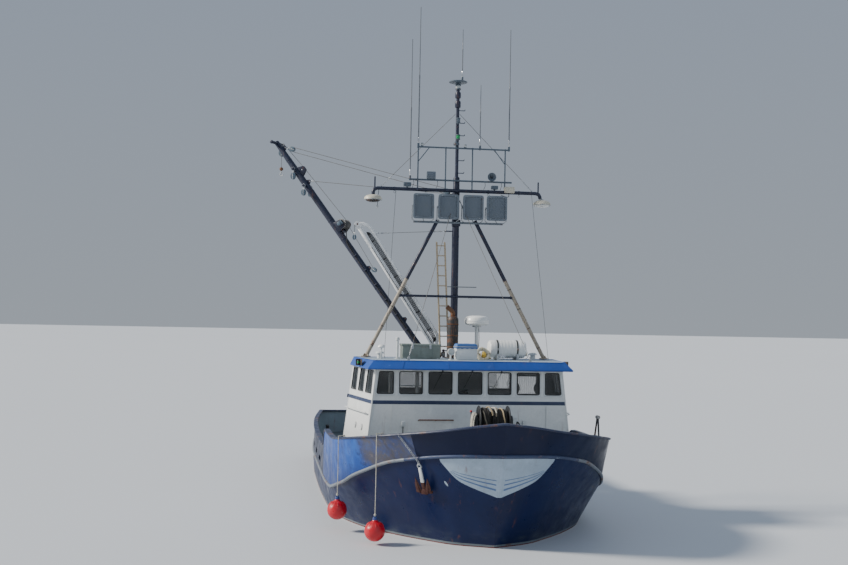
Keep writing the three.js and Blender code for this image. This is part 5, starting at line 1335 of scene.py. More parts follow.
def make_wheelhouse_front():
    B = Build("wheelhouse_front_wall")
    outline = [(-front_half(Z0), Z0), (front_half(Z0), Z0), (front_half(Z1), Z1), (-front_half(Z1), Z1)]
    holes = [front_window(*w) for w in FRONT_WINDOWS]
    B.plate(outline, holes, front_place, 0.06, M["house"], 0.004)
    for w in FRONT_WINDOWS:
        gasket(B, front_window(*w, grow=0.004), front_place, FRONT_N)
        # pressed frame round the window
        pts = [front_place(u, v, -0.001) for u, v in front_window(*w, grow=0.034)]
        B.sweep(pts, [(-0.014, -0.003), (-0.012, 0.005), (0.012, 0.005), (0.014, -0.003)], M["frame_white"], up=FRONT_N, closed=True)
    # dark stripe under the windows, carried a hair proud of the wall
    h0, h1 = 2.895, 2.985
    B.plate([(-front_half(h0) - 0.002, h0), (front_half(h0) + 0.002, h0), (front_half(h1) + 0.002, h1), (-front_half(h1) - 0.002, h1)], [],
            lambda u, v, w: front_place(u, v, w - 0.003), 0.003, M["house_line"], 0.0007)
    # drip bead over the windows and a foot flange on the deck
    for z, r in ((3.725, 0.010), (3.085, 0.007)):
        B.tube([(-front_half(z) + 0.02, front_y(z) - 0.002, z), (front_half(z) - 0.02, front_y(z) - 0.002, z)], r, M["house"], 8)
    B.box(-2.55, 2.55, front_y(1.8) - 0.03, front_y(1.8) + 0.01, 1.8, 1.83, M["house"], 0.004)
    # rounded corner posts
    for sd in (-1, 1):
        B.tube([(sd * (front_half(1.8) - 0.012), front_y(1.8) + 0.014, 1.8), (sd * (front_half(3.8) - 0.012), front_y(3.8) + 0.014, 3.8)], 0.022, M["house"], 14)
    # welded vertical stiffeners, grab rail, and cable pipe on the lower wall
    for x in (-1.95, 1.93):
        B.box(x - 0.005, x + 0.005, front_y(2.4) - 0.024, front_y(2.4) + 0.02, 1.84, 2.86, M["house"], 0.002)
    # short stained rail, cable boxes and small fittings on the lower wall
    z = 2.52
    B.tube([(-1.28, front_y(z) - 0.06, z), (-0.42, front_y(z) - 0.06, z)], 0.015, M["rust_heavy"], 12)
    for x in (-1.28, -0.85, -0.42):
        B.tube([(x, front_y(z) - 0.06, z), (x, front_y(z) - 0.03, z - 0.015), (x, front_y(z), z - 0.02)], 0.010, M["rust_heavy"], 8)
        B.cyl((x, front_y(z) - 0.006, z - 0.02), (x, front_y(z) + 0.004, z - 0.02), 0.024, M["frame_white"], sides=14, bevel=0.002)
    for x, z, w, h in ((1.12, 2.50, 0.11, 0.16), (1.36, 2.46, 0.08, 0.11), (-1.66, 2.42, 0.10, 0.13)):
        B.box(x - w / 2, x + w / 2, front_y(z) - 0.075, front_y(z) + 0.02, z - h / 2, z + h / 2, M["frame_white"], 0.008)
        B.tube([(x, front_y(z - h / 2) - 0.035, z - h / 2 + 0.004), (x, front_y(z - h) - 0.02, z - h), (x, front_y(1.9) - 0.015, 1.835)], 0.009, M["gasket"], 8, smooth=10)
    # wipers on three of the windows
    for x in (-0.742, 0.0, 0.742):
        wiper(B, (x + 0.05, front_y(3.72) - 0.002, 3.715), (x - 0.09, front_y(3.45) - 0.004, 3.44), FRONT_N)
    return B.done("root", "wheelhouse_front", "house_white")


def make_wheelhouse_side(side):
    name = "wheelhouse_side_port" if side > 0 else "wheelhouse_side_stbd"
    B = Build(name + "_wall")
    place = side_place(side)
    normal = Vector((side * SIDE_N.x, SIDE_N.y, SIDE_N.z))
    outline = [(4.104, Z0), (6.448, Z0), (6.448, Z1), (4.184, Z1)]
    spans = [(4.29, 4.86), (5.02, 5.47)] if side > 0 else [(4.29, 4.86), (5.06, 5.56), (5.76, 6.27)]
    holes = [side_window(a, b) for a, b in spans]
    if side > 0:
        holes.append(rounded_rect(5.614, 6.286, 2.194, 3.696, 0.055))
    B.plate(outline, holes, place, 0.06, M["house"], 0.004)
    for a, b in spans:
        gasket(B, side_window(a, b, 0.004), place, normal)
        pts = [place(u, v, -0.001) for u, v in side_window(a, b, 0.032)]
        B.sweep(pts, [(-0.014, -0.003), (-0.012, 0.005), (0.012, 0.005), (0.014, -0.003)], M["frame_white"], up=normal, closed=True)
    ends = (4.16, 6.448) if side < 0 else (4.16, 5.585)
    B.plate([(ends[0] - 0.02, 2.895), (ends[1], 2.895), (ends[1], 2.985), (ends[0] - 0.018, 2.985)], [], lambda u, v, w: place(u, v, w - 0.003), 0.003, M["house_line"], 0.0007)
    if side > 0:
        B.plate([(6.315, 2.895), (6.448, 2.895), (6.448, 2.985), (6.315, 2.985)], [], lambda u, v, w: place(u, v, w - 0.003), 0.003, M["house_line"], 0.0007)
        # door coaming
        pts = [place(u, v, -0.002) for u, v in rounded_rect(5.590, 6.310, 2.170, 3.716, 0.07)]
        B.sweep(pts, [(-0.012, -0.004), (-0.012, 0.012), (0.012, 0.012), (0.012, -0.004)], M["frame_white"], up=normal, closed=True)
    B.tube([place(4.21, 3.735, 0.0), place(6.43, 3.735, 0.0)], 0.010, M["house"], 8)
    # long handrail on standoffs
    a, b, v = (4.3, 6.35, 2.66) if side < 0 else (4.3, 5.48, 2.66)
    B.tube([place(a, v, -0.075), place(b, v, -0.075)], 0.017, M["frame_white"], 12)
    n = 5 if side < 0 else 3
    for i in range(n):
        u = a + (b - a) * i / (n - 1)
        B.tube([place(u, v, -0.075), place(u, v - 0.02, -0.03), place(u, v - 0.03, 0.0)], 0.011, M["frame_white"], 8)
        B.cyl(place(u, v - 0.03, -0.006), place(u, v - 0.03, 0.004), 0.026, M["frame_white"], sides=14, bevel=0.002)
    # blanked bosses, each bolted, low on the wall: two on starboard, one on port
    for u in (4.75, 5.35) if side < 0 else (4.75,):
        B.cyl(place(u, 2.28, -0.022), place(u, 2.28, 0.01), 0.085, M["house"], sides=28, bevel=0.006)
        for i in range(6):
            q = 2 * PI * i / 6
            B.bolt(place(u + 0.066 * math.cos(q), 2.28 + 0.066 * math.sin(q), -0.021), normal, 0.006, M["galv"])
    return B.done("root", name, "house_white")


def make_wheelhouse_back():
    B = Build("wheelhouse_back_wall")
    b0, b1 = 2.95, 2.717
    outline = [(-b0 + 0.004, Z0), (b0 - 0.004, Z0), (b1 - 0.004, Z1), (-b1 + 0.004, Z1)]
    wins = [(-1.5, -0.88), (0.9, 1.52)]
    holes = [rounded_rect(a, b, 3.15, 3.6, 0.05) for a, b in wins]
    B.plate(outline, holes, back_place, 0.06, M["house"], 0.004)
    n = Vector((0, 1, 0))
    for a, b in wins:
        gasket(B, [(u, v) for u, v in rounded_rect(a - 0.004, b + 0.004, 3.146, 3.604, 0.054)][::-1], back_place, n)
        pane(B, rounded_rect(a - 0.006, b + 0.006, 3.144, 3.606, 0.05), back_place)
    # pipes and a light on the back wall
    for x in (-2.3, 2.25):
        B.tube([(x, Y(6450) + 0.025, 2.96), (x, Y(6450) + 0.025, 3.78)], 0.014, M["frame_white"], 8)
    B.box(-0.12, 0.12, Y(6450) - 0.01, Y(6450) + 0.10, 3.52, 3.62, M["lamp_grey"], 0.012)
    B.box(-0.10, 0.10, Y(6450) + 0.012, Y(6450) + 0.092, 3.508, 3.522, M["lens_clear"], 0.004)
    B.plate([(-b0 + 0.09, 2.895 + 0.0), (-1.86, 2.895), (-1.86, 2.985), (-b0 + 0.10, 2.985)], [], lambda u, v, w: back_place(u, v, w - 0.003), 0.003, M["house_line"], 0.0007)
    B.plate([(1.86, 2.895), (b0 - 0.13, 2.895), (b0 - 0.142, 2.985), (1.86, 2.985)], [], lambda u, v, w: back_place(u, v, w - 0.003), 0.003, M["house_line"], 0.0007)
    return B.done("root", ("wheelhouse_back", "wheelhouse_glass_back"), "house_white")


def make_glass():
    B = Build("wheelhouse_panes_front")
    for w in FRONT_WINDOWS:
        pane(B, front_window(*w, grow=0.008), front_place)
    B.done("root", "wheelhouse_glass_front", "glass")
    for side, spans in ((-1, [(4.29, 4.86), (5.06, 5.56), (5.76, 6.27)]), (1, [(4.29, 4.86), (5.02, 5.47)])):
        name = "wheelhouse_panes_port" if side > 0 else "wheelhouse_panes_stbd"
        B = Build(name)
        for a, b in spans:
            pane(B, side_window(a, b, 0.008), side_place(side))
        B.done("root", "wheelhouse_glass_port" if side > 0 else "wheelhouse_glass_stbd", "glass")


def make_wheelhouse_door():
    B = Build("wheelhouse_door_leaf")
    place = side_place(1)
    n = Vector((SIDE_N.x, SIDE_N.y, SIDE_N.z))
    hole = rounded_rect(5.75, 6.15, 3.12, 3.58, 0.05)
    B.plate(rounded_rect(5.622, 6.278, 2.202, 3.688, 0.05), [hole], place, 0.042, M["house"], 0.005)
    gasket(B, rounded_rect(5.746, 6.154, 3.116, 3.584, 0.054), place, n, 0.003)
    pane(B, rounded_rect(5.742, 6.158, 3.112, 3.588, 0.05), place, 0.018, 0.006)
    pts = [place(u, v, -0.0005) for u, v in rounded_rect(5.67, 6.23, 2.25, 3.04, 0.05)]
    B.sweep(pts, [(-0.010, -0.003), (-0.007, 0.006), (0.007, 0.006), (0.010, -0.003)], M["house"], up=n, closed=True)
    # lever handle on a round plate, and three dogs on the free edge
    B.cyl(place(6.19, 2.90, 0.0), place(6.19, 2.90, -0.012), 0.032, M["steel"], sides=20)
    B.cyl(place(6.19, 2.90, -0.01), place(6.19, 2.90, -0.05), 0.011, M["steel"], sides=14)
    B.tube([place(6.19, 2.90, -0.045), place(6.15, 2.895, -0.05), place(6.07, 2.885, -0.05)], 0.010, M["steel"], 10, smooth=8)
    for v in (2.36, 3.05, 3.60):
        B.cyl(place(6.235, v, 0.004), place(6.235, v, -0.018), 0.016, M["steel"], sides=14)
        B.tube([place(6.235, v, -0.014), place(6.255, v + 0.03, -0.018)], 0.008, M["steel"], 8)
    # hinge leaves
    for v in (2.42, 3.46):
        B.cyl(place(5.620, v - 0.045, 0.0), place(5.620, v + 0.045, 0.0), 0.0052, M["steel"], sides=14)
        B.plate(rounded_rect(5.628, 5.72, v - 0.035, v + 0.035, 0.01), [], lambda u, vv, w: place(u, vv, w - 0.007), 0.007, M["steel"], 0.0015)
        for u in (5.65, 5.70):
            B.bolt(place(u, v, -0.006), n, 0.006, M["galv"])
    return B.done("wheelhouse_door", "wheelhouse_door", "house_white")


make_wheelhouse_front()
make_wheelhouse_side(-1)
make_wheelhouse_side(1)
make_wheelhouse_back()
make_glass()
make_wheelhouse_door()


def make_roof():
    B = Build("wheelhouse_roof_shell")

    def ring(bf, sf, ba, sa, z):
        return [Vector((-bf, Y(sf * 1000), z)), Vector((bf, Y(sf * 1000), z)), Vector((ba, Y(sa * 1000), z)), Vector((-ba, Y(sa * 1000), z))]
    low, lip, top = ring(2.56, 3.95, 2.79, 6.488, 3.742), ring(2.56, 3.95, 2.79, 6.488, 3.775), ring(2.41, 4.13, 2.70, 6.482, 3.955)
    # the visor: sloping fascia all round, with a folded lower lip
    inner = ring(2.50, 4.01, 2.74, 6.44, 3.742)
    bm = bmesh.new()
    rows = [[bm.verts.new(p) for p in r] for r in (inner, low, lip, top)]
    for a, b in zip(rows, rows[1:]):
        for i in range(4):
            j = (i + 1) % 4
            bm.faces.new((a[i], a[j], b[j], b[i]))
    bmesh.ops.bevel(bm, geom=[e for e in bm.edges if len(e.link_faces) == 2], offset=0.010, segments=2, profile=0.5, affect="EDGES")
    B.add_bm(bm, M["visor"])
    roof_top = [Vector((p.x * 0.997, p.y + (0.006 if i < 2 else -0.004), 3.952)) for i, p in enumerate(top)]
    bm = bmesh.new()
    v0 = [bm.verts.new(p) for p in roof_top]
    f0 = bm.faces.new(v0)
    bmesh.ops.subdivide_edges(bm, edges=bm.edges[:], cuts=7, use_grid_fill=True)
    for v in bm.verts:                                   # slight camber
        v.co.z += 0.012 * (1 - (v.co.x / 2.7) ** 2)
    B.add_bm(bm, M["roof"])
    # underside and ceiling
    B.add([Vector((p.x, p.y, 3.744)) for p in inner], [(0, 1, 2, 3)], M["house"])
    # rolled beading round the top
    loop = [Vector((p.x, p.y, 3.956)) for p in top]
    pts = []
    for i in range(4):
        a, b = loop[i], loop[(i + 1) % 4]
        pts += [a.lerp(b, q) for q in (0.012, 0.33, 0.66, 0.988)]
    B.tube(pts, 0.010, M["visor"], 8, closed=True)
    # seams in the visor plate
    for x in (-1.72, -0.58, 0.56, 1.70):
        a, b = Vector((x * 1.0, Y(3950) - 0.0, 3.778)), Vector((x * 0.955, Y(4130), 3.955))
        B.tube([a + Vector((0, -0.001, 0.001)), b + Vector((0, -0.001, 0.001))], 0.0045, M["visor"], 6)
    # sidelights on screens at the roof edge
    for sd, lamp in ((1, "red_lamp"), (-1, "green_lamp")):
        x = sd * 2.63
        B.box(min(x, x + sd * 0.02), max(x, x + sd * 0.02), Y(4720), Y(5140), 3.80, 3.955, M["black"], 0.004)
        B.box(min(x, x + sd * 0.13), max(x, x + sd * 0.13), Y(5120), Y(5140), 3.80, 3.955, M["black"], 0.004)
        B.box(min(x, x + sd * 0.13), max(x, x + sd * 0.13), Y(5000), Y(5125), 3.795, 3.812, M["black"], 0.004)
        c = Vector((x + sd * 0.066, Y(5062), 3.812))
        B.cyl(c, c + Vector((0, 0, 0.03)), 0.042, M["gasket"], sides=20)
        B.cyl(c + Vector((0, 0, 0.03)), c + Vector((0, 0, 0.085)), 0.036, M[lamp], sides=20)
        B.cyl(c + Vector((0, 0, 0.085)), c + Vector((0, 0, 0.11)), 0.042, M["gasket"], r2=0.03, sides=20)
    return B.done("root", "wheelhouse_roof", "visor_blue")


make_roof()


def make_interior():
    B = Build("wheelhouse_interior")
    y0, y1 = Y(4330), Y(4880)
    B.prism([(y0, 1.801), (y1, 1.801), (y1, 2.56), (Y(4760), 2.86), (y0, 2.90)], "x", -1.65, 1.65, M["wood"], 0.01)
    B.box(-1.66, 1.66, y1 - 0.02, y1 + 0.01, 2.53, 2.58, M["wood"], 0.006)
    for a, b, h, n in ((-0.9, -0.3, 3.08, 2), (0.25, 0.8, 3.04, 2)):
        B.box(a, b, Y(4400), Y(4680), 2.85, h, M["gasket"], 0.012)
        w = (b - a) / n
        for i in range(n):
            B.box(a + w * i + 0.02, a + w * (i + 1) - 0.02, Y(4672), Y(4688), 2.88, h - 0.025, M["screen"], 0.004)
    for i in range(5):                                   # levers and gauges
        x = -0.22 + i * 0.1
        B.cyl((x, Y(4790), 2.80), (x, Y(4800), 2.83), 0.035, M["chrome"], sides=20)
    for x in (0.95, 1.05):
        B.tube([(x, Y(4800), 2.80), (x, Y(4825), 2.90), (x, Y(4830), 2.97)], 0.009, M["chrome"], 8, smooth=6)
        B.sphere((x, Y(4830), 2.985), 0.022, M["rubber"], 16, 10)
    B.torus((0.0, Y(4930), 2.70), (0, 1, 0.35), 0.24, 0.014, M["wood"], 40, 10)
    for i in range(5):
        a = 2 * PI * i / 5
        d = Vector((math.cos(a), -math.sin(a) * 0.33, math.sin(a) * 0.94))
        B.tube([Vector((0, Y(4930), 2.70)), Vector((0, Y(4930), 2.70)) + d * 0.235], 0.009, M["chrome"], 8)
    B.cyl((0, Y(4870), 2.68), (0, Y(4945), 2.705), 0.035, M["chrome"], sides=20)
    # gathered white curtains and a bright stanchion just behind the front panes; the two port curtains glow as painted
    # sunlight
    for x0, x1, z0, z1, k, cloth in ((1.24, 1.70, 3.17, 3.60, 8, "curtain"), (0.70, 1.00, 3.30, 3.66, 6, "curtain"), (-2.03, -1.80, 3.10, 3.68, 4, "grp")):
        cols, rows = k * 10, 8
        v = []
        for j in range(rows + 1):
            f = j / rows
            z = z0 + (z1 - z0) * f
            for i in range(cols + 1):
                g = i / cols
                tuck = 1 - 0.30 * math.sin(PI * min(1, f * 1.6)) * (0.4 + 0.6 * abs(math.sin(3.1 * x0)))
                x = (x0 + x1) / 2 + (x1 - x0) * (g - 0.5) * tuck
                v.append(Vector((x, front_y(z) + 0.14 + 0.022 * math.sin(2 * PI * k * g + 0.6 * math.sin(5 * f)), z)))
        B.add(v, [(j * (cols + 1) + i, j * (cols + 1) + i + 1, (j + 1) * (cols + 1) + i + 1, (j + 1) * (cols + 1) + i) for j in range(rows) for i in range(cols)], M[cloth])
    B.cyl((-1.30, front_y(2.9) + 0.16, 2.88), (-1.30, front_y(3.75) + 0.16, 3.75), 0.045, M["grp"], sides=24)
    B.box(-0.62, -0.40, Y(4345), Y(4395), 2.88, 3.16, M["grp_cream"], 0.012)
    # floor boards
    for i in range(17):
        x = -2.38 + i * 0.28
        B.box(x, x + 0.272, Y(4240), Y(6380), 1.802, 1.815, M["plank"], 0.002)
    B.done("root", "helm_console", "wood_brown")

    B = Build("pilot_chair_frame")
    c = Y(5450)
    B.lathe((0, c, 1.80), (0, c, 2.80), [(0.235, 0.016), (0.238, 0.022), (0.23, 0.032), (0.10, 0.045), (0.055, 0.07), (0.05, 0.30), (0.042, 0.305), (0.042, 0.60), (0.075, 0.605), (0.075, 0.625), (0, 0.625)], M["chrome"], 32)
    B.torus((0, c - 0.12, 2.12), (0, 0, 1), 0.17, 0.012, M["chrome"], 32, 8)
    B.tube([(0, c, 2.12), (0, c - 0.12, 2.12)], 0.010, M["chrome"], 8)
    for sd in (-1, 1):
        B.tube([(sd * 0.235, Y(5690), 2.50), (sd * 0.255, Y(5660), 2.72), (sd * 0.255, Y(5600), 2.745), (sd * 0.255, Y(5380), 2.745)], 0.013, M["chrome"], 8, smooth=14)
        B.box(sd * 0.255 - 0.028, sd * 0.255 + 0.028, Y(5370), Y(5620), 2.752, 2.785, M["vinyl"], 0.012, 3)
    B.done("root", (), "black_vinyl")


make_interior()


def make_pads():
    """Seat and back of the pilot chair: crowned, pinched thin at the edge, with sewn seams across (three on the seat,
    four on the back).
    """
    def pad(name, centre, size, crown, turn, seams):
        nx, ny = 26, 24
        bm = bmesh.new()
        grid = {}
        for face in (1, -1):
            for i in range(nx + 1):
                for j in range(ny + 1):
                    u, v = i / nx * 2 - 1, j / ny * 2 - 1
                    edge = (1 - abs(u) ** 5) ** 0.35 * (1 - abs(v) ** 5) ** 0.35
                    h = size[2] / 2 * (0.34 + 0.66 * edge) + crown * edge * (1 - 0.55 * (u * u + v * v) / 2)
                    for s in seams:
                        h -= 0.013 * math.exp(-((v - s) / 0.045) ** 2) * edge if face > 0 else 0
                    if i in (0, nx) or j in (0, ny):
                        h = 0 if face < 0 else size[2] * 0.05
                        if face < 0:
                            continue
                    p = Vector((u * size[0] / 2 * (1 - 0.02 * (1 - v * v)), v * size[1] / 2 * (1 - 0.015 * (1 - u * u)), face * h))
                    grid[face, i, j] = bm.verts.new(turn @ p + Vector(centre))

        def at(face, i, j):
            return grid[(1, i, j)] if i in (0, nx) or j in (0, ny) else grid[(face, i, j)]
        for face in (1, -1):
            for i in range(nx):
                for j in range(ny):
                    q = [at(face, i, j), at(face, i + 1, j), at(face, i + 1, j + 1), at(face, i, j + 1)]
                    bm.faces.new(q if face > 0 else q[::-1])
        B = Build(name)
        B.add_bm(bm, M["vinyl"])
        o = B.done("root", (), "black_vinyl", angle=60)
        return o
    pad("pilot_chair_seat", (0, Y(5450), 2.462), (0.49, 0.45, 0.10), 0.012, Matrix.Identity(3), (-0.45, 0.0, 0.45))
    pad("pilot_chair_back", (0, Y(5692), 2.84), (0.47, 0.66, 0.088), 0.008, Matrix.Rotation(rad(90), 3, "X"), (-0.5, -0.1, 0.3, 0.65))
    e = Build("pilot_chair_posts")
    for x in (-0.12, 0.12):
        e.tube([(x, Y(5600), 2.415), (x, Y(5725), 2.43), (x, Y(5735), 2.60)], 0.012, M["chrome"], 8, smooth=8)
    e.done("root", "pilot_chair", "black_vinyl")


make_pads()


# ------------------------------------------------------------ galley
GH, GEND = 1.75, 9.2


def make_galley():
    for side in (-1, 1):
        name = "galley_side_port" if side > 0 else "galley_side_stbd"
        B = Build(name + "_wall")
        place = lambda u, v, w, side=side: Vector((side * (GH - w), Y(u * 1000), v))
        n = Vector((side, 0, 0))
        lights = [(7.15, 7.65), (8.15, 8.65)]
        B.plate([(6.601, 0.851), (9.149, 0.851), (9.149, 2.85), (6.451, 2.85), (6.451, 1.801), (6.601, 1.801)],
                [rounded_rect(a, b, 2.08, 2.52, 0.09, 6) for a, b in lights], place, 0.05, M["house"], 0.003)
        for a, b in lights:
            o = rounded_rect(a - 0.004, b + 0.004, 2.076, 2.524, 0.094, 6)
            B.sweep([place(u, v, 0) for u, v in o], [(-0.030, -0.004), (-0.030, 0.010), (-0.004, 0.016), (0.003, 0.010), (0.004, -0.02)], M["alloy"], up=n, closed=True)
            for i in range(12):
                q = 2 * PI * (i + 0.5) / 12
                cu, cv = (a + b) / 2 + 0.266 * math.copysign(abs(math.cos(q)) ** 0.6, math.cos(q)), 2.3 + 0.237 * math.copysign(abs(math.sin(q)) ** 0.6, math.sin(q))
                B.bolt(place(cu, cv, -0.010), n, 0.006, M["galv"])
            pane(B, rounded_rect(a - 0.008, b + 0.008, 2.072, 2.528, 0.09, 6), place, 0.02)
        B.tube([place(6.62, 2.70, -0.06), place(9.12, 2.70, -0.06)], 0.015, M["frame_white"], 10)
        for i in range(5):
            u = 6.7 + i * 0.58
            B.tube([place(u, 2.70, -0.06), place(u, 2.68, -0.02), place(u, 2.67, 0.0)], 0.010, M["frame_white"], 8)
        B.plate([(6.602, 1.15), (9.148, 1.15), (9.148, 1.24), (6.602, 1.24)], [], lambda u, v, w, side=side: place(u, v, w - 0.003), 0.003, M["house_line"], 0.0007)
        # capped vent on the wall, with four slats across its face
        B.cyl(place(7.9, 1.7, -0.03), place(7.9, 1.7, 0.01), 0.09, M["house"], sides=28, bevel=0.008)
        for i in range(4):
            B.box(*(sorted((side * (GH + 0.031), side * (GH + 0.035)))), Y(7900) - 0.06, Y(7900) + 0.06, 1.655 + i * 0.03, 1.665 + i * 0.03, M["gasket"], 0.001)
        B.done("root", name, "house_white")
    B = Build("galley_back_wall")
    place = lambda u, v, w: Vector((u, Y(9200) - w, v))
    n = Vector((0, 1, 0))
    B.plate([(-1.75, 0.851), (1.75, 0.851), (1.75, 2.85), (-1.75, 2.85)],
            [rounded_rect(-1.356, -0.694, 1.004, 2.706, 0.06), rounded_rect(0.35, 1.05, 2.05, 2.52, 0.08, 6)], place, 0.05, M["house"], 0.003)
    o = rounded_rect(0.346, 1.054, 2.046, 2.524, 0.084, 6)[::-1]
    B.sweep([place(u, v, 0) for u, v in o], [(-0.030, -0.004), (-0.030, 0.010), (-0.004, 0.016), (0.003, 0.010), (0.004, -0.02)], M["alloy"], up=n, closed=True)
    pane(B, rounded_rect(0.342, 1.058, 2.042, 2.528, 0.08, 6), place, 0.02)
    B.sweep([place(u, v, 0.0) for u, v in rounded_rect(-1.38, -0.67, 0.98, 2.73, 0.07)[::-1]], [(-0.012, -0.004), (-0.012, 0.014), (0.012, 0.014), (0.012, -0.004)], M["frame_white"], up=n, closed=True)
    # fire axe board, hose coil hook and a work light over the door
    B.box(-1.16, -0.90, 0.35, 0.46, 2.765, 2.83, M["lamp_grey"], 0.01)
    B.box(-1.14, -0.92, 0.356, 0.452, 2.757, 2.768, M["lens_clear"], 0.003)
    B.tube([(1.35, 0.352, 1.7), (1.35, 0.40, 1.7), (1.35, 0.42, 1.73)], 0.010, M["steel"], 8)
    for k in range(5):
        B.torus((1.35, 0.375 + 0.018 * k, 1.45), (0.03 * (k - 2), 1, 0.04), 0.235 - 0.006 * (k % 2), 0.011, M["rope_blue"], 36, 8)
    B.box(-0.15, 0.15, 0.35, 0.40, 1.1, 1.55, M["frame_white"], 0.02, 3)
    B.done("root", "galley_back", "house_white")

    B = Build("galley_door_leaf")
    B.plate(rounded_rect(-1.349, -0.701, 1.011, 2.699, 0.05), [rounded_rect(-1.2, -0.85, 2.15, 2.5, 0.06)], lambda u, v, w: Vector((u, Y(9200) + 0.004 - w, v)), 0.044, M["house"], 0.005)
    B.sweep([Vector((u, Y(9200) + 0.004, v)) for u, v in rounded_rect(-1.204, -0.846, 2.146, 2.504, 0.064)[::-1]], [(-0.02, -0.003), (-0.02, 0.006), (0.003, 0.006), (0.004, -0.02)], M["gasket"], up=n, closed=True)
    B.plate(rounded_rect(-1.208, -0.842, 2.142, 2.508, 0.06), [], lambda u, v, w: Vector((u, Y(9200) - 0.015 - w, v)), 0.006, M["glass"], 0.001)
    B.sweep([Vector((u, Y(9200) + 0.004, v)) for u, v in rounded_rect(-1.30, -0.75, 1.08, 2.04, 0.05)[::-1]], [(-0.010, -0.003), (-0.007, 0.006), (0.007, 0.006), (0.010, -0.003)], M["house"], up=n, closed=True)
    B.cyl((-0.79, 0.353, 1.89), (-0.79, 0.368, 1.89), 0.032, M["steel"], sides=20)
    B.cyl((-0.79, 0.36, 1.89), (-0.79, 0.405, 1.89), 0.011, M["steel"], sides=12)
    B.tube([(-0.79, 0.40, 1.89), (-0.83, 0.408, 1.885), (-0.91, 0.408, 1.875)], 0.010, M["steel"], 10, smooth=8)
    for v in (1.2, 1.855, 2.5):
        B.cyl((-1.35, 0.354, v - 0.05), (-1.35, 0.354, v + 0.05), 0.0055, M["steel"], sides=14)
        B.box(-1.345, -1.23, 0.350, 0.3585, v - 0.036, v + 0.036, M["steel"], 0.002)
        for x in (-1.31, -1.26):
            B.bolt((x, 0.358, v), (0, 1, 0), 0.006, M["galv"], 0.004)
    B.done("galley_door", "galley_door", "house_white")

    B = Build("galley_roof_plate")
    B.prism([(Y(6451), 2.8505), (Y(9650), 2.8505), (Y(9650), 2.928), (Y(6451), 2.928)], "x", -1.84, 1.84, M["roof"], 0.012)
    for sd in (-1, 1):
        B.tube([(sd * 1.83, Y(6470), 2.93), (sd * 1.83, Y(9640), 2.93)], 0.014, M["house"], 10)
    B.tube([(-1.83, Y(9640), 2.93), (1.83, Y(9640), 2.93)], 0.014, M["house"], 10)
    # low foot rail round the galley roof, under the sweep of the booms
    pts = [(-1.76, Y(6700), 2.93), (-1.76, Y(6700), 3.00), (-1.76, Y(6740), 3.03), (-1.76, Y(9500), 3.03), (-1.70, Y(9560), 3.03), (1.70, Y(9560), 3.03), (1.76, Y(9500), 3.03), (1.76, Y(6740), 3.03), (1.76, Y(6700), 3.00), (1.76, Y(6700), 2.93)]
    B.tube(pts, 0.017, M["frame_white"], 12)
    for sd in (-1, 1):
        for s in (7400, 8100, 8800, 9450):
            B.tube([(sd * 1.76, Y(s), 2.925), (sd * 1.76, Y(s), 3.03)], 0.014, M["frame_white"], 10)
            B.cyl((sd * 1.76, Y(s), 2.925), (sd * 1.76, Y(s), 2.94), 0.04, M["frame_white"], sides=16)
    for x in (-0.85, 0.0, 0.85):
        B.tube([(x, Y(9560), 2.925), (x, Y(9560), 3.03)], 0.014, M["frame_white"], 10)
    # mushroom vents, a skylight and a gas locker on the roof
    for x, s, r in ((-1.15, 7250, 0.14), (1.2, 8950, 0.11), (-1.25, 8850, 0.11)):
        c = Vector((x, Y(s), 2.92))
        B.lathe(c, c + Vector((0, 0, 1)), [(r * 0.62, 0), (r * 0.6, 0.075), (r * 0.98, 0.072), (r, 0.088), (r * 0.96, 0.108), (r * 0.7, 0.136), (r * 0.3, 0.150), (0, 0.154)], M["frame_white"], 28)
        B.cyl(c, c + Vector((0, 0, 0.02)), r * 0.95, M["frame_white"], sides=24)
    B.box(0.35, 1.15, Y(7600), Y(8200), 2.925, 3.03, M["frame_white"], 0.02, 3)
    B.box(0.42, 1.08, Y(7670), Y(8130), 3.028, 3.042, M["glass"], 0.004)
    B.box(-1.15, -0.35, Y(8000), Y(8500), 2.925, 3.052, M["frame_white"], 0.02, 3)
    B.box(-1.17, -0.33, Y(7980), Y(8520), 3.048, 3.076, M["frame_white"], 0.010, 3)
    for x in (-0.98, -0.52):
        B.box(x - 0.03, x + 0.03, Y(8520) - 0.004, Y(8520) + 0.012, 3.0, 3.06, M["steel"], 0.003)
    B.done("root", "galley_roof", "deck_grey")


make_galley()


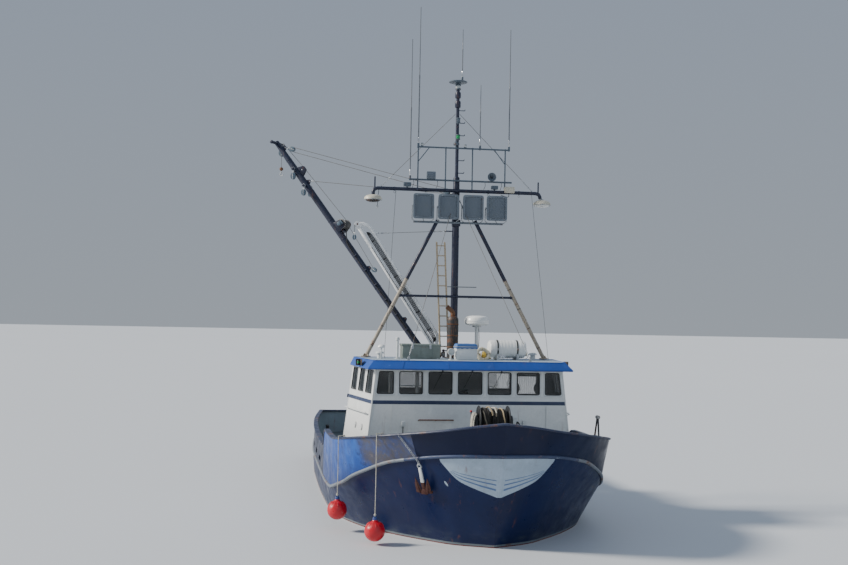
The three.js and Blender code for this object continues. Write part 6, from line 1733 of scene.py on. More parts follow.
# ------------------------------------------------------------ on the wheelhouse roof
def make_roof_gear():
    top = 3.962
    # life raft canister: two ribbed halves, straps and a cradle
    B = Build("life_raft_canister")
    c = Vector((1.23, -3.22, 4.24))
    prof = [(0, 0.002), (0.10, 0.004), (0.185, 0.022), (0.222, 0.055), (0.232, 0.10)]
    x = 0.14
    while x < 0.88:
        prof += [(0.232, x), (0.2345, x + 0.01), (0.2345, x + 0.045), (0.232, x + 0.055)]
        x += 0.085
    prof += [(0.232, 0.92), (0.222, 0.965), (0.185, 0.998), (0.10, 1.016), (0, 1.018)]
    B.lathe(c - Vector((0.51, 0, 0)), c + Vector((1, 0, 0)), prof, M["grp"], 56)
    # parting flange along the middle
    flange = [(-0.505, 0.10), (-0.505, -0.10), (-0.48, -0.20), (-0.42, -0.238), (0.42, -0.238), (0.48, -0.20), (0.505, -0.10), (0.505, 0.10), (0.48, 0.20), (0.42, 0.238), (-0.42, 0.238), (-0.48, 0.20)]
    B.prism([(c.x + u, c.y + v) for u, v in flange], "z", c.z - 0.009, c.z + 0.009, M["grp"], 0.003)
    for dx in (-0.27, 0.25):
        B.ring_lathe(c + Vector((dx - 0.022, 0, 0)), c + Vector((dx + 1, 0, 0)), [(0.2345, 0), (0.2395, 0.001), (0.2395, 0.043), (0.2345, 0.044)], M["rope_dark"], 48)
        B.box(c.x + dx - 0.02, c.x + dx + 0.02, c.y - 0.262, c.y - 0.232, c.z - 0.03, c.z + 0.03, M["steel"], 0.004)
        B.hexa([(c.x + dx - 0.035, c.y - 0.24, top), (c.x + dx + 0.035, c.y - 0.24, top), (c.x + dx + 0.035, c.y + 0.24, top), (c.x + dx - 0.035, c.y + 0.24, top)],
               [(c.x + dx - 0.03, c.y - 0.215, 4.12), (c.x + dx + 0.03, c.y - 0.215, 4.12), (c.x + dx + 0.03, c.y + 0.215, 4.12), (c.x + dx - 0.03, c.y + 0.215, 4.12)], M["galv"], 0.006)
    B.cyl((c.x + 0.50, c.y + 0.02, c.z - 0.13), (c.x + 0.545, c.y + 0.02, c.z - 0.13), 0.05, M["grp_cream"], sides=24)
    B.tube([(c.x + 0.53, c.y + 0.02, c.z - 0.13), (c.x + 0.58, c.y + 0.03, c.z - 0.2), (c.x + 0.52, c.y + 0.12, top + 0.012)], 0.006, M["rope_white"], 7, smooth=12)
    B.done("root", "life_raft", "white_plastic")

    # faded locker with a lid, beads and hasps
    B = Build("roof_locker_box")
    B.box(-1.56, -0.58, -3.56, -3.06, top, 4.30, M["locker"], 0.012, 3)
    B.box(-1.58, -0.56, -3.58, -3.04, 4.295, 4.343, M["locker"], 0.012, 3)
    for x in (-1.36, -1.07, -0.78):
        B.box(x - 0.012, x + 0.012, -3.572, -3.555, 4.0, 4.28, M["locker"], 0.004)
    for x in (-1.3, -0.84):
        B.box(x - 0.025, x + 0.025, -3.592, -3.572, 4.22, 4.335, M["galv"], 0.004)
    for x in (-1.5, -0.64):
        B.box(x - 0.03, x + 0.03, -3.575, -3.045, top, top + 0.022, M["galv"], 0.004)
    B.done("root", "roof_locker", "locker_grey")

    # white box under a tied blue cover
    B = Build("roof_box_body")
    B.box(-0.23, 0.31, -3.98, -3.56, top, 4.30, M["frame_white"], 0.015, 3)
    B.box(-0.15, 0.23, -3.992, -3.975, 4.03, 4.24, M["frame_white"], 0.008)
    B.done("root", (), "box_white")
    bm = bmesh.new()
    nx, ny = 22, 18
    g = [[None] * (ny + 1) for _ in range(nx + 1)]
    for i in range(nx + 1):
        for j in range(ny + 1):
            u, v = i / nx * 2 - 1, j / ny * 2 - 1
            e = max(abs(u), abs(v))
            x, y = 0.04 + 0.288 * u, -3.77 + 0.228 * v
            z = 4.383 - 0.018 * (u * u * 0.3 + v * v) + 0.004 * math.sin(9 * u + 4 * v) * (1 - e)
            if e > 0.90:                                   # skirt drawn in under a cord
                q = (e - 0.90) / 0.10
                z -= 0.105 * q + 0.006 * math.sin(14 * (u - v)) * q
                x = 0.04 + 0.284 * u
            g[i][j] = bm.verts.new((x, y, z))
    for i in range(nx):
        for j in range(ny):
            bm.faces.new((g[i][j], g[i + 1][j], g[i + 1][j + 1], g[i][j + 1]))
    B = Build("roof_box_cover")
    B.add_bm(bm, M["blue_cover"])
    B.tube([(-0.243, -3.993, 4.30), (0.323, -3.993, 4.302), (0.323, -3.547, 4.30), (-0.243, -3.547, 4.302)], 0.006, M["rope_white"], 8, closed=True)
    o = B.done("root", "roof_box", "box_white", angle=60)
    o.modifiers.new("thick", "SOLIDIFY").thickness = 0.004

    # radar dome on a braced post
    B = Build("radar_unit")
    c = Vector((0.52, -2.72, 0))
    B.lathe((c.x, c.y, 4.84), (c.x, c.y, 5.84), [(0, 0), (0.22, 0), (0.262, 0.012), (0.318, 0.045), (0.3245, 0.062), (0.3245, 0.080), (0.321, 0.084), (0.321, 0.090), (0.3235, 0.094), (0.3225, 0.125),
            (0.308, 0.185), (0.275, 0.224), (0.215, 0.250), (0.12, 0.262), (0, 0.265)], M["grp"], 56)
    B.cyl((c.x, c.y, 4.80), (c.x, c.y, 4.845), 0.115, M["galv"], sides=24)
    B.cyl((c.x, c.y, top), (c.x, c.y, 4.81), 0.045, M["frame_white"], sides=20)
    B.cyl((c.x, c.y, top), (c.x, c.y, top + 0.018), 0.118, M["frame_white"], sides=24)
    for i in range(4):
        a = PI / 4 + i * PI / 2
        d = Vector((math.cos(a), math.sin(a), 0))
        B.tube([c + Vector((0, 0, 4.45)) + d * 0.03, c + Vector((0, 0, top + 0.012)) + d * 0.10], 0.010, M["frame_white"], 8)
        B.bolt(c + Vector((0, 0, top + 0.017)) + d * 0.095, (0, 0, 1), 0.009, M["galv"])
    B.tube([(c.x + 0.06, c.y + 0.02, 4.82), (c.x + 0.075, c.y + 0.03, 4.5), (c.x + 0.06, c.y + 0.05, 4.1), (c.x + 0.05, c.y + 0.12, top + 0.008)], 0.008, M["rubber"], 8, smooth=16)
    B.done("root", "radar_dome", "white_plastic")

    # exhaust stack with lagging bands, and its tail pipe
    B = Build("exhaust_pipe")
    c = Vector((-0.13, -2.76, 0))
    B.cyl((c.x, c.y, top), (c.x, c.y, top + 0.03), 0.21, M["black"], sides=32)
    for i in range(8):
        a = 2 * PI * i / 8
        B.bolt((c.x + 0.185 * math.cos(a), c.y + 0.185 * math.sin(a), top + 0.028), (0, 0, 1), 0.010, M["rusty"])
    B.lathe((c.x, c.y, top + 0.02), (c.x, c.y, 6), [(0.150, 0), (0.150, 1.0), (0.145, 1.03), (0.118, 1.078), (0.066, 1.092)], M["black"], 40)
    for z in (4.25, 4.55, 4.85):
        B.ring_lathe((c.x, c.y, z), (c.x, c.y, z + 1), [(0.149, 0), (0.156, 0.002), (0.156, 0.028), (0.149, 0.03)], M["rusty"], 40)
    slot = 0.011
    for i in range(18):
        a = 2 * PI * i / 18
        d, t = Vector((math.cos(a), math.sin(a), 0)), Vector((-math.sin(a), math.cos(a), 0))
        p = c + d * 0.1515
        B.add([p + t * slot + Vector((0, 0, 4.60)), p - t * slot + Vector((0, 0, 4.60)), p - t * slot + Vector((0, 0, 4.78)), p + t * slot + Vector((0, 0, 4.78))], [(0, 1, 2, 3)], M["gasket"])
    B.tube([(c.x, c.y, 5.03), (c.x, c.y, 5.13), (c.x - 0.02, c.y, 5.19), (c.x - 0.06, c.y, 5.235), (c.x - 0.155, c.y, 5.315)], 0.060, M["rusty"], 24, smooth=18, caps=True)
    B.cyl((c.x - 0.150, c.y, 5.311), (c.x - 0.172, c.y, 5.3305), 0.052, M["gasket"], sides=24, bevel=0.001)
    B.ring_lathe((c.x - 0.14, c.y, 5.302), (c.x - 0.14 - 0.76, c.y, 5.302 + 0.65), [(0.055, 0), (0.066, 0), (0.066, 0.03), (0.055, 0.03)], M["rusty"], 28)
    B.done("root", "exhaust_stack", "black_steel")

    # searchlight, pale post with a lamp, life ring, coiled hose, and small vents
    B = Build("roof_fittings")
    c = Vector((-0.36, -3.86, 0))
    B.cyl((c.x, c.y, top - 0.01), (c.x, c.y, top + 0.014), 0.06, M["grp"], sides=24)
    B.cyl((c.x, c.y, top), (c.x, c.y, 4.10), 0.022, M["frame_white"], sides=16)
    B.lathe((c.x, c.y + 0.10, 4.17), (c.x, c.y - 1, 4.17), [(0, 0), (0.05, 0.01), (0.078, 0.05), (0.085, 0.11), (0.085, 0.19), (0.090, 0.195), (0.090, 0.212), (0.080, 0.214), (0.078, 0.205), (0, 0.20)], M["grp"], 32)
    B.lathe((c.x, c.y - 0.104, 4.17), (c.x, c.y - 1, 4.17), [(0.077, 0), (0.05, 0.010), (0, 0.014)], M["lens_clear"], 32)
    p = Vector((-1.66, -3.34, 0))
    B.tube([(p.x, p.y, top), (p.x, p.y, 4.44)], 0.030, M["frame_white"], 14)
    B.cyl((p.x, p.y, top - 0.01), (p.x, p.y, top + 0.012), 0.07, M["frame_white"], sides=20)
    B.lathe((p.x, p.y, 4.43), (p.x, p.y, 5.4), [(0.05, 0), (0.055, 0.02), (0.05, 0.06), (0.03, 0.08), (0, 0.085)], M["frame_white"], 20)
    # cream ring and folded tan gear between the box and the raft
    r = Vector((0.56, -3.42, 4.10))
    B.torus(r, (0.25, -1, 0.55), 0.155, 0.048, M["grp_cream"], 44, 16)
    for i in range(4):
        a = PI / 4 + PI / 2 * i
        n = Vector((0.25, -1, 0.55)).normalized()
        u = n.orthogonal().normalized()
        w = n.cross(u)
        d = u * math.cos(a) + w * math.sin(a)
        B.torus(r + d * 0.155, d.cross(n), 0.052, 0.006, M["rope_tan"], 20, 6)
    for k in range(6):
        B.torus((0.40 + 0.012 * (k % 3), -3.05 + 0.01 * (k % 2), top + 0.014 + 0.024 * k), (0.04 * math.sin(k * 2.1), 0.04 * math.cos(k * 1.7), 1), 0.17 - 0.008 * (k % 3), 0.013, M["rope_tan"] if k % 2 else M["yellow"], 36, 8)
    B.hexa([(0.62, -3.05, top), (0.86, -3.05, top), (0.86, -2.82, top), (0.62, -2.82, top)], [(0.64, -3.03, 4.17), (0.84, -3.04, 4.20), (0.84, -2.85, 4.18), (0.65, -2.84, 4.16)], M["yellow"], 0.02, 3)
    for x, y in ((-2.1, -3.2), (2.05, -2.75)):
        v = Vector((x, y, top))
        B.lathe(v, v + Vector((0, 0, 1)), [(0.07, -0.01), (0.065, 0.12), (0.11, 0.118), (0.112, 0.135), (0.09, 0.165), (0.04, 0.18), (0, 0.182)], M["frame_white"], 24)
    # horn and satellite compass
    h = Vector((0.95, -3.95, top))
    B.cyl(h, h + Vector((0, 0, 0.10)), 0.012, M["galv"], sides=12)
    for dx, L in ((-0.035, 0.26), (0.035, 0.20)):
        a = h + Vector((dx, 0.13, 0.115))
        B.lathe(a, a - Vector((0, 1, 0)), [(0.020, 0), (0.022, 0.04), (0.010, 0.06), (0.013, L * 0.6), (0.024, L * 0.9), (0.042, L), (0.038, L + 0.001), (0.018, L * 0.85), (0, L * 0.8)], M["chrome"], 24)
    s = Vector((-2.12, -3.75, top))
    B.cyl(s, s + Vector((0, 0, 0.28)), 0.016, M["frame_white"], sides=14)
    B.lathe(s + Vector((0, 0, 0.27)), s + Vector((0, 0, 2)), [(0.02, 0), (0.085, 0.01), (0.095, 0.03), (0.09, 0.055), (0.06, 0.085), (0, 0.097)], M["grp"], 32)
    B.done("root", (), "white_plastic")


make_roof_gear()


# ------------------------------------------------------------ mast and its rigging
MX, MY, BY = 0.0, -2.17, -2.328          # pole, and the bars that lie ahead of it
ARM, LOW, HIGH = 8.45, 8.72, 9.6         # crossarm, lower and upper rack bars


def shackle(B, p, d, size, mat):
    """Bow of a shackle hanging in direction d from p."""
    p, d = Vector(p), Vector(d).normalized()
    n = d.orthogonal().normalized()
    pts = [p - n * size * 0.45, p - n * size * 0.5 + d * size * 0.5, p - n * size * 0.3 + d * size, p + d * size * 1.15,
           p + n * size * 0.3 + d * size, p + n * size * 0.5 + d * size * 0.5, p + n * size * 0.45]
    B.tube(pts, size * 0.13, mat, 8, smooth=14)
    B.cyl(p - n * size * 0.68, p + n * size * 0.72, size * 0.15, mat, sides=10)


def block(B, top, down, size, mat="machine", axis=None, hook=True):
    """Rope block: two rounded cheeks, a sheave, a pin and a shackle on top."""
    t, d = Vector(top), Vector(down).normalized()
    a = Vector(axis).normalized() if axis is not None else d.orthogonal().normalized()
    a = (a - d * a.dot(d)).normalized()
    e = a.cross(d)
    if hook:
        shackle(B, t, d, size * 0.42, M["galv"])
    c = t + d * size * 1.12
    outline = [(math.cos(q) * size * 0.50, math.sin(q) * size * 0.66) for q in (2 * PI * i / 24 for i in range(24))]
    for s in (-1, 1):
        lo, hi = s * size * 0.17, s * size * 0.24
        B.hexa([c + e * u + d * v + a * lo for u, v in outline], [c + e * u + d * v + a * hi for u, v in outline], M[mat], 0.003)
        B.tube([c - d * size * 0.60 + a * s * size * 0.25, c + d * size * 0.60 + a * s * size * 0.25], size * 0.045, M["galv"], 8)
    B.ring_lathe(c - a * size * 0.13, c + a, [(size * 0.10, 0), (size * 0.50, 0), (size * 0.50, size * 0.03), (size * 0.42, size * 0.13), (size * 0.50, size * 0.23), (size * 0.50, size * 0.26), (size * 0.10, size * 0.26)], M["steel"], 28)
    B.cyl(c - a * size * 0.30, c + a * size * 0.30, size * 0.10, M["galv"], sides=12)
    for v in (-0.58, 0.58):
        B.cyl(c + d * size * v - a * size * 0.2, c + d * size * v + a * size * 0.2, size * 0.05, M["galv"], sides=8)
    return c


def wire_end(B, p, d, r=0.006):
    """Swaged eye and turnbuckle of a stay at p, with the wire leaving along d."""
    p, d = Vector(p), Vector(d).normalized()
    n = d.orthogonal().normalized()
    shackle(B, p, d, 0.05, M["galv"])
    a = p + d * 0.075
    B.cyl(a, a + d * 0.05, 0.008, M["galv"], sides=10)
    for s in (-1, 1):
        B.tube([a + d * 0.05 + n * s * 0.014, a + d * 0.23 + n * s * 0.014], 0.006, M["galv"], 8)
    for k in (0.05, 0.225):
        B.cyl(a + d * k, a + d * (k + 0.02), 0.022, M["galv"], sides=12)
    B.cyl(a + d * 0.24, a + d * 0.36, 0.0095, M["galv"], sides=10)
    return a + d * 0.34


def floodlight(B, c, mat):
    x, z0, z1 = c, 7.66, 8.33
    y0, y1 = BY - 0.19, BY + 0.05
    w = 0.28
    outline = round_poly([(x - w, z0), (x + w, z0), (x + w, z1), (x - w, z1)], 0.07, 5)
    inner = round_poly([(x - w + 0.055, z0 + 0.055), (x + w - 0.055, z0 + 0.055), (x + w - 0.055, z1 - 0.055), (x - w + 0.055, z1 - 0.055)], 0.04, 5)
    # body tapers to the back
    B.hexa([(u, y0 + 0.02, v) for u, v in outline], [(x + (u - x) * 0.80, y1 - 0.02, (z0 + z1) / 2 + (v - (z0 + z1) / 2) * 0.82) for u, v in outline], M[mat], 0.006)
    for i in range(7):
        zz = z0 + 0.12 + i * 0.072
        B.box(x - 0.20, x + 0.20, y1 - 0.045, y1 + 0.002, zz, zz + 0.010, M[mat], 0.002)
    # bezel round the glass
    B.plate(outline, [inner], lambda u, v, w_: Vector((u, y0 + w_, v)), 0.045, M[mat], 0.006)
    B.plate([(x + (u - x) * 1.02, (z0 + z1) / 2 + (v - (z0 + z1) / 2) * 1.02) for u, v in inner], [], lambda u, v, w_: Vector((u, y0 + 0.018 + w_, v)), 0.005, M["lens"], 0.001)
    for i in range(4):
        a = PI / 4 + i * PI / 2
        B.bolt((x + 0.335 * math.cos(a) * 0.74, y0 + 0.002, (z0 + z1) / 2 + 0.40 * math.sin(a) * 1.02), (0, -1, 0), 0.008, M["galv"])
    # yoke down to the bar
    for s in (-1, 1):
        B.tube([(x + s * 0.292, BY - 0.06, (z0 + z1) / 2), (x + s * 0.292, BY - 0.03, 7.66), (x + s * 0.20, BY, 7.585)], 0.013, M["galv"], 8)
        B.cyl((x + s * 0.270, BY - 0.06, (z0 + z1) / 2), (x + s * 0.298, BY - 0.06, (z0 + z1) / 2), 0.028, M["galv"], sides=14)
    B.tube([(x, y1 - 0.01, z0 + 0.14), (x + 0.03, y1 + 0.03, z0), (x + 0.06, BY + 0.03, 7.60)], 0.008, M["rubber"], 7, smooth=10)


def deck_lamp(B, x, mat, bowl):
    """Round topped deck light that hangs from the end of the crossarm."""
    c = Vector((x, BY, 0))
    B.cyl((x, BY, 8.245), (x, BY, 8.30), 0.045, M["galv"], sides=16)
    B.lathe((x, BY, 8.27), (x, BY, 7), [(0.05, 0.0), (0.11, 0.004), (0.165, 0.02), (0.205, 0.045), (0.228, 0.075), (0.235, 0.105), (0.238, 0.112), (0.238, 0.126), (0.228, 0.130)], M[mat], 40)
    B.ring_lathe((x, BY, 8.142), (x, BY, 7), [(0.205, 0), (0.236, 0), (0.240, 0.006), (0.236, 0.014), (0.205, 0.014)], M["galv"], 40)
    B.lathe((x, BY, 8.14), (x, BY, 7), [(0.208, 0), (0.196, 0.020), (0.160, 0.046), (0.09, 0.063), (0, 0.068)], M[bowl], 40)
    for i in range(3):
        a = 2 * PI * i / 3 + 0.3
        d = Vector((math.cos(a), math.sin(a), 0))
        B.box(*(sorted((x + d.x * 0.236 - 0.012, x + d.x * 0.236 + 0.012))), *(sorted((BY + d.y * 0.236 - 0.012, BY + d.y * 0.236 + 0.012))), 8.118, 8.165, M["galv"], 0.002)


def whip(B, x, z0, z1, r=0.016, mat="white_aerial", y=None):
    y = BY if y is None else y
    B.cyl((x, y, z0 - 0.03), (x, y, z0 + 0.10), 0.030, M["rack"], sides=16)
    B.cyl((x, y, z0 + 0.09), (x, y, z0 + 0.26), 0.022, M["chrome"], sides=16)
    L = z1 - z0
    B.lathe((x, y, z0 + 0.24), (x, y, z0 + 5), [(r, 0), (r, L * 0.42), (r * 1.15, L * 0.425), (r * 1.15, L * 0.445), (r * 0.8, L * 0.45), (r * 0.55, L - 0.27), (r * 0.7, L - 0.265), (r * 0.5, L - 0.245), (0, L - 0.24)], M[mat], 12)


def make_mast():
    B = Build("mast_pole")
    B.lathe((0, MY, 2.93), (0, MY, 12), [(0.10, 0.0), (0.10, 0.6), (0.0975, 3.0), (0.093, 5.0), (0.085, 5.87), (0.080, 5.89), (0.046, 5.93), (0.046, 8.45)], M["mastblue"], 40)
    B.cyl((0, MY, 2.925), (0, MY, 2.955), 0.175, M["mastblue"], sides=36, bevel=0.005)
    for i in range(8):
        a = 2 * PI * (i + 0.5) / 8
        d = Vector((math.cos(a), math.sin(a), 0))
        B.bolt(Vector((0, MY, 2.953)) + d * 0.145, (0, 0, 1), 0.013, M["rusty"])
        B.hexa([Vector((0, MY, 2.95)) + d * 0.097 + Vector((-d.y, d.x, 0)) * k for k in (0.004, -0.004)] + [Vector((0, MY, 2.95)) + d * 0.165 + Vector((-d.y, d.x, 0)) * k for k in (-0.004, 0.004)],
               [Vector((0, MY, 3.02)) + d * 0.097 + Vector((-d.y, d.x, 0)) * k for k in (0.004, -0.004)] + [Vector((0, MY, 2.96)) + d * 0.165 + Vector((-d.y, d.x, 0)) * k for k in (-0.004, 0.004)], M["mastblue"], 0.001)
    for z in (5.58, 7.2, 8.35):
        r = 0.1 - (z - 3) * 0.0025
        B.ring_lathe((0, MY, z), (0, MY, z + 1), [(r - 0.004, 0), (r + 0.009, 0.002), (r + 0.009, 0.068), (r - 0.004, 0.07)], M["mastblue"], 36)
    B.box(-0.11, 0.11, -2.29, -2.15, 7.50, 7.67, M["mastblue"], 0.006)        # pad behind the lamp bar
    B.box(-0.07, 0.07, -2.31, -2.15, 8.40, 8.50, M["mastblue"], 0.006)
    # hinge plates of the two booms, each with a pin
    for z in (3.0355, 3.4305):
        o = round_poly([(-0.058, MY), (0.058, MY), (0.058, -1.985), (0.03, -1.947), (-0.03, -1.947), (-0.058, -1.985)], 0.02, 4)
        B.prism(o, "z", z, z + 0.034, M["mastblue"], 0.004)
    B.cyl((0, -2.0, 3.018), (0, -2.0, 3.49), 0.0295, M["steel"], sides=20)
    B.bolt((0, -2.0, 3.464), (0, 0, 1), 0.036, M["rusty"])
    B.bolt((0, -2.0, 3.0355), (0, 0, -1), 0.036, M["rusty"])
    for z in (3.9405, 4.1325):
        o = round_poly([(-0.05, MY - 0.048), (-0.05, MY + 0.048), (-0.28, MY + 0.046), (-0.313, MY + 0.02), (-0.313, MY - 0.02), (-0.28, MY - 0.046)], 0.02, 4)
        B.prism(o, "z", z, z + 0.027, M["mastblue"], 0.003)
    B.cyl((-0.27, MY, 3.93), (-0.27, MY, 4.175), 0.0235, M["steel"], sides=18)
    B.bolt((-0.27, MY, 4.159), (0, 0, 1), 0.028, M["rusty"])
    # topping eyes, each a plate with a pin; shackles and a block are hung on them with the booms
    B.prism(round_poly([(-0.03, MY), (0.03, MY), (0.038, -1.975), (0.0, -1.962), (-0.038, -1.975)], 0.012, 3), "z", 8.39, 8.43, M["mastblue"], 0.004)
    B.cyl((0, -2.0, 8.37), (0, -2.0, 8.45), 0.017, M["galv"], sides=14)
    B.prism(round_poly([(-0.05, MY - 0.028), (-0.05, MY + 0.028), (-0.28, MY + 0.032), (-0.308, MY), (-0.28, MY - 0.032)], 0.012, 3), "z", 7.35, 7.38, M["mastblue"], 0.004)
    B.cyl((-0.27, MY, 7.33), (-0.27, MY, 7.40), 0.014, M["galv"], sides=14)
    # rungs up the pole over the crossarm, on the port side
    for i in range(6):
        z = 8.95 + i * 0.34
        B.tube([(0.035, MY, z), (0.19, MY, z), (0.20, MY, z + 0.012), (0.20, MY, z + 0.035)], 0.010, M["mastblue"], 8)
    # lights on the pole and the round plate at its top
    c = Vector((0, MY, 11.215))
    B.ring_lathe(c, c + Vector((0, 0, 1)), [(0.046, 0), (0.078, 0), (0.078, 0.03), (0.066, 0.034), (0.066, 0.112), (0.078, 0.116), (0.078, 0.14), (0.046, 0.145)], M["rack"], 28)
    B.ring_lathe(c + Vector((0, 0, 0.034)), c + Vector((0, 0, 1)), [(0.067, 0), (0.072, 0.002), (0.072, 0.074), (0.067, 0.076)], M["lens_clear"], 28)
    for z, h in ((10.72, 0.19), (10.98, 0.17)):
        B.ring_lathe((0, MY, z), (0, MY, z + 1), [(0.044, 0), (0.070, 0.006), (0.078, 0.02), (0.078, h - 0.02), (0.070, h - 0.006), (0.044, h)], M["mastblue"], 28)
    for z, m in ((10.30, "lens"), (9.85, "green_lamp")):
        c = Vector((0, MY - 0.135, z))
        B.box(-0.02, 0.02, MY - 0.16, MY - 0.03, z - 0.03, z - 0.012, M["rack"], 0.003)
        B.lathe(c - Vector((0, 0, 0.014)), c + Vector((0, 0, 1)), [(0.055, 0), (0.06, 0.008), (0.06, 0.022), (0.044, 0.026), (0.044, 0.115), (0.058, 0.12), (0.056, 0.14), (0, 0.152)], M["rack"], 24)
        B.ring_lathe(c + Vector((0, 0, 0.014)), c + Vector((0, 0, 1)), [(0.045, 0), (0.050, 0.002), (0.050, 0.084), (0.045, 0.086)], M[m], 24)
    B.cyl((0, MY, 11.375), (0, MY, 11.40), 0.07, M["rack"], sides=24)
    B.lathe((0, MY, 11.398), (0, MY, 12), [(0.15, 0), (0.235, 0.008), (0.249, 0.016), (0.249, 0.032), (0.22, 0.048), (0.10, 0.060), (0, 0.061)], M["rack"], 44)
    # a short aerial on the plate, a little to port
    whip(B, 0.11, 11.475, 12.88, 0.013, y=MY)
    # cable run down the after side with clips
    for k, dx in enumerate((-0.024, 0.0, 0.024)):
        B.tube([(dx, MY + 0.088, 8.2), (dx * 1.2, MY + 0.100, 6.4), (dx, MY + 0.103, 4.4), (dx * 1.5, MY + 0.105, 3.56)], 0.009, M["rubber"], 8, smooth=22)
    for i in range(9):
        z = 3.75 + i * 0.5
        B.box(-0.045, 0.045, MY + 0.07, MY + 0.116, z, z + 0.02, M["galv"], 0.003)
    B.done("root", "mast", "mast_blue")

    # the two legs: tan below, navy above, with a foot plate each
    for side in (-1, 1):
        name = "mast_leg_port" if side > 0 else "mast_leg_stbd"
        B = Build(name + "_tube")
        a, b = Vector((side * 0.51, BY + 0.06, 7.65)), Vector((side * 2.40, -2.56, 3.98))
        m = a.lerp(b, 0.43)
        d = (b - a).normalized()
        B.cyl(a - d * 0.01, m, 0.0515, M["mastblue"], sides=28)
        B.cyl(m - d * 0.002, b + d * 0.015, 0.0512, M["masttan"], sides=28)
        for t in (0.43, 0.72):
            c = a.lerp(b, t)
            B.ring_lathe(c, c + d, [(0.05, -0.01), (0.056, -0.008), (0.056, 0.030), (0.05, 0.032)], M["mastblue"] if t < 0.5 else M["masttan"], 28)
        B.cyl((b.x, b.y, 3.972), (b.x, b.y, 3.992), 0.128, M["masttan"], sides=28)
        for i in range(6):
            q = 2 * PI * i / 6
            B.bolt((b.x + 0.103 * math.cos(q), b.y + 0.103 * math.sin(q), 3.991), (0, 0, 1), 0.010, M["rusty"])
        for q in (0.6, 0.6 + PI / 2, 0.6 + PI, 0.6 + 3 * PI / 2):
            e = Vector((math.cos(q), math.sin(q), 0))
            f = Vector((-e.y, e.x, 0)) * 0.004
            base = Vector((b.x, b.y, 3.990))
            B.hexa([base + e * 0.03 - f, base + e * 0.03 + f, base + e * 0.115 + f, base + e * 0.115 - f],
                   [base + e * 0.03 - f + Vector((0, 0, 0.07)), base + e * 0.03 + f + Vector((0, 0, 0.07)), base + e * 0.055 + f + Vector((0, 0, 0.07)), base + e * 0.055 - f + Vector((0, 0, 0.07))], M["masttan"], 0.001)
        # a cable tied along the leg
        n = d.cross(Vector((0, 1, 0))).normalized()
        off = Vector((0, 0.058, 0))
        B.tube([a.lerp(b, t) + off + n * 0.006 * math.sin(t * 17) for t in (0.04, 0.2, 0.36, 0.52, 0.68, 0.84, 0.985)], 0.0075, M["rubber"], 7, smooth=36)
        for i in range(7):
            c = a.lerp(b, 0.08 + i * 0.14)
            B.ring_lathe(c - d * 0.007, c + d, [(0.0515, 0), (0.0545, 0), (0.0545, 0.014), (0.0515, 0.014)], M["black"], 20)
            B.box(c.x - 0.012, c.x + 0.012, c.y + 0.045, c.y + 0.070, c.z - 0.008, c.z + 0.008, M["black"], 0.002)
        B.done("root", name, "mast_blue")

    B = Build("mast_brace_tube")
    t = (7.65 - 5.6) / (7.65 - 3.98)
    hx, yy = 0.51 + (2.40 - 0.51) * t, (BY + 0.06) + (-2.56 - BY - 0.06) * t
    B.cyl((-hx + 0.03, yy, 5.6), (hx - 0.03, yy, 5.6), 0.0318, M["mastblue"], sides=22)
    for side in (-1, 1):
        B.ring_lathe((side * (hx - 0.09), yy, 5.6), (side * (hx + 1), yy, 5.6), [(0.031, 0), (0.038, 0.002), (0.046, 0.055), (0.031, 0.055)], M["mastblue"], 24)
        B.tube([(side * 0.35, yy, 5.6), (side * 0.35, yy, 5.555), (side * 0.39, yy, 5.54), (side * 0.43, yy, 5.56), (side * 0.43, yy, 5.6)], 0.008, M["galv"], 8)
    # aluminium bar with small sockets a little above it
    B.tube([(-0.06, MY, 5.86), (-0.07, yy, 5.86)], 0.012, M["rack"], 8)
    B.tube([(-0.24, yy, 5.86), (0.55, yy, 5.86)], 0.012, M["white_aerial"], 10)
    B.tube([(0.05, MY, 5.86), (0.07, yy, 5.86)], 0.012, M["rack"], 8)
    B.done("root", "mast_brace", "mast_blue")

    # crossarm: its ends bend down to the two lamps
    B = Build("mast_crossarm_tube")
    pts = [(-2.27, BY, 8.27), (-2.27, BY, 8.355), (-2.235, BY, 8.42), (-2.16, BY, ARM), (-1.2, BY, ARM), (0, BY, ARM), (1.2, BY, ARM), (2.16, BY, ARM), (2.245, BY, 8.425), (2.28, BY, 8.36), (2.288, BY, 8.30)]
    B.tube(pts, 0.047, M["mastblue"], 22)
    for x in (-2.23, 2.23):
        B.tube([(x, BY, ARM + 0.01), (x, BY, 8.74)], 0.020, M["mastblue"], 12)
        B.sphere((x, BY, 8.742), 0.021, M["mastblue"], 12, 8)
    for x in (-1.7, -0.85, 0.85, 1.7):
        B.ring_lathe((x - 0.02, BY, ARM), (x + 1, BY, ARM), [(0.046, 0), (0.053, 0.001), (0.053, 0.039), (0.046, 0.04)], M["mastblue"], 24)
        B.tube([(x, BY, ARM - 0.04), (x - 0.028, BY, ARM - 0.09), (x, BY, ARM - 0.115), (x + 0.028, BY, ARM - 0.09), (x, BY, ARM - 0.04)], 0.007, M["galv"], 8, smooth=16)
    # gussets to the pole, and the stay wires from the arm's ends to the top of the pole
    for side in (-1, 1):
        B.hexa([(side * 0.05, BY + 0.03, ARM - 0.03), (side * 0.05, BY + 0.09, ARM - 0.03), (side * 0.30, BY + 0.035, ARM - 0.03), (side * 0.30, BY + 0.02, ARM - 0.03)],
               [(side * 0.05, BY + 0.03, ARM + 0.03), (side * 0.05, BY + 0.09, ARM + 0.03), (side * 0.30, BY + 0.035, ARM + 0.03), (side * 0.30, BY + 0.02, ARM + 0.03)], M["mastblue"], 0.004)
        end = wire_end(B, (side * 2.05, BY, ARM + 0.055), (-side * 1.98, MY - BY, 10.55 - ARM))
        B.tube([end, (side * 0.06, MY, 10.55)], 0.006, M["wire"], 6)
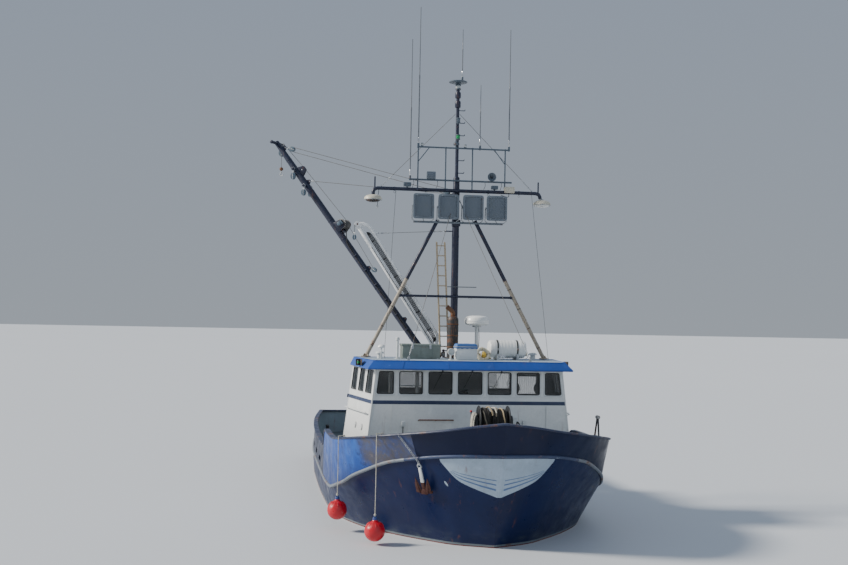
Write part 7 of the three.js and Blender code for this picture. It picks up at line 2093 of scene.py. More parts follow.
    # small boxes and lights along the arm
    B.box(1.28, 1.56, BY - 0.10, BY + 0.06, ARM - 0.02, ARM + 0.15, M["lamp_cream"], 0.02, 3)
    B.tube([(1.42, BY, ARM - 0.02), (1.40, BY + 0.02, ARM - 0.12), (1.2, BY + 0.03, ARM - 0.07)], 0.008, M["rubber"], 7, smooth=10)
    for x, w, h, m in ((-1.36, 0.10, 0.11, "rack"), (1.02, 0.09, 0.10, "rack")):
        B.cyl((x, BY, ARM + 0.04), (x, BY, ARM + 0.08), 0.02, M["rack"], sides=12)
        B.box(x - w, x + w, BY - 0.07, BY + 0.07, ARM + 0.07, ARM + 0.07 + h, M[m], 0.015, 3)
    # drop line at the starboard end with a small weight block
    B.tube([(-2.12, BY, ARM - 0.045), (-2.135, BY, 8.25), (-2.15, BY, 7.98)], 0.007, M["rope_dark"], 7, smooth=8)
    B.cyl((-2.15, BY, 7.91), (-2.15, BY, 7.985), 0.024, M["galv"], sides=14)
    B.done("root", "mast_crossarm", "mast_blue")

    B = Build("deck_lamp_stbd_body")
    deck_lamp(B, -2.27, "lamp_cream", "black")
    B.done("root", "deck_lamp_stbd", "lamp_cream")
    B = Build("deck_lamp_port_body")
    deck_lamp(B, 2.34, "lamp_cream", "grp")
    B.tube([(2.288, BY, 8.33), (2.30, BY, 8.295), (2.34, BY, 8.285)], 0.030, M["galv"], 12, smooth=8)
    B.done("root", "deck_lamp_port", "lamp_cream")

    B = Build("floodlight_bank_lamps")
    B.box(-1.175, 1.265, BY - 0.028, BY + 0.028, 7.558, 7.612, M["lamp_grey"], 0.008)
    for i, x in enumerate((-0.93, -0.255, 0.415, 1.06)):
        floodlight(B, x, "lamp_grey")
    for x in (-0.06, 0.06):
        B.cyl((x, BY - 0.045, 7.585), (x, BY + 0.04, 7.585), 0.011, M["galv"], sides=10)
    B.done("root", "floodlight_bank", "lamp_grey")

    # aerial rack: two bars, posts, whips, a horn speaker and little lights
    B = Build("antenna_rack_frame")
    B.tube([(-1.31, BY, LOW), (1.49, BY, LOW)], 0.024, M["rack"], 14)
    B.tube([(-1.10, BY, HIGH), (1.42, BY, HIGH)], 0.022, M["rack"], 14)
    for x in (-1.08, -0.33, 0.40, 1.30):
        B.tube([(x, BY, ARM + 0.045), (x, BY, HIGH - 0.01)], 0.018, M["rack"], 12)
        for z in (LOW, HIGH):
            B.sphere((x, BY, z), 0.030, M["rack"], 14, 8)
    for x0, z0, x1, z1 in ((-1.08, 9.2, -0.78, 9.59), (1.30, 9.2, 1.0, 9.59)):
        B.tube([(x0, BY, z0), (x1, BY, z1)], 0.012, M["rack"], 10)
    whip(B, -1.29, 8.72, 12.5)
    whip(B, -1.08, 9.60, 13.38)
    whip(B, 0.60, 9.60, 11.35, 0.013)
    whip(B, 1.40, 9.60, 12.9)
    for x, kind in ((-0.70, "box"), (-0.05, "dome"), (0.92, "horn"), (-0.98, "lamp"), (0.20, "lamp")):
        z = LOW + 0.022 if kind in ("box", "horn") else HIGH + 0.02
        if kind == "box":
            B.box(x - 0.14, x + 0.10, BY - 0.06, BY + 0.06, z, z + 0.20, M["lamp_grey"], 0.015, 3)
            B.box(x - 0.12, x + 0.08, BY - 0.066, BY - 0.058, z + 0.03, z + 0.17, M["lens"], 0.002)
        elif kind == "dome":
            B.cyl((x, BY, z - 0.02), (x, BY, z + 0.06), 0.018, M["rack"], sides=12)
            B.lathe((x, BY, z + 0.05), (x, BY, z + 2), [(0.03, 0), (0.075, 0.006), (0.085, 0.03), (0.08, 0.07), (0.055, 0.10), (0, 0.115)], M["rack"], 28)
        elif kind == "horn":
            B.tube([(x, BY, z - 0.02), (x, BY, z + 0.09)], 0.012, M["rack"], 10)
            B.ring_lathe((x, BY + 0.08, z + 0.10), (x, BY - 1, z + 0.10), [(0.03, 0), (0.035, 0.08), (0.06, 0.14), (0.115, 0.20), (0.119, 0.205), (0.112, 0.206), (0.055, 0.147), (0.02, 0.09), (0.02, 0.0)], M["lamp_grey"], 32)
            B.cyl((x, BY + 0.10, z + 0.10), (x, BY + 0.02, z + 0.10), 0.042, M["lamp_grey"], sides=24)
        else:
            B.lathe((x, BY, z - 0.01), (x, BY, z + 2), [(0.035, 0), (0.036, 0.02), (0.028, 0.022), (0.028, 0.075), (0.036, 0.08), (0.03, 0.095), (0, 0.10)], M["rack"], 20)
            B.ring_lathe((x, BY, z + 0.014), (x, BY, z + 2), [(0.028, 0), (0.031, 0.001), (0.031, 0.05), (0.028, 0.051)], M["lens_clear"], 20)
    for x in (-1.2, -0.55, 0.75, 1.2):
        B.tube([(x, BY, LOW - 0.01), (x + 0.02, BY + 0.03, LOW - 0.1), (x - 0.02, BY + 0.035, ARM + 0.06)], 0.006, M["rubber"], 6, smooth=8)
    B.done("root", "antenna_rack", "rack_grey")

    # ladder that leans from the roof against the lamp bar's height
    B = Build("leaning_ladder")
    a, b = Vector((-0.30, -2.52, 4.0)), Vector((-0.42, -2.298, 7.05))
    side = Vector((1, 0, 0))
    d = (b - a).normalized()
    for s in (-1, 1):
        B.tube([a + side * s * 0.11 - d * 0.01, b + side * s * 0.11], 0.024, M["ladder"], 14)
        B.cyl(a + side * s * 0.11 - d * 0.03, a + side * s * 0.11 + d * 0.03, 0.026, M["rubber"], sides=16)
        B.tube([b + side * s * 0.11 - d * 0.01, b + side * s * 0.11 + Vector((0, 0.045, 0.005)), b + side * s * 0.10 + Vector((0, 0.05, -0.03))], 0.013, M["ladder"], 10)
    n = int((b - a).length / 0.27)
    for i in range(1, n + 1):
        c = a + d * (i * 0.27)
        if (c - a).length < (b - a).length - 0.02:
            B.cyl(c - side * 0.112, c + side * 0.112, 0.0155, M["ladder"], sides=12)
    B.done("root", "mast_ladder", "worn_alloy")

    # standing rigging: stays and lines that stand still
    B = Build("stays")
    for p, q in (((0.03, MY - 0.09, 8.3), (1.6, -4.32, 4.02)), ((-0.03, MY - 0.09, 8.3), (-1.5, -4.35, 4.02))):
        p, q = Vector(p), Vector(q)
        e = wire_end(B, q, p - q)
        f = wire_end(B, p, q - p)
        B.tube([e, f], 0.0065, M["wire"], 7)
        B.box(q.x - 0.035, q.x + 0.035, q.y - 0.02, q.y + 0.02, 3.955, 4.03, M["galv"], 0.004)
    for x in (-1.66, 2.05):
        p, q = Vector((x, BY, ARM - 0.05)), Vector((x * 1.18, -2.95, 4.0))
        B.tube([p, q], 0.0045, M["rope_dark"], 6)
        B.cyl(q - Vector((0, 0, 0.04)), q + Vector((0, 0, 0.01)), 0.02, M["galv"], sides=12)
    B.done("root")


make_mast()


# ------------------------------------------------------------ booms
SWING_MAIN = Matrix.Translation((0, -2.0, 3.25)) @ Matrix.Rotation(rad(150), 4, "Z")
LIFT_MAIN = SWING_MAIN @ Matrix.Translation((0.2, 0, 0)) @ Matrix.Rotation(rad(-51.7), 4, "Y")
SWING_PICK = Matrix.Translation((-0.27, -2.17, 4.05)) @ Matrix.Rotation(rad(178), 4, "Z")
LIFT_PICK = SWING_PICK @ Matrix.Translation((0.13, 0, 0)) @ Matrix.Rotation(rad(-56.7), 4, "Y")


def gooseneck(name, node, body, m, r, bore, arm, inner, outer, eye, pin, h):
    B = Build(name)
    B.push(m)
    B.ring_lathe((0, 0, -h), (0, 0, 1), [(r - 0.006, 0), (r, 0.006), (r, 2 * h - 0.006), (r - 0.006, 2 * h), (bore, 2 * h), (bore, 0)], M["steel"], 36)
    for z in (-h + 0.012, h - 0.026):
        B.ring_lathe((0, 0, z), (0, 0, 1), [(r - 0.002, 0), (r + 0.006, 0.002), (r + 0.006, 0.014), (r - 0.002, 0.016)], M["rusty"], 36)
    for s in (-1, 1):
        a, b = s * inner, s * outer
        n = 18
        pts = [(r * 0.75, -eye * 0.92)] + [(arm + eye * math.cos(rad(-90 + 180 * i / n)), eye * math.sin(rad(-90 + 180 * i / n))) for i in range(n + 1)] + [(r * 0.75, eye * 0.92)]
        B.prism(pts, "y", min(a, b), max(a, b), M["steel"], 0.003)
        B.ring_lathe((arm, b, 0), (arm, b + s, 0), [(pin, -0.002), (pin + 0.014, -0.002), (pin + 0.012, 0.006), (pin, 0.006)], M["steel"], 24)
        B.bolt((arm, b + s * 0.002, 0), (0, s, 0), pin * 0.9, M["rusty"], 0.014)
    B.box(r * 0.62, r + 0.016, -outer, outer, -eye * 0.9, eye * 0.9, M["steel"], 0.004)
    B.cyl((arm, -outer - 0.002, 0), (arm, outer + 0.002, 0), pin, M["galv"], sides=24)
    B.cyl((0, -r + 0.003, 0.02), (0, -r - 0.016, 0.02), 0.006, M["galv"], sides=8)
    B.pop()
    B.done(body, node, "bare_steel")


def boom_point(m, x, y=0.0, z=0.0):
    return m @ Vector((x, y, z))


def standing_wire(name, p, q, r, mat):
    """Straight wire from p on body a to q on body b, made of its two end rings only."""
    p, q = Vector(p), Vector(q)
    B = Build(name)
    B.tube([p, q], r, mat, 8)
    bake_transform(B.done(None))


def make_main_boom():
    gooseneck("main_gooseneck_forging", "main_boom_gooseneck", "main_gooseneck", SWING_MAIN, 0.068, 0.035, 0.2, 0.036, 0.062, 0.062, 0.024, 0.165)
    B = Build("main_boom_spar")
    B.push(LIFT_MAIN)
    down = LIFT_MAIN.to_3x3().inverted() @ Vector((0, 0, -1))
    B.ring_lathe((0, -0.030, 0), (0, 1, 0), [(0.028, 0), (0.058, 0), (0.062, 0.004), (0.062, 0.056), (0.058, 0.060), (0.028, 0.060)], M["mastblue"], 32)
    B.hexa([(0.045, -0.028, -0.056), (0.045, 0.028, -0.056), (0.045, 0.028, 0.056), (0.045, -0.028, 0.056)],
           [(0.20, -0.028, -0.062), (0.20, 0.028, -0.062), (0.20, 0.028, 0.062), (0.20, -0.028, 0.062)], M["mastblue"], 0.005)
    B.lathe((0.15, 0, 0), (1, 0, 0), [(0.052, 0.0), (0.060, 0.006), (0.093, 0.075), (0.095, 0.085), (0.095, 7.05), (0.0728, 8.42), (0.0715, 8.49), (0.060, 8.505), (0, 8.508)], M["mastblue"], 44)
    for x in (1.6, 3.3, 5.02, 5.70, 6.75, 7.95):
        r = 0.095 if x < 7.2 else 0.0845
        B.ring_lathe((x, 0, 0), (x + 1, 0, 0), [(r - 0.003, -0.012), (r + 0.005, -0.006), (r + 0.005, 0.006), (r - 0.003, 0.012)], M["mastblue"], 40)
    # crossbars with caps and welded collars
    for x, half, r in ((8.60, 0.36, 0.042), (7.62, 0.18, 0.038), (6.98, 0.26, 0.033)):
        B.cyl((x, -half, 0), (x, half, 0), r, M["mastblue"], sides=26, bevel=0.006)
        for s in (-1, 1):
            B.ring_lathe((x, s * (half - 0.035), 0), (x, s * 5, 0), [(r - 0.003, 0), (r + 0.009, 0.002), (r + 0.009, 0.024), (r - 0.003, 0.026)], M["mastblue"], 26)
    # gussets that hold the tip bar
    for s in (-1, 1):
        B.hexa([(8.40, s * 0.06, -0.006), (8.40, s * 0.06, 0.006), (8.575, s * 0.25, 0.006), (8.575, s * 0.25, -0.006)],
               [(8.56, s * 0.06, -0.006), (8.56, s * 0.06, 0.006), (8.60, s * 0.25, 0.006), (8.60, s * 0.25, -0.006)], M["mastblue"], 0.001)
    # eye plates on top of the spar
    for x in (8.34, 7.05, 3.9, 2.1):
        r = 0.0945 if x < 7.2 else 0.079
        o = round_poly([(x - 0.09, r - 0.006), (x + 0.09, r - 0.006), (x + 0.03, r + 0.085), (x - 0.03, r + 0.085)], 0.02, 4)
        B.prism(o, "y", -0.010, 0.010, M["mastblue"], 0.003)
        B.cyl((x, -0.0105, r + 0.052), (x, 0.0105, r + 0.052), 0.014, M["rusty"], sides=14)
    # hanging blocks
    for x, y, size in ((8.60, -0.27, 0.17), (7.62, 0.12, 0.15), (6.98, -0.21, 0.14), (6.98, 0.21, 0.14)):
        start = Vector((x, y, 0)) + down * 0.043
        B.ring_lathe(Vector((x, y - 0.02, 0)), Vector((x, y + 1, 0)), [(0.035, 0), (0.049, 0.002), (0.049, 0.038), (0.035, 0.04)], M["galv"], 24)
        block(B, start, down, size, "machine", axis=(0, 1, 0.3))
    # hook and its ball under the tip's block
    c = Vector((8.60, -0.27, 0)) + down * 0.33
    B.tube([c, c + down * 0.34], 0.007, M["wire"], 8)
    B.sphere(c + down * 0.38, 0.055, M["rusty"], 20, 12)
    side = down.cross(Vector((0, 1, 0))).normalized()
    h = c + down * 0.43
    B.tube([h, h + down * 0.05, h + down * 0.10 + side * 0.035, h + down * 0.15 + side * 0.01, h + down * 0.145 - side * 0.045, h + down * 0.105 - side * 0.06], 0.014, M["galv"], 10, smooth=18)
    # lead sheave near the top of the boom, and the hoist wire from the winch
    for s in (-1, 1):
        B.prism(round_poly([(7.28, 0.07), (7.62, 0.07), (7.52, 0.27), (7.38, 0.27)], 0.04, 4), "y", s * 0.030 - 0.005, s * 0.030 + 0.005, M["mastblue"], 0.002)
    B.ring_lathe((7.45, -0.022, 0.17), (7.45, 1, 0.17), [(0.016, 0), (0.085, 0), (0.085, 0.006), (0.070, 0.022), (0.085, 0.038), (0.085, 0.044), (0.016, 0.044)], M["steel"], 32)
    B.cyl((7.45, -0.045, 0.17), (7.45, 0.045, 0.17), 0.018, M["galv"], sides=16)
    B.tube([(5.40, -0.05, 0.362), (7.44, 0.0, 0.246)], 0.007, M["wire"], 8)
    B.tube([(7.46, 0.0, 0.245), (8.46, -0.12, 0.115), (8.60, -0.26, 0.052)], 0.007, M["wire"], 8)
    # winch: base, cheeks, flanged drum with wound wire, motor and valve block
    B.box(5.18, 5.56, -0.098, 0.098, 0.07, 0.145, M["mastblue"], 0.008)
    for s in (-1, 1):
        B.prism(round_poly([(5.20, 0.09), (5.54, 0.09), (5.47, 0.32), (5.27, 0.32)], 0.045, 5), "y", min(s * 0.185, s * 0.222), max(s * 0.185, s * 0.222), M["mastblue"], 0.004)
        B.ring_lathe((5.37, s * 0.165, 0.24), (5.37, s * 5, 0.24), [(0.03, 0), (0.142, 0), (0.148, 0.005), (0.148, 0.010), (0.03, 0.014)], M["steel"], 40)
        for q in range(6):
            a = 2 * PI * q / 6
            B.bolt((5.37 + 0.06 * math.cos(a), s * 0.222, 0.24 + 0.06 * math.sin(a)), (0, s, 0), 0.008, M["rusty"])
        B.box(5.20, 5.54, min(s * 0.10, s * 0.222), max(s * 0.10, s * 0.222), 0.075, 0.10, M["mastblue"], 0.004)
    prof = [(0.085, 0)]
    for i in range(22):
        y = 0.006 + i * 0.0148
        prof += [(0.1150, y), (0.1215, y + 0.0037), (0.1235, y + 0.0074), (0.1215, y + 0.0111), (0.1150, y + 0.0148)]
    B.lathe((5.37, -0.165, 0.24), (5.37, 1, 0.24), prof + [(0.085, 0.330)], M["wire"], 36)
    B.cyl((5.37, 0.222, 0.24), (5.37, 0.33, 0.24), 0.058, M["machine"], sides=26, bevel=0.006)
    B.box(5.31, 5.43, 0.235, 0.30, 0.29, 0.34, M["machine"], 0.008)
    B.cyl((5.37, -0.222, 0.24), (5.37, -0.25, 0.24), 0.05, M["machine"], sides=24)
    # two hoses back to the heel with clips
    for k, y in enumerate((0.075, 0.10)):
        B.tube([(5.40 + 0.03 * k, 0.265, 0.345), (5.20, 0.25, 0.37), (4.95, 0.16, 0.14), (4.6, y, 0.045 - 0.03 * k), (2.5, y + 0.004, 0.045 - 0.03 * k), (0.6, y + 0.002, 0.05 - 0.03 * k), (0.36, y - 0.01, 0.03 - 0.03 * k)],
               0.0115, M["rubber"], 9, smooth=64)
    for i in range(8):
        x = 0.75 + i * 0.52
        B.box(x, x + 0.035, 0.062, 0.128, -0.012, 0.068, M["mastblue"], 0.004)
    # heel block for the running wire
    block(B, (3.9, 0, 0.16), (-0.94, 0, 0.34), 0.13, "machine", axis=(0, 1, 0))
    B.tube([(5.33, 0.04, 0.362), (3.72, 0.005, 0.21)], 0.006, M["wire"], 8)
    B.pop()
    B.done("main_boom", "main_boom", "mast_blue")

    # topping gear: a block on the mast's eye, and the wires to the boom
    top = Vector((0, -2.0, 8.41))
    tip = boom_point(LIFT_MAIN, 8.34, 0, 0.135)
    mid = boom_point(LIFT_MAIN, 7.05, 0, 0.155)
    B = Build("topping_block_mast")
    d = (tip - top).normalized()
    across = d.cross(Vector((0, 0, 1))).normalized()
    shackle(B, top, d, 0.07, M["galv"])
    block(B, top + d * 0.07, d, 0.16, "machine", axis=across)
    B.done("main_gooseneck")
    B = Build("topping_blocks_boom")
    d2 = (top - tip).normalized()
    shackle(B, tip, d2, 0.055, M["galv"])
    block(B, tip + d2 * 0.06, d2, 0.15, "machine", axis=across)
    shackle(B, mid, (top - mid), 0.055, M["galv"])
    B.cyl(mid + (top - mid).normalized() * 0.06, mid + (top - mid).normalized() * 0.20, 0.014, M["galv"], sides=12)
    B.done("main_boom")
    a0, b0 = top + d * 0.33, tip + d2 * 0.30
    standing_wire("topping_wire_a", a0 + Vector((0, 0, 0.07)), b0 + Vector((0, 0, 0.06)), 0.0075, M["wire"])
    standing_wire("topping_wire_b", a0 - Vector((0, 0, 0.07)), b0 - Vector((0, 0, 0.07)), 0.0075, M["wire"])
    standing_wire("topping_wire_c", top + Vector((0, 0.01, -0.02)), mid + (top - mid).normalized() * 0.19, 0.0075, M["wire"])


def make_picking_boom():
    gooseneck("picking_gooseneck_forging", "picking_boom_gooseneck", "picking_gooseneck", SWING_PICK, 0.050, 0.029, 0.13, 0.028, 0.046, 0.046, 0.016, 0.072)
    B = Build("picking_boom_truss")
    B.push(LIFT_PICK)
    down = LIFT_PICK.to_3x3().inverted() @ Vector((0, 0, -1))
    A = M["alloy"]
    B.ring_lathe((0, -0.023, 0), (0, 1, 0), [(0.019, 0), (0.043, 0), (0.046, 0.003), (0.046, 0.043), (0.043, 0.046), (0.019, 0.046)], A, 30)
    B.hexa([(0.035, -0.022, -0.040), (0.035, 0.022, -0.040), (0.035, 0.022, 0.040), (0.035, -0.022, 0.040)],
           [(0.19, -0.022, -0.044), (0.19, 0.022, -0.044), (0.19, 0.022, 0.044), (0.19, -0.022, 0.044)], A, 0.004)
    B.lathe((0.15, 0, 0), (1, 0, 0), [(0.046, 0), (0.058, 0.012), (0.062, 0.018), (0.062, 3.93), (0.055, 3.945), (0, 3.948)], A, 36)
    B.tube([(0.17, 0, 0.03), (0.30, 0, 0.135), (0.40, 0, 0.225), (0.47, 0, 0.25), (3.82, 0, 0.25), (3.92, 0, 0.235), (4.05, 0, 0.13), (4.10, 0, 0.035)], 0.045, A, 26)
    for i in range(6):
        x = 0.70 + i * 0.56
        B.cyl((x, 0, 0.045), (x, 0, 0.23), 0.0235, A, sides=20, bevel=0)
        B.ring_lathe((x, 0, 0.052), (x, 0, 1), [(0.0225, 0.0), (0.031, 0.0), (0.0235, 0.012)], A, 20)
        B.ring_lathe((x, 0, 0.225), (x, 0, -1), [(0.0225, 0.0), (0.030, 0.0), (0.0235, 0.011)], A, 20)
    for x in (1.95, 3.1):
        B.ring_lathe((x, 0, 0), (x + 1, 0, 0), [(0.056, -0.03), (0.0625, -0.028), (0.0625, 0.028), (0.056, 0.03)], A, 32)
    # sheave in the tip between two plates
    for s in (-1, 1):
        B.prism(round_poly([(3.98, -0.075), (4.19, -0.060), (4.19, 0.060), (3.98, 0.075)], 0.05, 5), "y", min(s * 0.052, s * 0.062), max(s * 0.052, s * 0.062), A, 0.002)
        B.bolt((4.11, s * 0.062, 0), (0, s, 0), 0.018, M["rusty"], 0.012)
    B.ring_lathe((4.11, -0.020, 0), (4.11, 1, 0), [(0.014, 0), (0.075, 0), (0.075, 0.005), (0.060, 0.020), (0.075, 0.035), (0.075, 0.040), (0.014, 0.040)], M["steel"], 30)
    B.cyl((4.11, -0.066, 0), (4.11, 0.066, 0), 0.015, M["galv"], sides=14)
    # eye plates for the topping wire and a hanging block near the tip
    o = round_poly([(3.55, 0.275), (3.71, 0.275), (3.66, 0.345), (3.60, 0.345)], 0.014, 3)
    B.prism(o, "y", -0.008, 0.008, A, 0.002)
    B.tube([(4.12, 0, -0.078), Vector((4.12, 0, -0.078)) + down * 0.20], 0.006, M["rope_dark"], 8)
    block(B, Vector((4.12, 0, -0.078)) + down * 0.19, down, 0.11, "machine", axis=(0, 1, 0))
    B.tube([(0.28, 0.066, 0.0), (1.2, 0.070, 0.004), (2.4, 0.070, -0.004), (3.4, 0.068, 0.0)], 0.009, M["rubber"], 8, smooth=24)
    for i in range(6):
        B.box(0.48 + i * 0.56, 0.51 + i * 0.56, 0.053, 0.083, -0.016, 0.016, M["galv"], 0.003)
    # dark hoses laid in the gap between the two rails
    for k, (yy, zz) in enumerate(((0.030, 0.088), (0.030, 0.118), (0.030, 0.148), (0.032, 0.178))):
        B.tube([(0.34, 0.02, 0.06 + 0.012 * k), (0.52, yy, zz), (1.4, yy + 0.003, zz - 0.003), (2.5, yy, zz + 0.003), (3.6, yy, zz), (3.80, 0.02, 0.10)], 0.0125, M["rubber"], 9, smooth=34)
    B.pop()
    B.done("picking_boom", "picking_boom", "worn_alloy")
    top = Vector((-0.27, -2.17, 7.365))
    end = boom_point(LIFT_PICK, 3.63, 0, 0.315)
    d = (end - top).normalized()
    B = Build("picking_topping_eye")
    e0 = wire_end(B, top, d)
    B.done("picking_gooseneck")
    B = Build("picking_topping_end")
    e1 = wire_end(B, end, -d)
    B.done("picking_boom")
    standing_wire("picking_topping_wire", e0, e1, 0.006, M["wire"])


make_main_boom()
make_picking_boom()


# ------------------------------------------------------------ deck gear
FORE, WORK = 1.85, 0.85


def wound(B, p, q, R, rope, count, mat, layers=1, sides=36, wobble=0.0, seed=1):
    """Rope wound on a drum from p to q, as separate leaning turns."""
    p, q = Vector(p), Vector(q)
    t = (q - p).normalized()
    n = t.orthogonal().normalized()
    b = t.cross(n)
    rnd = random.Random(seed)
    length = (q - p).length
    for layer in range(layers):
        rr = R + rope * (0.9 + 1.75 * layer)
        k = count - layer
        for i in range(k):
            d0 = length * (i + 0.5 + 0.5 * layer) / count
            lean = length / count * 0.5
            da, ra = rnd.uniform(-wobble, wobble), rnd.uniform(0, wobble * 0.6)
            verts, faces = [], []
            m = 7
            for s in range(sides):
                a = 2 * PI * s / sides
                c = p + t * (d0 + lean * math.sin(a + layer) * 0.5 + da * math.sin(2 * a + i)) + (n * math.cos(a) + b * math.sin(a)) * (rr + ra)
                rad_dir = n * math.cos(a) + b * math.sin(a)
                for j in range(m):
                    w = 2 * PI * j / m
                    verts.append(c + rad_dir * rope * math.cos(w) + t * rope * math.sin(w))
            for s in range(sides):
                for j in range(m):
                    faces.append((s * m + j, s * m + (j + 1) % m, ((s + 1) % sides) * m + (j + 1) % m, ((s + 1) % sides) * m + j))
            B.add(verts, faces, mat)


def coil(B, c, R, r, turns, mat, lift=0.9, seed=3, rows=1):
    rnd = random.Random(seed)
    for row in range(rows):
        for i in range(turns):
            rr = R - row * r * 2.1 - rnd.uniform(0, 0.02)
            B.torus(Vector(c) + Vector((rnd.uniform(-0.012, 0.012), rnd.uniform(-0.012, 0.012), r + i * r * 2 * lift)), (rnd.uniform(-0.04, 0.04), rnd.uniform(-0.04, 0.04), 1), rr, r, mat, 40, 8)


def make_anchor_winch():
    y, z = Y(1350), 2.79
    K = M["winch_black"]
    B = Build("anchor_winch_stand")
    for s in (-1, 1):
        lo, hi = min(s * 0.368, s * 0.412), max(s * 0.368, s * 0.412)
        # cheek with a round window below its bearing
        pts = round_poly([(y - 0.30, FORE), (y + 0.30, FORE), (y + 0.115, z + 0.085), (y - 0.115, z + 0.085)], 0.05, 5)
        hole = [(y + 0.105 * math.cos(a), 2.28 + 0.13 * math.sin(a)) for a in (2 * PI * i / 28 for i in range(28))]
        B.plate(pts, [hole], lambda u, v, w, lo=lo: Vector((lo + w, u, v)), 0.044, K, 0.004)
        B.sweep([(s * 0.39, a, b) for a, b in ((y - 0.297, FORE + 0.03), (y - 0.122, z + 0.02))], [(-0.03, -0.008), (0.03, -0.008), (0.03, 0.006), (-0.03, 0.006)], K, up=(0, -1, 0.3))
        B.sweep([(s * 0.39, a, b) for a, b in ((y + 0.297, FORE + 0.03), (y + 0.122, z + 0.02))], [(-0.03, -0.008), (0.03, -0.008), (0.03, 0.006), (-0.03, 0.006)], K, up=(0, 1, 0.3))
        B.ring_lathe((s * 0.406, y, z), (s * 5, y, z), [(0.044, 0), (0.085, 0), (0.088, 0.004), (0.088, 0.020), (0.084, 0.024), (0.044, 0.024)], K, 32)
        for i in range(6):
            a = 2 * PI * i / 6
            B.bolt((s * 0.429, y + 0.068 * math.cos(a), z + 0.068 * math.sin(a)), (s, 0, 0), 0.008, M["rusty"])
        B.hexa([(s * 0.41, y - 0.10, FORE + 0.03), (s * 0.41, y - 0.09, FORE + 0.03), (s * 0.52, y - 0.09, FORE + 0.03), (s * 0.52, y - 0.10, FORE + 0.03)],
               [(s * 0.41, y - 0.10, FORE + 0.30), (s * 0.41, y - 0.09, FORE + 0.30), (s * 0.42, y - 0.09, FORE + 0.30), (s * 0.42, y - 0.10, FORE + 0.30)], K, 0.001)
    B.box(-0.53, 0.53, y - 0.31, y + 0.31, FORE - 0.01, FORE + 0.038, K, 0.008)
    for x in (-0.47, -0.16, 0.16, 0.47):
        for dy in (-0.26, 0.26):
            B.bolt((x, y + dy, FORE + 0.037), (0, 0, 1), 0.014, M["rusty"])
    B.cyl((-0.37, y - 0.215, 2.15), (0.37, y - 0.215, 2.15), 0.030, K, sides=20)
    B.cyl((-0.37, y + 0.215, 2.15), (0.37, y + 0.215, 2.15), 0.030, K, sides=20)
    # motor, chain case and brake band lever
    B.cyl((0.412, y, z - 0.235), (0.60, y, z - 0.235), 0.082, M["machine"], sides=30, bevel=0.008)
    B.ring_lathe((0.47, y, z - 0.235), (1, y, z - 0.235), [(0.08, 0), (0.092, 0.002), (0.092, 0.018), (0.08, 0.02)], M["machine"], 30)
    B.box(0.49, 0.575, y - 0.045, y + 0.045, z - 0.17, z - 0.125, M["machine"], 0.008)
    for k in (-0.022, 0.022):
        B.tube([(0.532, y + k, z - 0.13), (0.56, y + k * 1.4, z - 0.06), (0.66, y + 0.10 + k, z - 0.25), (0.66, y + 0.28 + k, 2.1), (0.64, y + 0.42 + k, FORE + 0.012)], 0.012, M["rubber"], 9, smooth=26)
    B.tube([(-0.45, y + 0.02, z - 0.42), (-0.46, y + 0.12, z - 0.10), (-0.46, y + 0.22, z + 0.14)], 0.014, K, 12)
    B.sphere((-0.46, y + 0.225, z + 0.155), 0.028, M["red_lamp"], 18, 12)
    # bights of rope hung over the forward tie bar
    rnd = random.Random(31)
    for i in range(9):
        x = -0.27 + 0.062 * i + rnd.uniform(-0.012, 0.012)
        drop = 0.155 + rnd.uniform(0, 0.085)
        wide = rnd.uniform(0.012, 0.030)
        top = 2.15 + 0.0475
        mat = M[("rope_tan", "rope_worn", "rope_tan", "rope_white")[i % 4]]
        B.tube([(x - wide, y - 0.215 - 0.050, 2.15 - drop), (x - wide, y - 0.215 - 0.050, 2.12), (x, y - 0.215 - 0.034, 2.15 + 0.034), (x, y - 0.215, top), (x, y - 0.215 + 0.034, 2.15 + 0.034),
                (x + wide, y - 0.215 + 0.050, 2.12), (x + wide, y - 0.215 + 0.048, 2.15 - drop * 0.9), (x, y - 0.215, 2.15 - drop - 0.035)], 0.0155, mat, 9, smooth=44, closed=True)
    # hank of pale rope thrown over the starboard cheek
    rnd = random.Random(8)
    for i in range(6):
        yy = y - 0.09 + 0.034 * i
        k = rnd.uniform(-0.01, 0.01)
        top = z + 0.09 + 0.016 + (0.012 if i % 2 else 0.0)
        low = z - rnd.uniform(0.36, 0.52)
        B.tube([(-0.385 + k, yy, top), (-0.425, yy - 0.006, top - 0.03), (-0.452 + k, yy - 0.02, z - 0.12), (-0.462 - k, yy - 0.03 + k, low), (-0.470, yy + 0.01, low - 0.045), (-0.478, yy + 0.035, low + 0.02),
                (-0.480, yy + 0.03, z - 0.10), (-0.455, yy + 0.014, top - 0.015), (-0.405, yy + 0.008, top + 0.014)], 0.0155, M["rope_white"], 9, smooth=46, closed=True)
    B.done("root", "anchor_winch_frame", "black_steel")

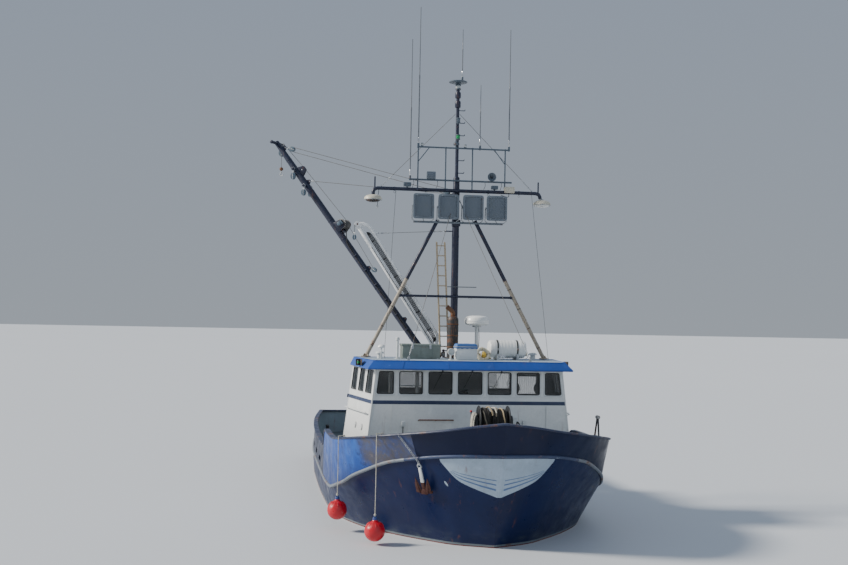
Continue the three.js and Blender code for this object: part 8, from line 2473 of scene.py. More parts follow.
    B = Build("anchor_winch_spool")
    for s in (-1, 1):
        B.ring_lathe((s * 0.316, y, z), (s * 5, y, z), [(0.03, 0), (0.285, 0), (0.298, 0.004), (0.300, 0.012), (0.298, 0.020), (0.285, 0.024), (0.03, 0.024)], K, 48)
        B.torus((s * 0.328, y, z), (1, 0, 0), 0.292, 0.014, K, 48, 10)
        for i in range(6):
            a = 2 * PI * i / 6
            d = Vector((0, math.cos(a), math.sin(a)))
            e = Vector((0, -math.sin(a), math.cos(a)))
            c = Vector((s * 0.3405, y, z))
            B.hexa([c + d * 0.06 - e * 0.012 - Vector((s * 0.002, 0, 0)), c + d * 0.06 + e * 0.012 - Vector((s * 0.002, 0, 0)), c + d * 0.28 + e * 0.008 - Vector((s * 0.002, 0, 0)), c + d * 0.28 - e * 0.008 - Vector((s * 0.002, 0, 0))],
                   [c + d * 0.06 - e * 0.012 + Vector((s * 0.012, 0, 0)), c + d * 0.06 + e * 0.012 + Vector((s * 0.012, 0, 0)), c + d * 0.28 + e * 0.008 + Vector((s * 0.008, 0, 0)), c + d * 0.28 - e * 0.008 + Vector((s * 0.008, 0, 0))], K, 0.002)
    B.cyl((-0.45, y, z), (0.45, y, z), 0.038, M["steel"], sides=24)
    B.cyl((-0.32, y, z), (0.32, y, z), 0.135, K, sides=36)
    wound(B, (-0.300, y, z), (-0.08, y, z), 0.135, 0.0175, 7, M["rope_old"], 4, 36, 0.013, 5)
    wound(B, (-0.07, y, z), (0.300, y, z), 0.135, 0.0175, 10, M["rope_old"], 3, 36, 0.013, 6)
    # slack turns lying across the wound rope
    rnd = random.Random(12)
    for i, (x0, x1, a0, span, lift, mat) in enumerate(((-0.17, -0.06, 0.5, 2.2, 0.006, "rope_tan"), (-0.03, 0.04, 0.8, 1.7, 0.014, "rope_white"), (0.11, 0.02, 0.4, 2.4, 0.004, "rope_worn"), (0.15, 0.23, 1.3, 2.5, 0.0, "rope_tan"), (-0.27, -0.17, 2.3, 1.9, 0.006, "rope_worn"), (-0.28, 0.02, 4.2, 2.0, 0.004, "rope_tan"), (0.10, -0.24, 5.3, 2.3, 0.0, "rope_worn"))):
        pts = []
        for k in range(9):
            f = k / 8
            a = a0 + span * f
            rr = (0.262 if x0 + (x1 - x0) * f < -0.07 else 0.238) + lift + 0.010 * math.sin(PI * f) + rnd.uniform(-0.004, 0.004)
            pts.append((x0 + (x1 - x0) * f + rnd.uniform(-0.01, 0.01), y + rr * math.cos(a), z + rr * math.sin(a)))
        B.tube(pts, 0.0165, M[mat], 9, smooth=40)
    B.done("anchor_winch_drum", "anchor_winch_drum", "rusty_steel")


def make_bow_gear():
    y = Y(2750)
    K = M["black"]
    B = Build("bow_bitt_posts")
    B.box(-0.33, 0.33, y - 0.15, y + 0.15, FORE, FORE + 0.026, K, 0.006)
    for x in (-0.19, 0.19):
        B.lathe((x, y, FORE + 0.01), (x, y, 5), [(0.085, 0), (0.070, 0.02), (0.064, 0.06), (0.064, 0.44), (0.078, 0.452), (0.078, 0.464), (0.060, 0.478), (0, 0.480)], K, 36)
    B.cyl((-0.33, y, 2.18), (0.33, y, 2.18), 0.038, K, sides=24, bevel=0.008)
    for x in (-0.28, 0.28):
        for dy in (-0.11, 0.11):
            B.bolt((x, y + dy, FORE + 0.025), (0, 0, 1), 0.013, M["rusty"])
    # a figure of eight of white line on the posts
    for k in range(4):
        zz = FORE + 0.14 + k * 0.034
        B.tube([(-0.27, y, zz), (-0.19, y - 0.083, zz), (-0.11, y - 0.02, zz + 0.006), (0.11, y + 0.03, zz + 0.012), (0.19, y + 0.083, zz + 0.014), (0.273, y, zz + 0.016), (0.19, y - 0.083, zz + 0.018), (0.11, y - 0.03, zz + 0.02),
                (-0.11, y + 0.03, zz + 0.026), (-0.19, y + 0.083, zz + 0.03), (-0.27, y, zz + 0.034)], 0.0145, M["rope_white"], 8, smooth=46)
    B.done("root", "bow_bitt", "black_steel")

    B = Build("port_davit_frame")
    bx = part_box("port_davit")[1][0] - 0.045
    lo, hi = [Vector(v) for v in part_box("port_davit")]
    ys = (lo.y + hi.y) / 2
    base = lo.z
    top = hi.z - 0.048
    B.box(bx - 0.06, bx + 0.043, ys - 0.20, ys + 0.20, base, base + 0.018, K, 0.004)
    for k in (-1, 1):
        B.tube([(bx, ys + k * 0.17, base + 0.008), (bx + 0.004, ys + k * 0.155, base + 0.07), (bx + 0.016, ys + k * 0.055, base + 0.40), (bx + 0.02, ys + k * 0.045, top)], 0.0225, K, 14, smooth=14)
        B.bolt((bx - 0.03, ys + k * 0.10, base + 0.017), (0, 0, 1), 0.010, M["rusty"])
    B.lathe((bx + 0.02, ys - 0.068, top), (bx + 0.02, ys + 1, top), [(0.030, 0), (0.047, 0.003), (0.047, 0.014), (0.034, 0.030), (0.029, 0.068), (0.034, 0.106), (0.047, 0.122), (0.047, 0.133), (0.030, 0.136)], M["steel"], 28)
    B.cyl((bx + 0.02, ys - 0.082, top), (bx + 0.02, ys + 0.082, top), 0.014, M["galv"], sides=14)
    B.done("root", "port_davit", "black_steel")

    # small gear along the bow: vents, a small hatch, two rope coils and cleats
    B = Build("foredeck_fittings")
    for x, s in ((-1.35, 3300), (1.30, 3350)):
        c = Vector((x, Y(s), FORE))
        B.lathe(c, c + Vector((0, 0, 1)), [(0.12, -0.01), (0.115, 0.015), (0.075, 0.03), (0.072, 0.36), (0.13, 0.352), (0.137, 0.37), (0.12, 0.41), (0.07, 0.44), (0, 0.448)], M["frame_white"], 32)
    c = Vector((0, Y(3650), FORE))
    B.box(-0.36, 0.36, Y(3400), Y(4050), FORE - 0.005, FORE + 0.13, M["hatch"], 0.015, 3)
    B.box(-0.385, 0.385, Y(3375), Y(4075), FORE + 0.125, FORE + 0.17, M["hatch"], 0.012, 3)
    for x in (-0.2, 0.2):
        B.tube([(x, Y(3480), FORE + 0.165), (x, Y(3480), FORE + 0.20), (x, Y(3640), FORE + 0.20), (x, Y(3640), FORE + 0.165)], 0.009, M["galv"], 8)
        B.cyl((x - 0.06, Y(4082), FORE + 0.15), (x + 0.06, Y(4082), FORE + 0.15), 0.018, M["galv"], sides=14)
    coil(B, (-0.95, Y(2700), FORE), 0.25, 0.019, 6, M["rope_tan"], rows=2)
    coil(B, (0.98, Y(2500), FORE), 0.22, 0.016, 5, M["rope_blue"], seed=8, rows=3)
    for s in (-1, 1):
        for st in (2300, 4300):
            x = s * (plating(st, 1900) * 0.001 - 0.30)
            b = Vector((x, Y(st), FORE))
            B.box(x - 0.05, x + 0.05, Y(st) - 0.12, Y(st) + 0.12, FORE - 0.004, FORE + 0.016, K, 0.004)
            for k in (-0.06, 0.06):
                B.cyl(b + Vector((0, k, 0.01)), b + Vector((0, k, 0.095)), 0.020, K, sides=16)
            B.tube([b + Vector((0, -0.17, 0.085)), b + Vector((0, -0.08, 0.105)), b + Vector((0, 0.08, 0.105)), b + Vector((0, 0.17, 0.085))], 0.021, K, 14, smooth=10)
    B.done("root")


def make_deck_winch():
    y, z = Y(10550), 1.37
    G = M["machine"]
    B = Build("deck_winch_stand")
    for x in (-1.05, 0.0, 1.05):
        pts = round_poly([(y - 0.33, WORK), (y + 0.33, WORK), (y + 0.125, z + 0.105), (y - 0.125, z + 0.105)], 0.05, 5)
        B.prism(pts, "x", x - 0.023, x + 0.023, G, 0.003)
        for s in (-1, 1):
            if (x, s) in ((0.0, 1), (0.0, -1)):
                B.ring_lathe((x + s * 0.022, y, z), (x + s * 5, y, z), [(0.056, 0), (0.10, 0), (0.10, 0.010), (0.056, 0.010)], G, 32)
            else:
                B.ring_lathe((x + s * 0.022, y, z), (x + s * 5, y, z), [(0.056, 0), (0.100, 0), (0.103, 0.003), (0.103, 0.012), (0.056, 0.014)], G, 32)
        for dy in (-0.32, 0.315):
            B.box(x - 0.045, x + 0.045, y + dy - 0.008, y + dy + 0.012, WORK + 0.03, WORK + 0.22, G, 0.003)
    B.box(-1.075, 1.075, y - 0.33, y + 0.33, WORK - 0.005, WORK + 0.048, G, 0.01)
    for x in (-0.95, -0.55, -0.15, 0.15, 0.55, 0.95):
        for dy in (-0.28, 0.28):
            B.bolt((x, y + dy, WORK + 0.047), (0, 0, 1), 0.014, M["rusty"])
    B.cyl((1.075, y, z - 0.245), (1.33, y, z - 0.245), 0.095, G, sides=32, bevel=0.010)
    for x in (1.12, 1.27):
        B.ring_lathe((x, y, z - 0.245), (5, y, z - 0.245), [(0.093, 0), (0.106, 0.002), (0.106, 0.018), (0.093, 0.02)], G, 32)
    B.box(1.071, 1.092, y - 0.13, y + 0.13, WORK + 0.01, z - 0.15, G, 0.004)
    B.box(1.15, 1.26, y - 0.06, y + 0.06, z - 0.165, z - 0.105, G, 0.010)
    for k in (-0.03, 0.03):
        B.tube([(1.20, y + k, z - 0.11), (1.22, y + k * 1.4, z - 0.02), (1.35, y - 0.12 + k, z - 0.20), (1.36, y - 0.34 + k, 1.02), (1.36, y - 0.52 + k, WORK + 0.015)], 0.014, M["rubber"], 10, smooth=28)
    for x in (-0.52, 0.52):
        B.tube([(x, y + 0.31, WORK + 0.04), (x, y + 0.36, 1.35), (x, y + 0.44, 1.62)], 0.016, G, 12)
        B.sphere((x, y + 0.448, 1.64), 0.032, M["red_lamp"], 18, 12)
        B.box(x - 0.07, x + 0.07, y + 0.27, y + 0.35, WORK + 0.04, WORK + 0.13, G, 0.008)
    B.done("root", "deck_winch_frame", "winch_grey")

    B = Build("deck_winch_spools")
    B.cyl((-1.20, y, z), (1.20, y, z), 0.048, M["steel"], sides=28)
    for a, b, seed in ((-1.010, -0.045, 2), (0.045, 1.010, 9)):
        B.cyl((a + 0.01, y, z), (b - 0.01, y, z), 0.165, G, sides=40)
        for x0, d in ((a, 1), (b, -1)):
            B.ring_lathe((x0, y, z), (x0 + d, y, z), [(0.04, 0.0), (0.372, 0.0), (0.380, 0.006), (0.380, 0.016), (0.372, 0.022), (0.04, 0.022)], G, 56)
            for i in range(8):
                q = 2 * PI * i / 8
                dd, e = Vector((0, math.cos(q), math.sin(q))), Vector((0, -math.sin(q), math.cos(q)))
                c = Vector((x0 - d * 0.001, y, z))
                B.hexa([c + dd * 0.12 - e * 0.008, c + dd * 0.12 + e * 0.008, c + dd * 0.36 + e * 0.006, c + dd * 0.36 - e * 0.006],
                       [c + dd * 0.12 - e * 0.008 - Vector((d * 0.011, 0, 0)), c + dd * 0.12 + e * 0.008 - Vector((d * 0.011, 0, 0)), c + dd * 0.36 + e * 0.006 - Vector((d * 0.007, 0, 0)), c + dd * 0.36 - e * 0.006 - Vector((d * 0.007, 0, 0))], G, 0.001)
        wound(B, (a + 0.03, y, z), (b - 0.03, y, z), 0.165, 0.0125, 36, M["wire"], 3, 40, 0.003, seed)
    B.lathe((-1.19, y, z), (5, y, z), [(0.05, 0), (0.104, 0.002), (0.110, 0.010), (0.104, 0.020), (0.078, 0.040), (0.074, 0.055), (0.080, 0.075), (0.100, 0.090), (0.106, 0.098), (0.05, 0.10)], M["steel"], 40)
    B.done("deck_winch_drum", "deck_winch_drum", "bare_steel")


def make_hatch():
    y0, y1, h, top = Y(11750), Y(13350), 0.8, 1.3
    P = M["hatch"]
    B = Build("hatch_coaming_plates")
    B.plate(rounded_rect(-h, h, y0, y1, 0.05), [rounded_rect(-h + 0.06, h - 0.06, y0 + 0.06, y1 - 0.06, 0.04)], lambda u, v, w: Vector((u, v, WORK + w)), top - WORK, P, 0.008)
    for x in (-0.55, 0.0, 0.55):
        for yy, s in ((y0, -1), (y1, 1)):
            B.hexa([(x - 0.006, yy - s * 0.005, WORK + 0.003), (x + 0.006, yy - s * 0.005, WORK + 0.003), (x + 0.006, yy + s * 0.14, WORK + 0.003), (x - 0.006, yy + s * 0.14, WORK + 0.003)],
                   [(x - 0.006, yy - s * 0.005, top - 0.09), (x + 0.006, yy - s * 0.005, top - 0.09), (x + 0.006, yy + s * 0.02, top - 0.09), (x - 0.006, yy + s * 0.02, top - 0.09)], P, 0.001)
    for s in (-1, 1):
        for yy in (y0 + 0.4, (y0 + y1) / 2, y1 - 0.4):
            B.hexa([(s * (h - 0.005), yy - 0.006, WORK + 0.003), (s * (h - 0.005), yy + 0.006, WORK + 0.003), (s * (h + 0.14), yy + 0.006, WORK + 0.003), (s * (h + 0.14), yy - 0.006, WORK + 0.003)],
                   [(s * (h - 0.005), yy - 0.006, top - 0.09), (s * (h - 0.005), yy + 0.006, top - 0.09), (s * (h + 0.02), yy + 0.006, top - 0.09), (s * (h + 0.02), yy - 0.006, top - 0.09)], P, 0.001)
            B.box(s * (h + 0.012) - 0.012, s * (h + 0.012) + 0.012, yy + 0.16, yy + 0.20, top - 0.14, top - 0.03, M["steel"], 0.003)
    # hinge lugs that hold the cover's barrels
    for x in (-0.5, 0.5):
        for k in (-1, 1):
            B.prism(round_poly([(y0 + 0.005, top - 0.13), (y0 + 0.005, top - 0.015), (y0 - 0.035, top + 0.064), (y0 - 0.066, top + 0.064), (y0 - 0.082, top + 0.03), (y0 - 0.045, top - 0.09)], 0.014, 3), "x", x + k * 0.092 - 0.010, x + k * 0.092 + 0.010, P, 0.002)
            B.bolt((x + k * 0.102, y0 - 0.05, top + 0.033), (k, 0, 0), 0.012, M["steel"])
    B.done("root", "hatch_coaming", "deck_grey")

    B = Build("hatch_cover_lid")
    B.prism(rounded_rect(-h - 0.024, h + 0.024, y0 - 0.024, y1 + 0.024, 0.05), "z", top + 0.0065, top + 0.048, P, 0.008, 3)
    B.prism(rounded_rect(-h + 0.02, h - 0.02, y0 + 0.02, y1 - 0.02, 0.04), "z", top + 0.045, top + 0.058, P, 0.005)
    for x in (-0.5, 0.5):
        B.cyl((x - 0.07, y0 - 0.05, top + 0.033), (x + 0.07, y0 - 0.05, top + 0.033), 0.025, M["steel"], sides=24)
        B.box(x - 0.05, x + 0.05, y0 - 0.05, y0 + 0.16, top + 0.05, top + 0.064, M["steel"], 0.004)
        for k in (0.04, 0.12):
            B.bolt((x, y0 + k, top + 0.063), (0, 0, 1), 0.010, M["rusty"])
    for x in (-0.45, 0.45):
        B.tube([(x - 0.09, y1 - 0.16, top + 0.055), (x - 0.09, y1 - 0.16, top + 0.095), (x + 0.09, y1 - 0.16, top + 0.095), (x + 0.09, y1 - 0.16, top + 0.055)], 0.010, M["steel"], 10)
    for s in (-1, 1):
        for yy in (y0 + 0.4, (y0 + y1) / 2, y1 - 0.4):
            B.box(s * (h - 0.02) - 0.03, s * (h - 0.02) + 0.03, yy + 0.15, yy + 0.21, top + 0.045, top + 0.066, M["steel"], 0.004)
    # flush manhole in the middle of the lid
    c = Vector((0, (y0 + y1) / 2, top + 0.055))
    B.ring_lathe(c, c + Vector((0, 0, 1)), [(0.20, 0), (0.235, 0.0), (0.232, 0.009), (0.20, 0.010)], M["steel"], 48)
    B.cyl(c - Vector((0, 0, 0.002)), c + Vector((0, 0, 0.006)), 0.198, P, sides=48)
    for i in range(3):
        a = 2 * PI * i / 3
        B.box(c.x + 0.13 * math.cos(a) - 0.02, c.x + 0.13 * math.cos(a) + 0.02, c.y + 0.13 * math.sin(a) - 0.008, c.y + 0.13 * math.sin(a) + 0.008, c.z + 0.004, c.z + 0.012, M["steel"], 0.002)
    B.done("hatch_cover", "hatch_cover", "worn_alloy")


def make_net_reel():
    y, z = Y(15200), 1.72
    G, N = M["machine"], M["reel_green"]
    B = Build("net_reel_stand")
    for s in (-1, 1):
        lo = min(s * 1.292, s * 1.338)
        pts = round_poly([(y - 0.52, WORK), (y + 0.52, WORK), (y + 0.115, z + 0.125), (y - 0.115, z + 0.125)], 0.06, 5)
        hole = round_poly([(y - 0.27, WORK + 0.16), (y + 0.27, WORK + 0.16), (y + 0.09, z - 0.24), (y - 0.09, z - 0.24)], 0.06, 5)
        B.plate(pts, [hole], lambda u, v, w, lo=lo: Vector((lo + w, u, v)), 0.046, G, 0.004)
        B.ring_lathe((s * 1.332, y, z), (s * 5, y, z), [(0.066, 0), (0.118, 0), (0.122, 0.004), (0.122, 0.026), (0.116, 0.030), (0.066, 0.030)], G, 36)
        B.ring_lathe((s * 1.298, y, z), (0, y, z), [(0.066, 0), (0.112, 0), (0.112, 0.012), (0.066, 0.012)], G, 36)
        for i in range(6):
            a = 2 * PI * i / 6
            B.bolt((s * 1.361, y + 0.094 * math.cos(a), z + 0.094 * math.sin(a)), (s, 0, 0), 0.010, M["rusty"])
        for e in (-1, 1):
            B.sweep([(s * 1.315, y + e * 0.515, WORK + 0.04), (s * 1.315, y + e * 0.125, z + 0.04)], [(-0.045, -0.010), (0.045, -0.010), (0.045, 0.006), (-0.045, 0.006)], G, up=(0, e, 0.4))
        B.box(s * 1.315 - 0.06, s * 1.315 + 0.06, y - 0.54, y + 0.54, WORK - 0.005, WORK + 0.022, G, 0.004)
        for dy in (-0.48, -0.2, 0.2, 0.48):
            B.bolt((s * 1.355, y + dy, WORK + 0.021), (0, 0, 1), 0.013, M["rusty"])
    for dy in (-0.47, 0.47):
        B.box(-1.34, 1.34, y + dy - 0.05, y + dy + 0.05, WORK - 0.004, WORK + 0.088, G, 0.010)
    # hydraulic motor on a torque plate outside the port cheek
    B.cyl((1.365, y, z), (1.56, y, z), 0.085, M["machine"], sides=32, bevel=0.010)
    B.ring_lathe((1.375, y, z), (5, y, z), [(0.083, 0), (0.100, 0.002), (0.100, 0.020), (0.083, 0.022)], M["machine"], 32)
    B.box(1.43, 1.52, y - 0.05, y + 0.05, z + 0.075, z + 0.125, M["machine"], 0.010)
    for k in (-0.025, 0.025):
        B.tube([(1.475, y + k, z + 0.12), (1.50, y + k * 1.5, z + 0.22), (1.63, y - 0.15 + k, z + 0.05), (1.64, y - 0.42 + k, 1.2), (1.60, y - 0.60 + k, WORK + 0.016)], 0.014, M["rubber"], 10, smooth=30)
    # guide roller across the front of the frame
    B.cyl((-1.28, y + 0.43, WORK + 0.22), (1.28, y + 0.43, WORK + 0.22), 0.038, M["galv"], sides=24)
    B.done("root", "net_reel_frame", "winch_grey")

    B = Build("net_reel_spool")
    B.cyl((-1.35, y, z), (1.35, y, z), 0.059, M["steel"], sides=30)
    B.cyl((-1.215, y, z), (1.215, y, z), 0.198, N, sides=44)
    for s in (-1, 1):
        B.torus((s * 1.225, y, z), (1, 0, 0), 0.672, 0.020, N, 72, 12)
        B.torus((s * 1.225, y, z), (1, 0, 0), 0.44, 0.013, N, 60, 10)
        B.ring_lathe((s * 1.213, y, z), (s * 5, y, z), [(0.055, 0), (0.230, 0), (0.236, 0.004), (0.236, 0.020), (0.230, 0.024), (0.055, 0.024)], N, 44)
        # spokes with the thin web of plate between them
        B.ring_lathe((s * 1.222, y, z), (s * 5, y, z), [(0.22, 0), (0.665, 0), (0.665, 0.005), (0.22, 0.005)], N, 72)
        for i in range(10):
            a = 2 * PI * i / 10
            d = Vector((0, math.cos(a), math.sin(a)))
            B.cyl(Vector((s * 1.228, y, z)) + d * 0.21, Vector((s * 1.228, y, z)) + d * 0.665, 0.017, N, sides=12)
    # wound net: a lumpy roll of webbing with its folds, floats and lead line showing
    rnd = random.Random(21)
    rows, around = 96, 120
    wave = [(rnd.uniform(1.5, 9), rnd.randint(1, 6), rnd.uniform(0, 6.28), rnd.uniform(0.25, 1)) for _ in range(16)]
    verts, faces = [], []
    for i in range(rows + 1):
        x = -1.195 + 2.39 * i / rows
        e = min(1, (1.195 - abs(x)) / 0.09)
        for j in range(around):
            a = 2 * PI * j / around
            r = 0.455 * (0.93 + 0.07 * e)
            for fx, fa, ph, amp in wave:
                r += 0.0055 * amp * math.sin(fx * x * 2.2 + fa * a + ph)
            r += 0.011 * math.sin(34 * x + 2.5 * math.sin(2 * a + x * 3)) + 0.006 * math.sin(71 * x + 3 * math.sin(a * 3))
            r += 0.010 * math.sin(5 * a + 9 * x) * math.sin(3 * x + 1)
            verts.append((x, y + r * math.cos(a), z + r * math.sin(a)))
    for i in range(rows):
        for j in range(around):
            faces.append((i * around + j, i * around + (j + 1) % around, (i + 1) * around + (j + 1) % around, (i + 1) * around + j))
    faces.append(tuple(reversed(range(around))))
    faces.append(tuple(range(rows * around, (rows + 1) * around)))
    B.add(verts, faces, M["net"])
    # cork line with floats spiralling over the roll, and the lead line beside it
    def spiral(x0, x1, turns, rad_, phase, n):
        return [(x0 + (x1 - x0) * k / n + 0.02 * math.sin(k * 0.7), y + rad_ * math.cos(phase + 2 * PI * turns * k / n), z + rad_ * math.sin(phase + 2 * PI * turns * k / n)) for k in range(n + 1)]
    B.tube(spiral(-1.13, 1.12, 5.4, 0.486, 0.4, 220), 0.011, M["rope_white"], 7)
    B.tube(spiral(-1.10, 1.15, 5.4, 0.474, 1.5, 220), 0.014, M["rope_dark"], 7)
    k = 0
    line = spiral(-1.13, 1.12, 5.4, 0.496, 0.4, 108)
    for p, q in zip(line[1:-1], line[2:]):
        k += 1
        if k % 3:
            continue
        p, q = Vector(p), Vector(q)
        d = (q - p).normalized()
        B.lathe(p - d * 0.055, p + d * 2, [(0.012, 0), (0.030, 0.006), (0.040, 0.025), (0.042, 0.055), (0.040, 0.085), (0.030, 0.104), (0.012, 0.110)], M["grp_cream"] if k % 6 else M["orange"], 16)
    B.done("net_reel_drum", "net_reel_drum", "net_green", angle=50)


def make_propeller():
    yc, zs = Y(14950), -1.53
    B = Build("propeller_blades")
    P = M["bronze"]
    B.lathe((0, yc - 0.15, zs), (0, yc + 5, zs), [(0.10, 0), (0.115, 0.006), (0.120, 0.05), (0.120, 0.22), (0.112, 0.30), (0.085, 0.345), (0.060, 0.375), (0.030, 0.405), (0, 0.410)], P, 44)
    B.cyl((0, Y(14200), zs), (0, yc - 0.14, zs), 0.055, M["steel"], sides=28)
    B.ring_lathe((0, yc - 0.26, zs), (0, yc, zs), [(0.05, 0), (0.085, 0.0), (0.088, 0.02), (0.088, 0.07), (0.05, 0.08)], M["galv"], 30)
    table = [(0.09, 0.090, 0.030, 58), (0.16, 0.125, 0.026, 51), (0.23, 0.150, 0.020, 45), (0.31, 0.173, 0.017, 39.5), (0.38, 0.185, 0.014, 35), (0.45, 0.176, 0.012, 31.5),
             (0.50, 0.150, 0.010, 29), (0.54, 0.112, 0.0085, 27.5), (0.563, 0.072, 0.007, 26.5), (0.574, 0.030, 0.005, 26)]
    k = 26
    for blade in range(4):
        turn = Matrix.Rotation(blade * PI / 2, 4, "Y")
        verts, faces = [], []
        for r, c, t, pitch in table:
            a = rad(pitch)
            for i in range(k):
                q = 2 * PI * i / k
                u = math.cos(q) * c
                v = math.sin(q) * t * (0.75 + 0.25 * math.cos(q)) * (1 - 0.5 * abs(math.cos(q)) ** 4)
                camber = 0.010 * (1 - (u / c) ** 2)
                skew = 0.05 * ((r - 0.09) / 0.48) ** 2
                x = (u + skew * 0.6) * math.cos(a) - (v + camber) * math.sin(a)
                yy = (u + skew * 0.6) * math.sin(a) + (v + camber) * math.cos(a)
                w = Vector((x, yy, math.sqrt(max(r * r - x * x * 0.55, 0.0004)) if r > 0.15 else r))
                verts.append(turn @ w + Vector((0, yc, zs)))
        n = len(table)
        for j in range(n - 1):
            for i in range(k):
                faces.append((j * k + i, j * k + (i + 1) % k, (j + 1) * k + (i + 1) % k, (j + 1) * k + i))
        faces.append(tuple(range((n - 1) * k, n * k)))
        faces.append(tuple(reversed(range(k))))
        B.add(verts, faces, P)
    B.done("propeller", "propeller", "bronze", angle=45)

    ys = Y(16050)
    B = Build("rudder_blade")
    half = [(-0.300, 0.0), (-0.285, 0.020), (-0.23, 0.038), (-0.09, 0.055), (0.12, 0.050), (0.42, 0.032), (0.68, 0.013), (0.700, 0.006)]
    outline = [(x, ys + dy) for dy, x in half] + [(-x, ys + dy) for dy, x in reversed(half[1:])]
    B.prism(outline, "z", -2.09, -0.88, M["antifoul"], 0.004)
    for zz in (-1.87, -1.48, -1.10):
        for s in (-1, 1):
            B.tube([(s * 0.036, ys - 0.23, zz), (s * 0.054, ys - 0.09, zz), (s * 0.050, ys + 0.12, zz), (s * 0.032, ys + 0.42, zz), (s * 0.014, ys + 0.66, zz)], 0.010, M["antifoul"], 8, smooth=14)
    for s in (-1, 1):
        B.box(min(s * 0.05, s * 0.075), max(s * 0.05, s * 0.075), ys + 0.05, ys + 0.20, -1.36, -1.22, M["galv"], 0.012)
    B.cyl((0, ys, -0.90), (0, ys, -0.52), 0.052, M["steel"], sides=28)
    B.ring_lathe((0, ys, -0.885), (0, ys, 0), [(0.05, 0), (0.105, 0), (0.105, 0.035), (0.05, 0.04)], M["antifoul"], 30)
    for i in range(6):
        a = 2 * PI * i / 6
        B.bolt((0.082 * math.cos(a), ys + 0.082 * math.sin(a), -0.849), (0, 0, 1), 0.010, M["galv"])
    B.cyl((0, ys, -2.16), (0, ys, -2.07), 0.042, M["steel"], sides=24)
    B.done("rudder", "rudder", "hull_paint")


def make_work_deck():
    """Small gear that lies on the work deck: boxes, a coil, hose, and bitts along the bulwark."""
    B = Build("work_deck_gear")
    K = M["black"]
    for s in (-1, 1):
        for st in (10200, 13900, 16900):
            x = s * (plating(st, 900) * 0.001 - 0.34)
            b = Vector((x, Y(st), WORK))
            B.box(x - 0.10, x + 0.10, Y(st) - 0.24, Y(st) + 0.24, WORK - 0.004, WORK + 0.018, K, 0.004)
            for k in (-0.13, 0.13):
                B.lathe(b + Vector((0, k, 0.01)), b + Vector((0, k, 2)), [(0.062, 0), (0.052, 0.02), (0.050, 0.26), (0.060, 0.268), (0.060, 0.282), (0.045, 0.295), (0, 0.297)], K, 26)
    # stacked fish boxes on port, a coil and a hose on starboard
    for i, (c, top) in enumerate(((Vector((1.75, Y(12300), WORK)), 0), (Vector((1.76, Y(12310), WORK + 0.30)), 0), (Vector((1.73, Y(13150), WORK)), 1))):
        m = M["orange"] if i % 2 == 0 else M["blue_cover"]
        o = rounded_rect(c.x - 0.26, c.x + 0.26, c.y - 0.38, c.y + 0.38, 0.05)
        n = rounded_rect(c.x - 0.235, c.x + 0.235, c.y - 0.355, c.y + 0.355, 0.04)
        B.plate(o, [n], lambda u, v, w, c=c: Vector((u, v, c.z + 0.02 + w)), 0.26, m, 0.004)
        B.prism(n, "z", c.z + 0.018, c.z + 0.04, m, 0.002)
        B.plate(rounded_rect(c.x - 0.28, c.x + 0.28, c.y - 0.40, c.y + 0.40, 0.06), [n], lambda u, v, w, c=c: Vector((u, v, c.z + 0.255 + w)), 0.028, m, 0.004)
        for s in (-1, 1):
            B.box(c.x + s * 0.262 - 0.006, c.x + s * 0.262 + 0.006, c.y - 0.10, c.y + 0.10, c.z + 0.15, c.z + 0.17, m, 0.004)
    coil(B, (-1.75, Y(12500), WORK), 0.34, 0.021, 7, M["rope_tan"], rows=3)
    coil(B, (-1.70, Y(13500), WORK), 0.28, 0.017, 6, M["rope_blue"], seed=14, rows=2)
    # ice box against the back of the galley, and two deck lights on its wall side
    B.box(0.30, 1.25, 0.43, 0.98, WORK + 0.04, 1.62, M["grp"], 0.03, 3)
    B.box(0.285, 1.265, 0.415, 0.995, 1.615, 1.68, M["grp"], 0.02, 3)
    for x in (0.45, 1.10):
        B.box(x - 0.04, x + 0.04, 0.45, 0.96, WORK - 0.002, WORK + 0.045, M["rubber"], 0.006)
        B.box(x - 0.03, x + 0.03, 0.988, 1.006, 1.56, 1.66, M["steel"], 0.004)
    B.done("root")


make_anchor_winch()
make_bow_gear()
make_deck_winch()
make_hatch()
make_net_reel()
make_propeller()
make_work_deck()


# ------------------------------------------------------------ floor, light and camera
def make_stage():
    bm = bmesh.new()
    bmesh.ops.create_grid(bm, x_segments=1, y_segments=1, size=400)
    mesh = bpy.data.meshes.new("floor")
    bm.to_mesh(mesh)
    bm.free()
    floor = bpy.data.objects.new("floor", mesh)
    bpy.context.scene.collection.objects.link(floor)
    s = Shade("floor_grey", (0.62, 0.64, 0.66), 0.65)
    s.over((0.60, 0.62, 0.64), s.noise(0.02, 2, 0.5))
    mesh.materials.append(s.done(0, 0))


def sun(name, toward, strength, angle, color):
    """Soft far light shining in the direction toward."""
    d = bpy.data.lights.new(name, "SUN")
    d.energy, d.angle, d.color = strength, rad(angle), color
    o = bpy.data.objects.new(name, d)
    o.rotation_mode = "QUATERNION"
    o.rotation_quaternion = Vector(toward).to_track_quat("-Z", "Y")
    bpy.context.scene.collection.objects.link(o)


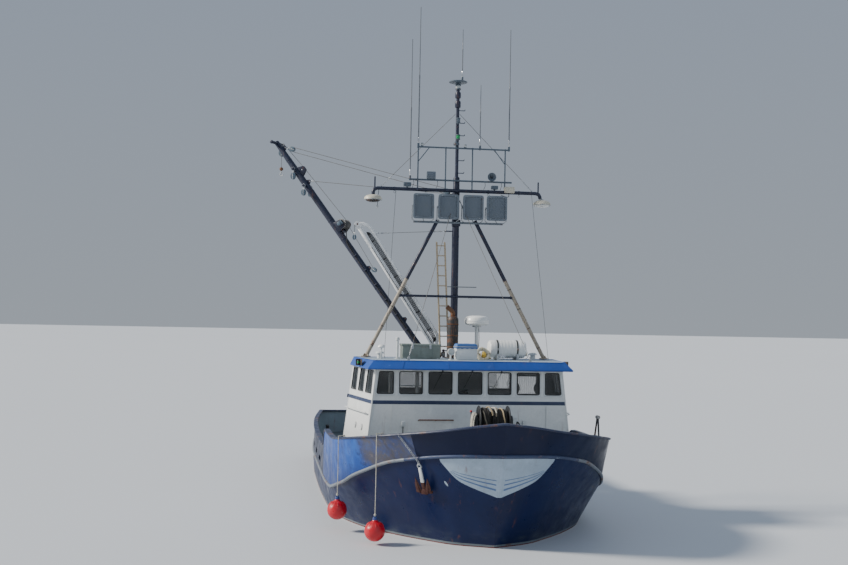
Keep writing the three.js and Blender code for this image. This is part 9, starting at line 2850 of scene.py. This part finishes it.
def make_lights():
    sun("key", (1.0, -0.10, -0.62), 5.4, 10, (1.0, 0.955, 0.88))
    sun("fill", (-0.25, 1.0, -0.55), 0.35, 50, (0.84, 0.91, 1.0))
    sun("back", (-0.5, -0.8, -0.8), 0.30, 60, (0.90, 0.95, 1.0))
    w = bpy.data.worlds.new("studio")
    bpy.context.scene.world = w
    w.use_nodes = True
    t = w.node_tree
    t.nodes.clear()
    out = t.nodes.new("ShaderNodeOutputWorld")
    bg = t.nodes.new("ShaderNodeBackground")
    ramp = t.nodes.new("ShaderNodeValToRGB")
    co = t.nodes.new("ShaderNodeTexCoord")
    sep = t.nodes.new("ShaderNodeSeparateXYZ")
    t.links.new(co.outputs["Generated"], sep.inputs[0])
    t.links.new(sep.outputs[2], ramp.inputs[0])
    ramp.color_ramp.elements[0].position, ramp.color_ramp.elements[0].color = 0.0, (0.74, 0.82, 0.92, 1)
    ramp.color_ramp.elements[1].position, ramp.color_ramp.elements[1].color = 0.55, (0.54, 0.68, 0.92, 1)
    t.links.new(ramp.outputs[0], bg.inputs[0])
    bg.inputs[1].default_value = 0.46
    t.links.new(bg.outputs[0], out.inputs[0])


# the photograph's viewpoint: 5 m over the water, 32 m ahead of amidships and 5 m to starboard
EYE = Vector((-5.2, -32.1, 5.0))
ZOOM = 1.84            # closer framing from the same spot
YAW, PITCH, ROLL = 5.0 + 3.3, -1.92 + 3.75, 1.1


def make_camera():
    d = bpy.data.cameras.new("camera")
    d.sensor_width = 36.0
    d.lens = 612.0 / 848.0 * 36.0 * ZOOM
    d.clip_start, d.clip_end = 0.5, 900
    o = bpy.data.objects.new("camera", d)
    bpy.context.scene.collection.objects.link(o)
    f = Vector((math.sin(rad(YAW)) * math.cos(rad(PITCH)), math.cos(rad(YAW)) * math.cos(rad(PITCH)), math.sin(rad(PITCH))))
    right = Vector((math.cos(rad(YAW)), -math.sin(rad(YAW)), 0))
    up = right.cross(f)
    c, s = math.cos(rad(ROLL)), math.sin(rad(ROLL))
    r2, u2 = right * c + up * s, up * c - right * s
    o.matrix_world = Matrix(((r2.x, u2.x, -f.x, EYE.x), (r2.y, u2.y, -f.y, EYE.y), (r2.z, u2.z, -f.z, EYE.z), (0, 0, 0, 1)))
    bpy.context.scene.camera = o


make_stage()
make_lights()
make_camera()
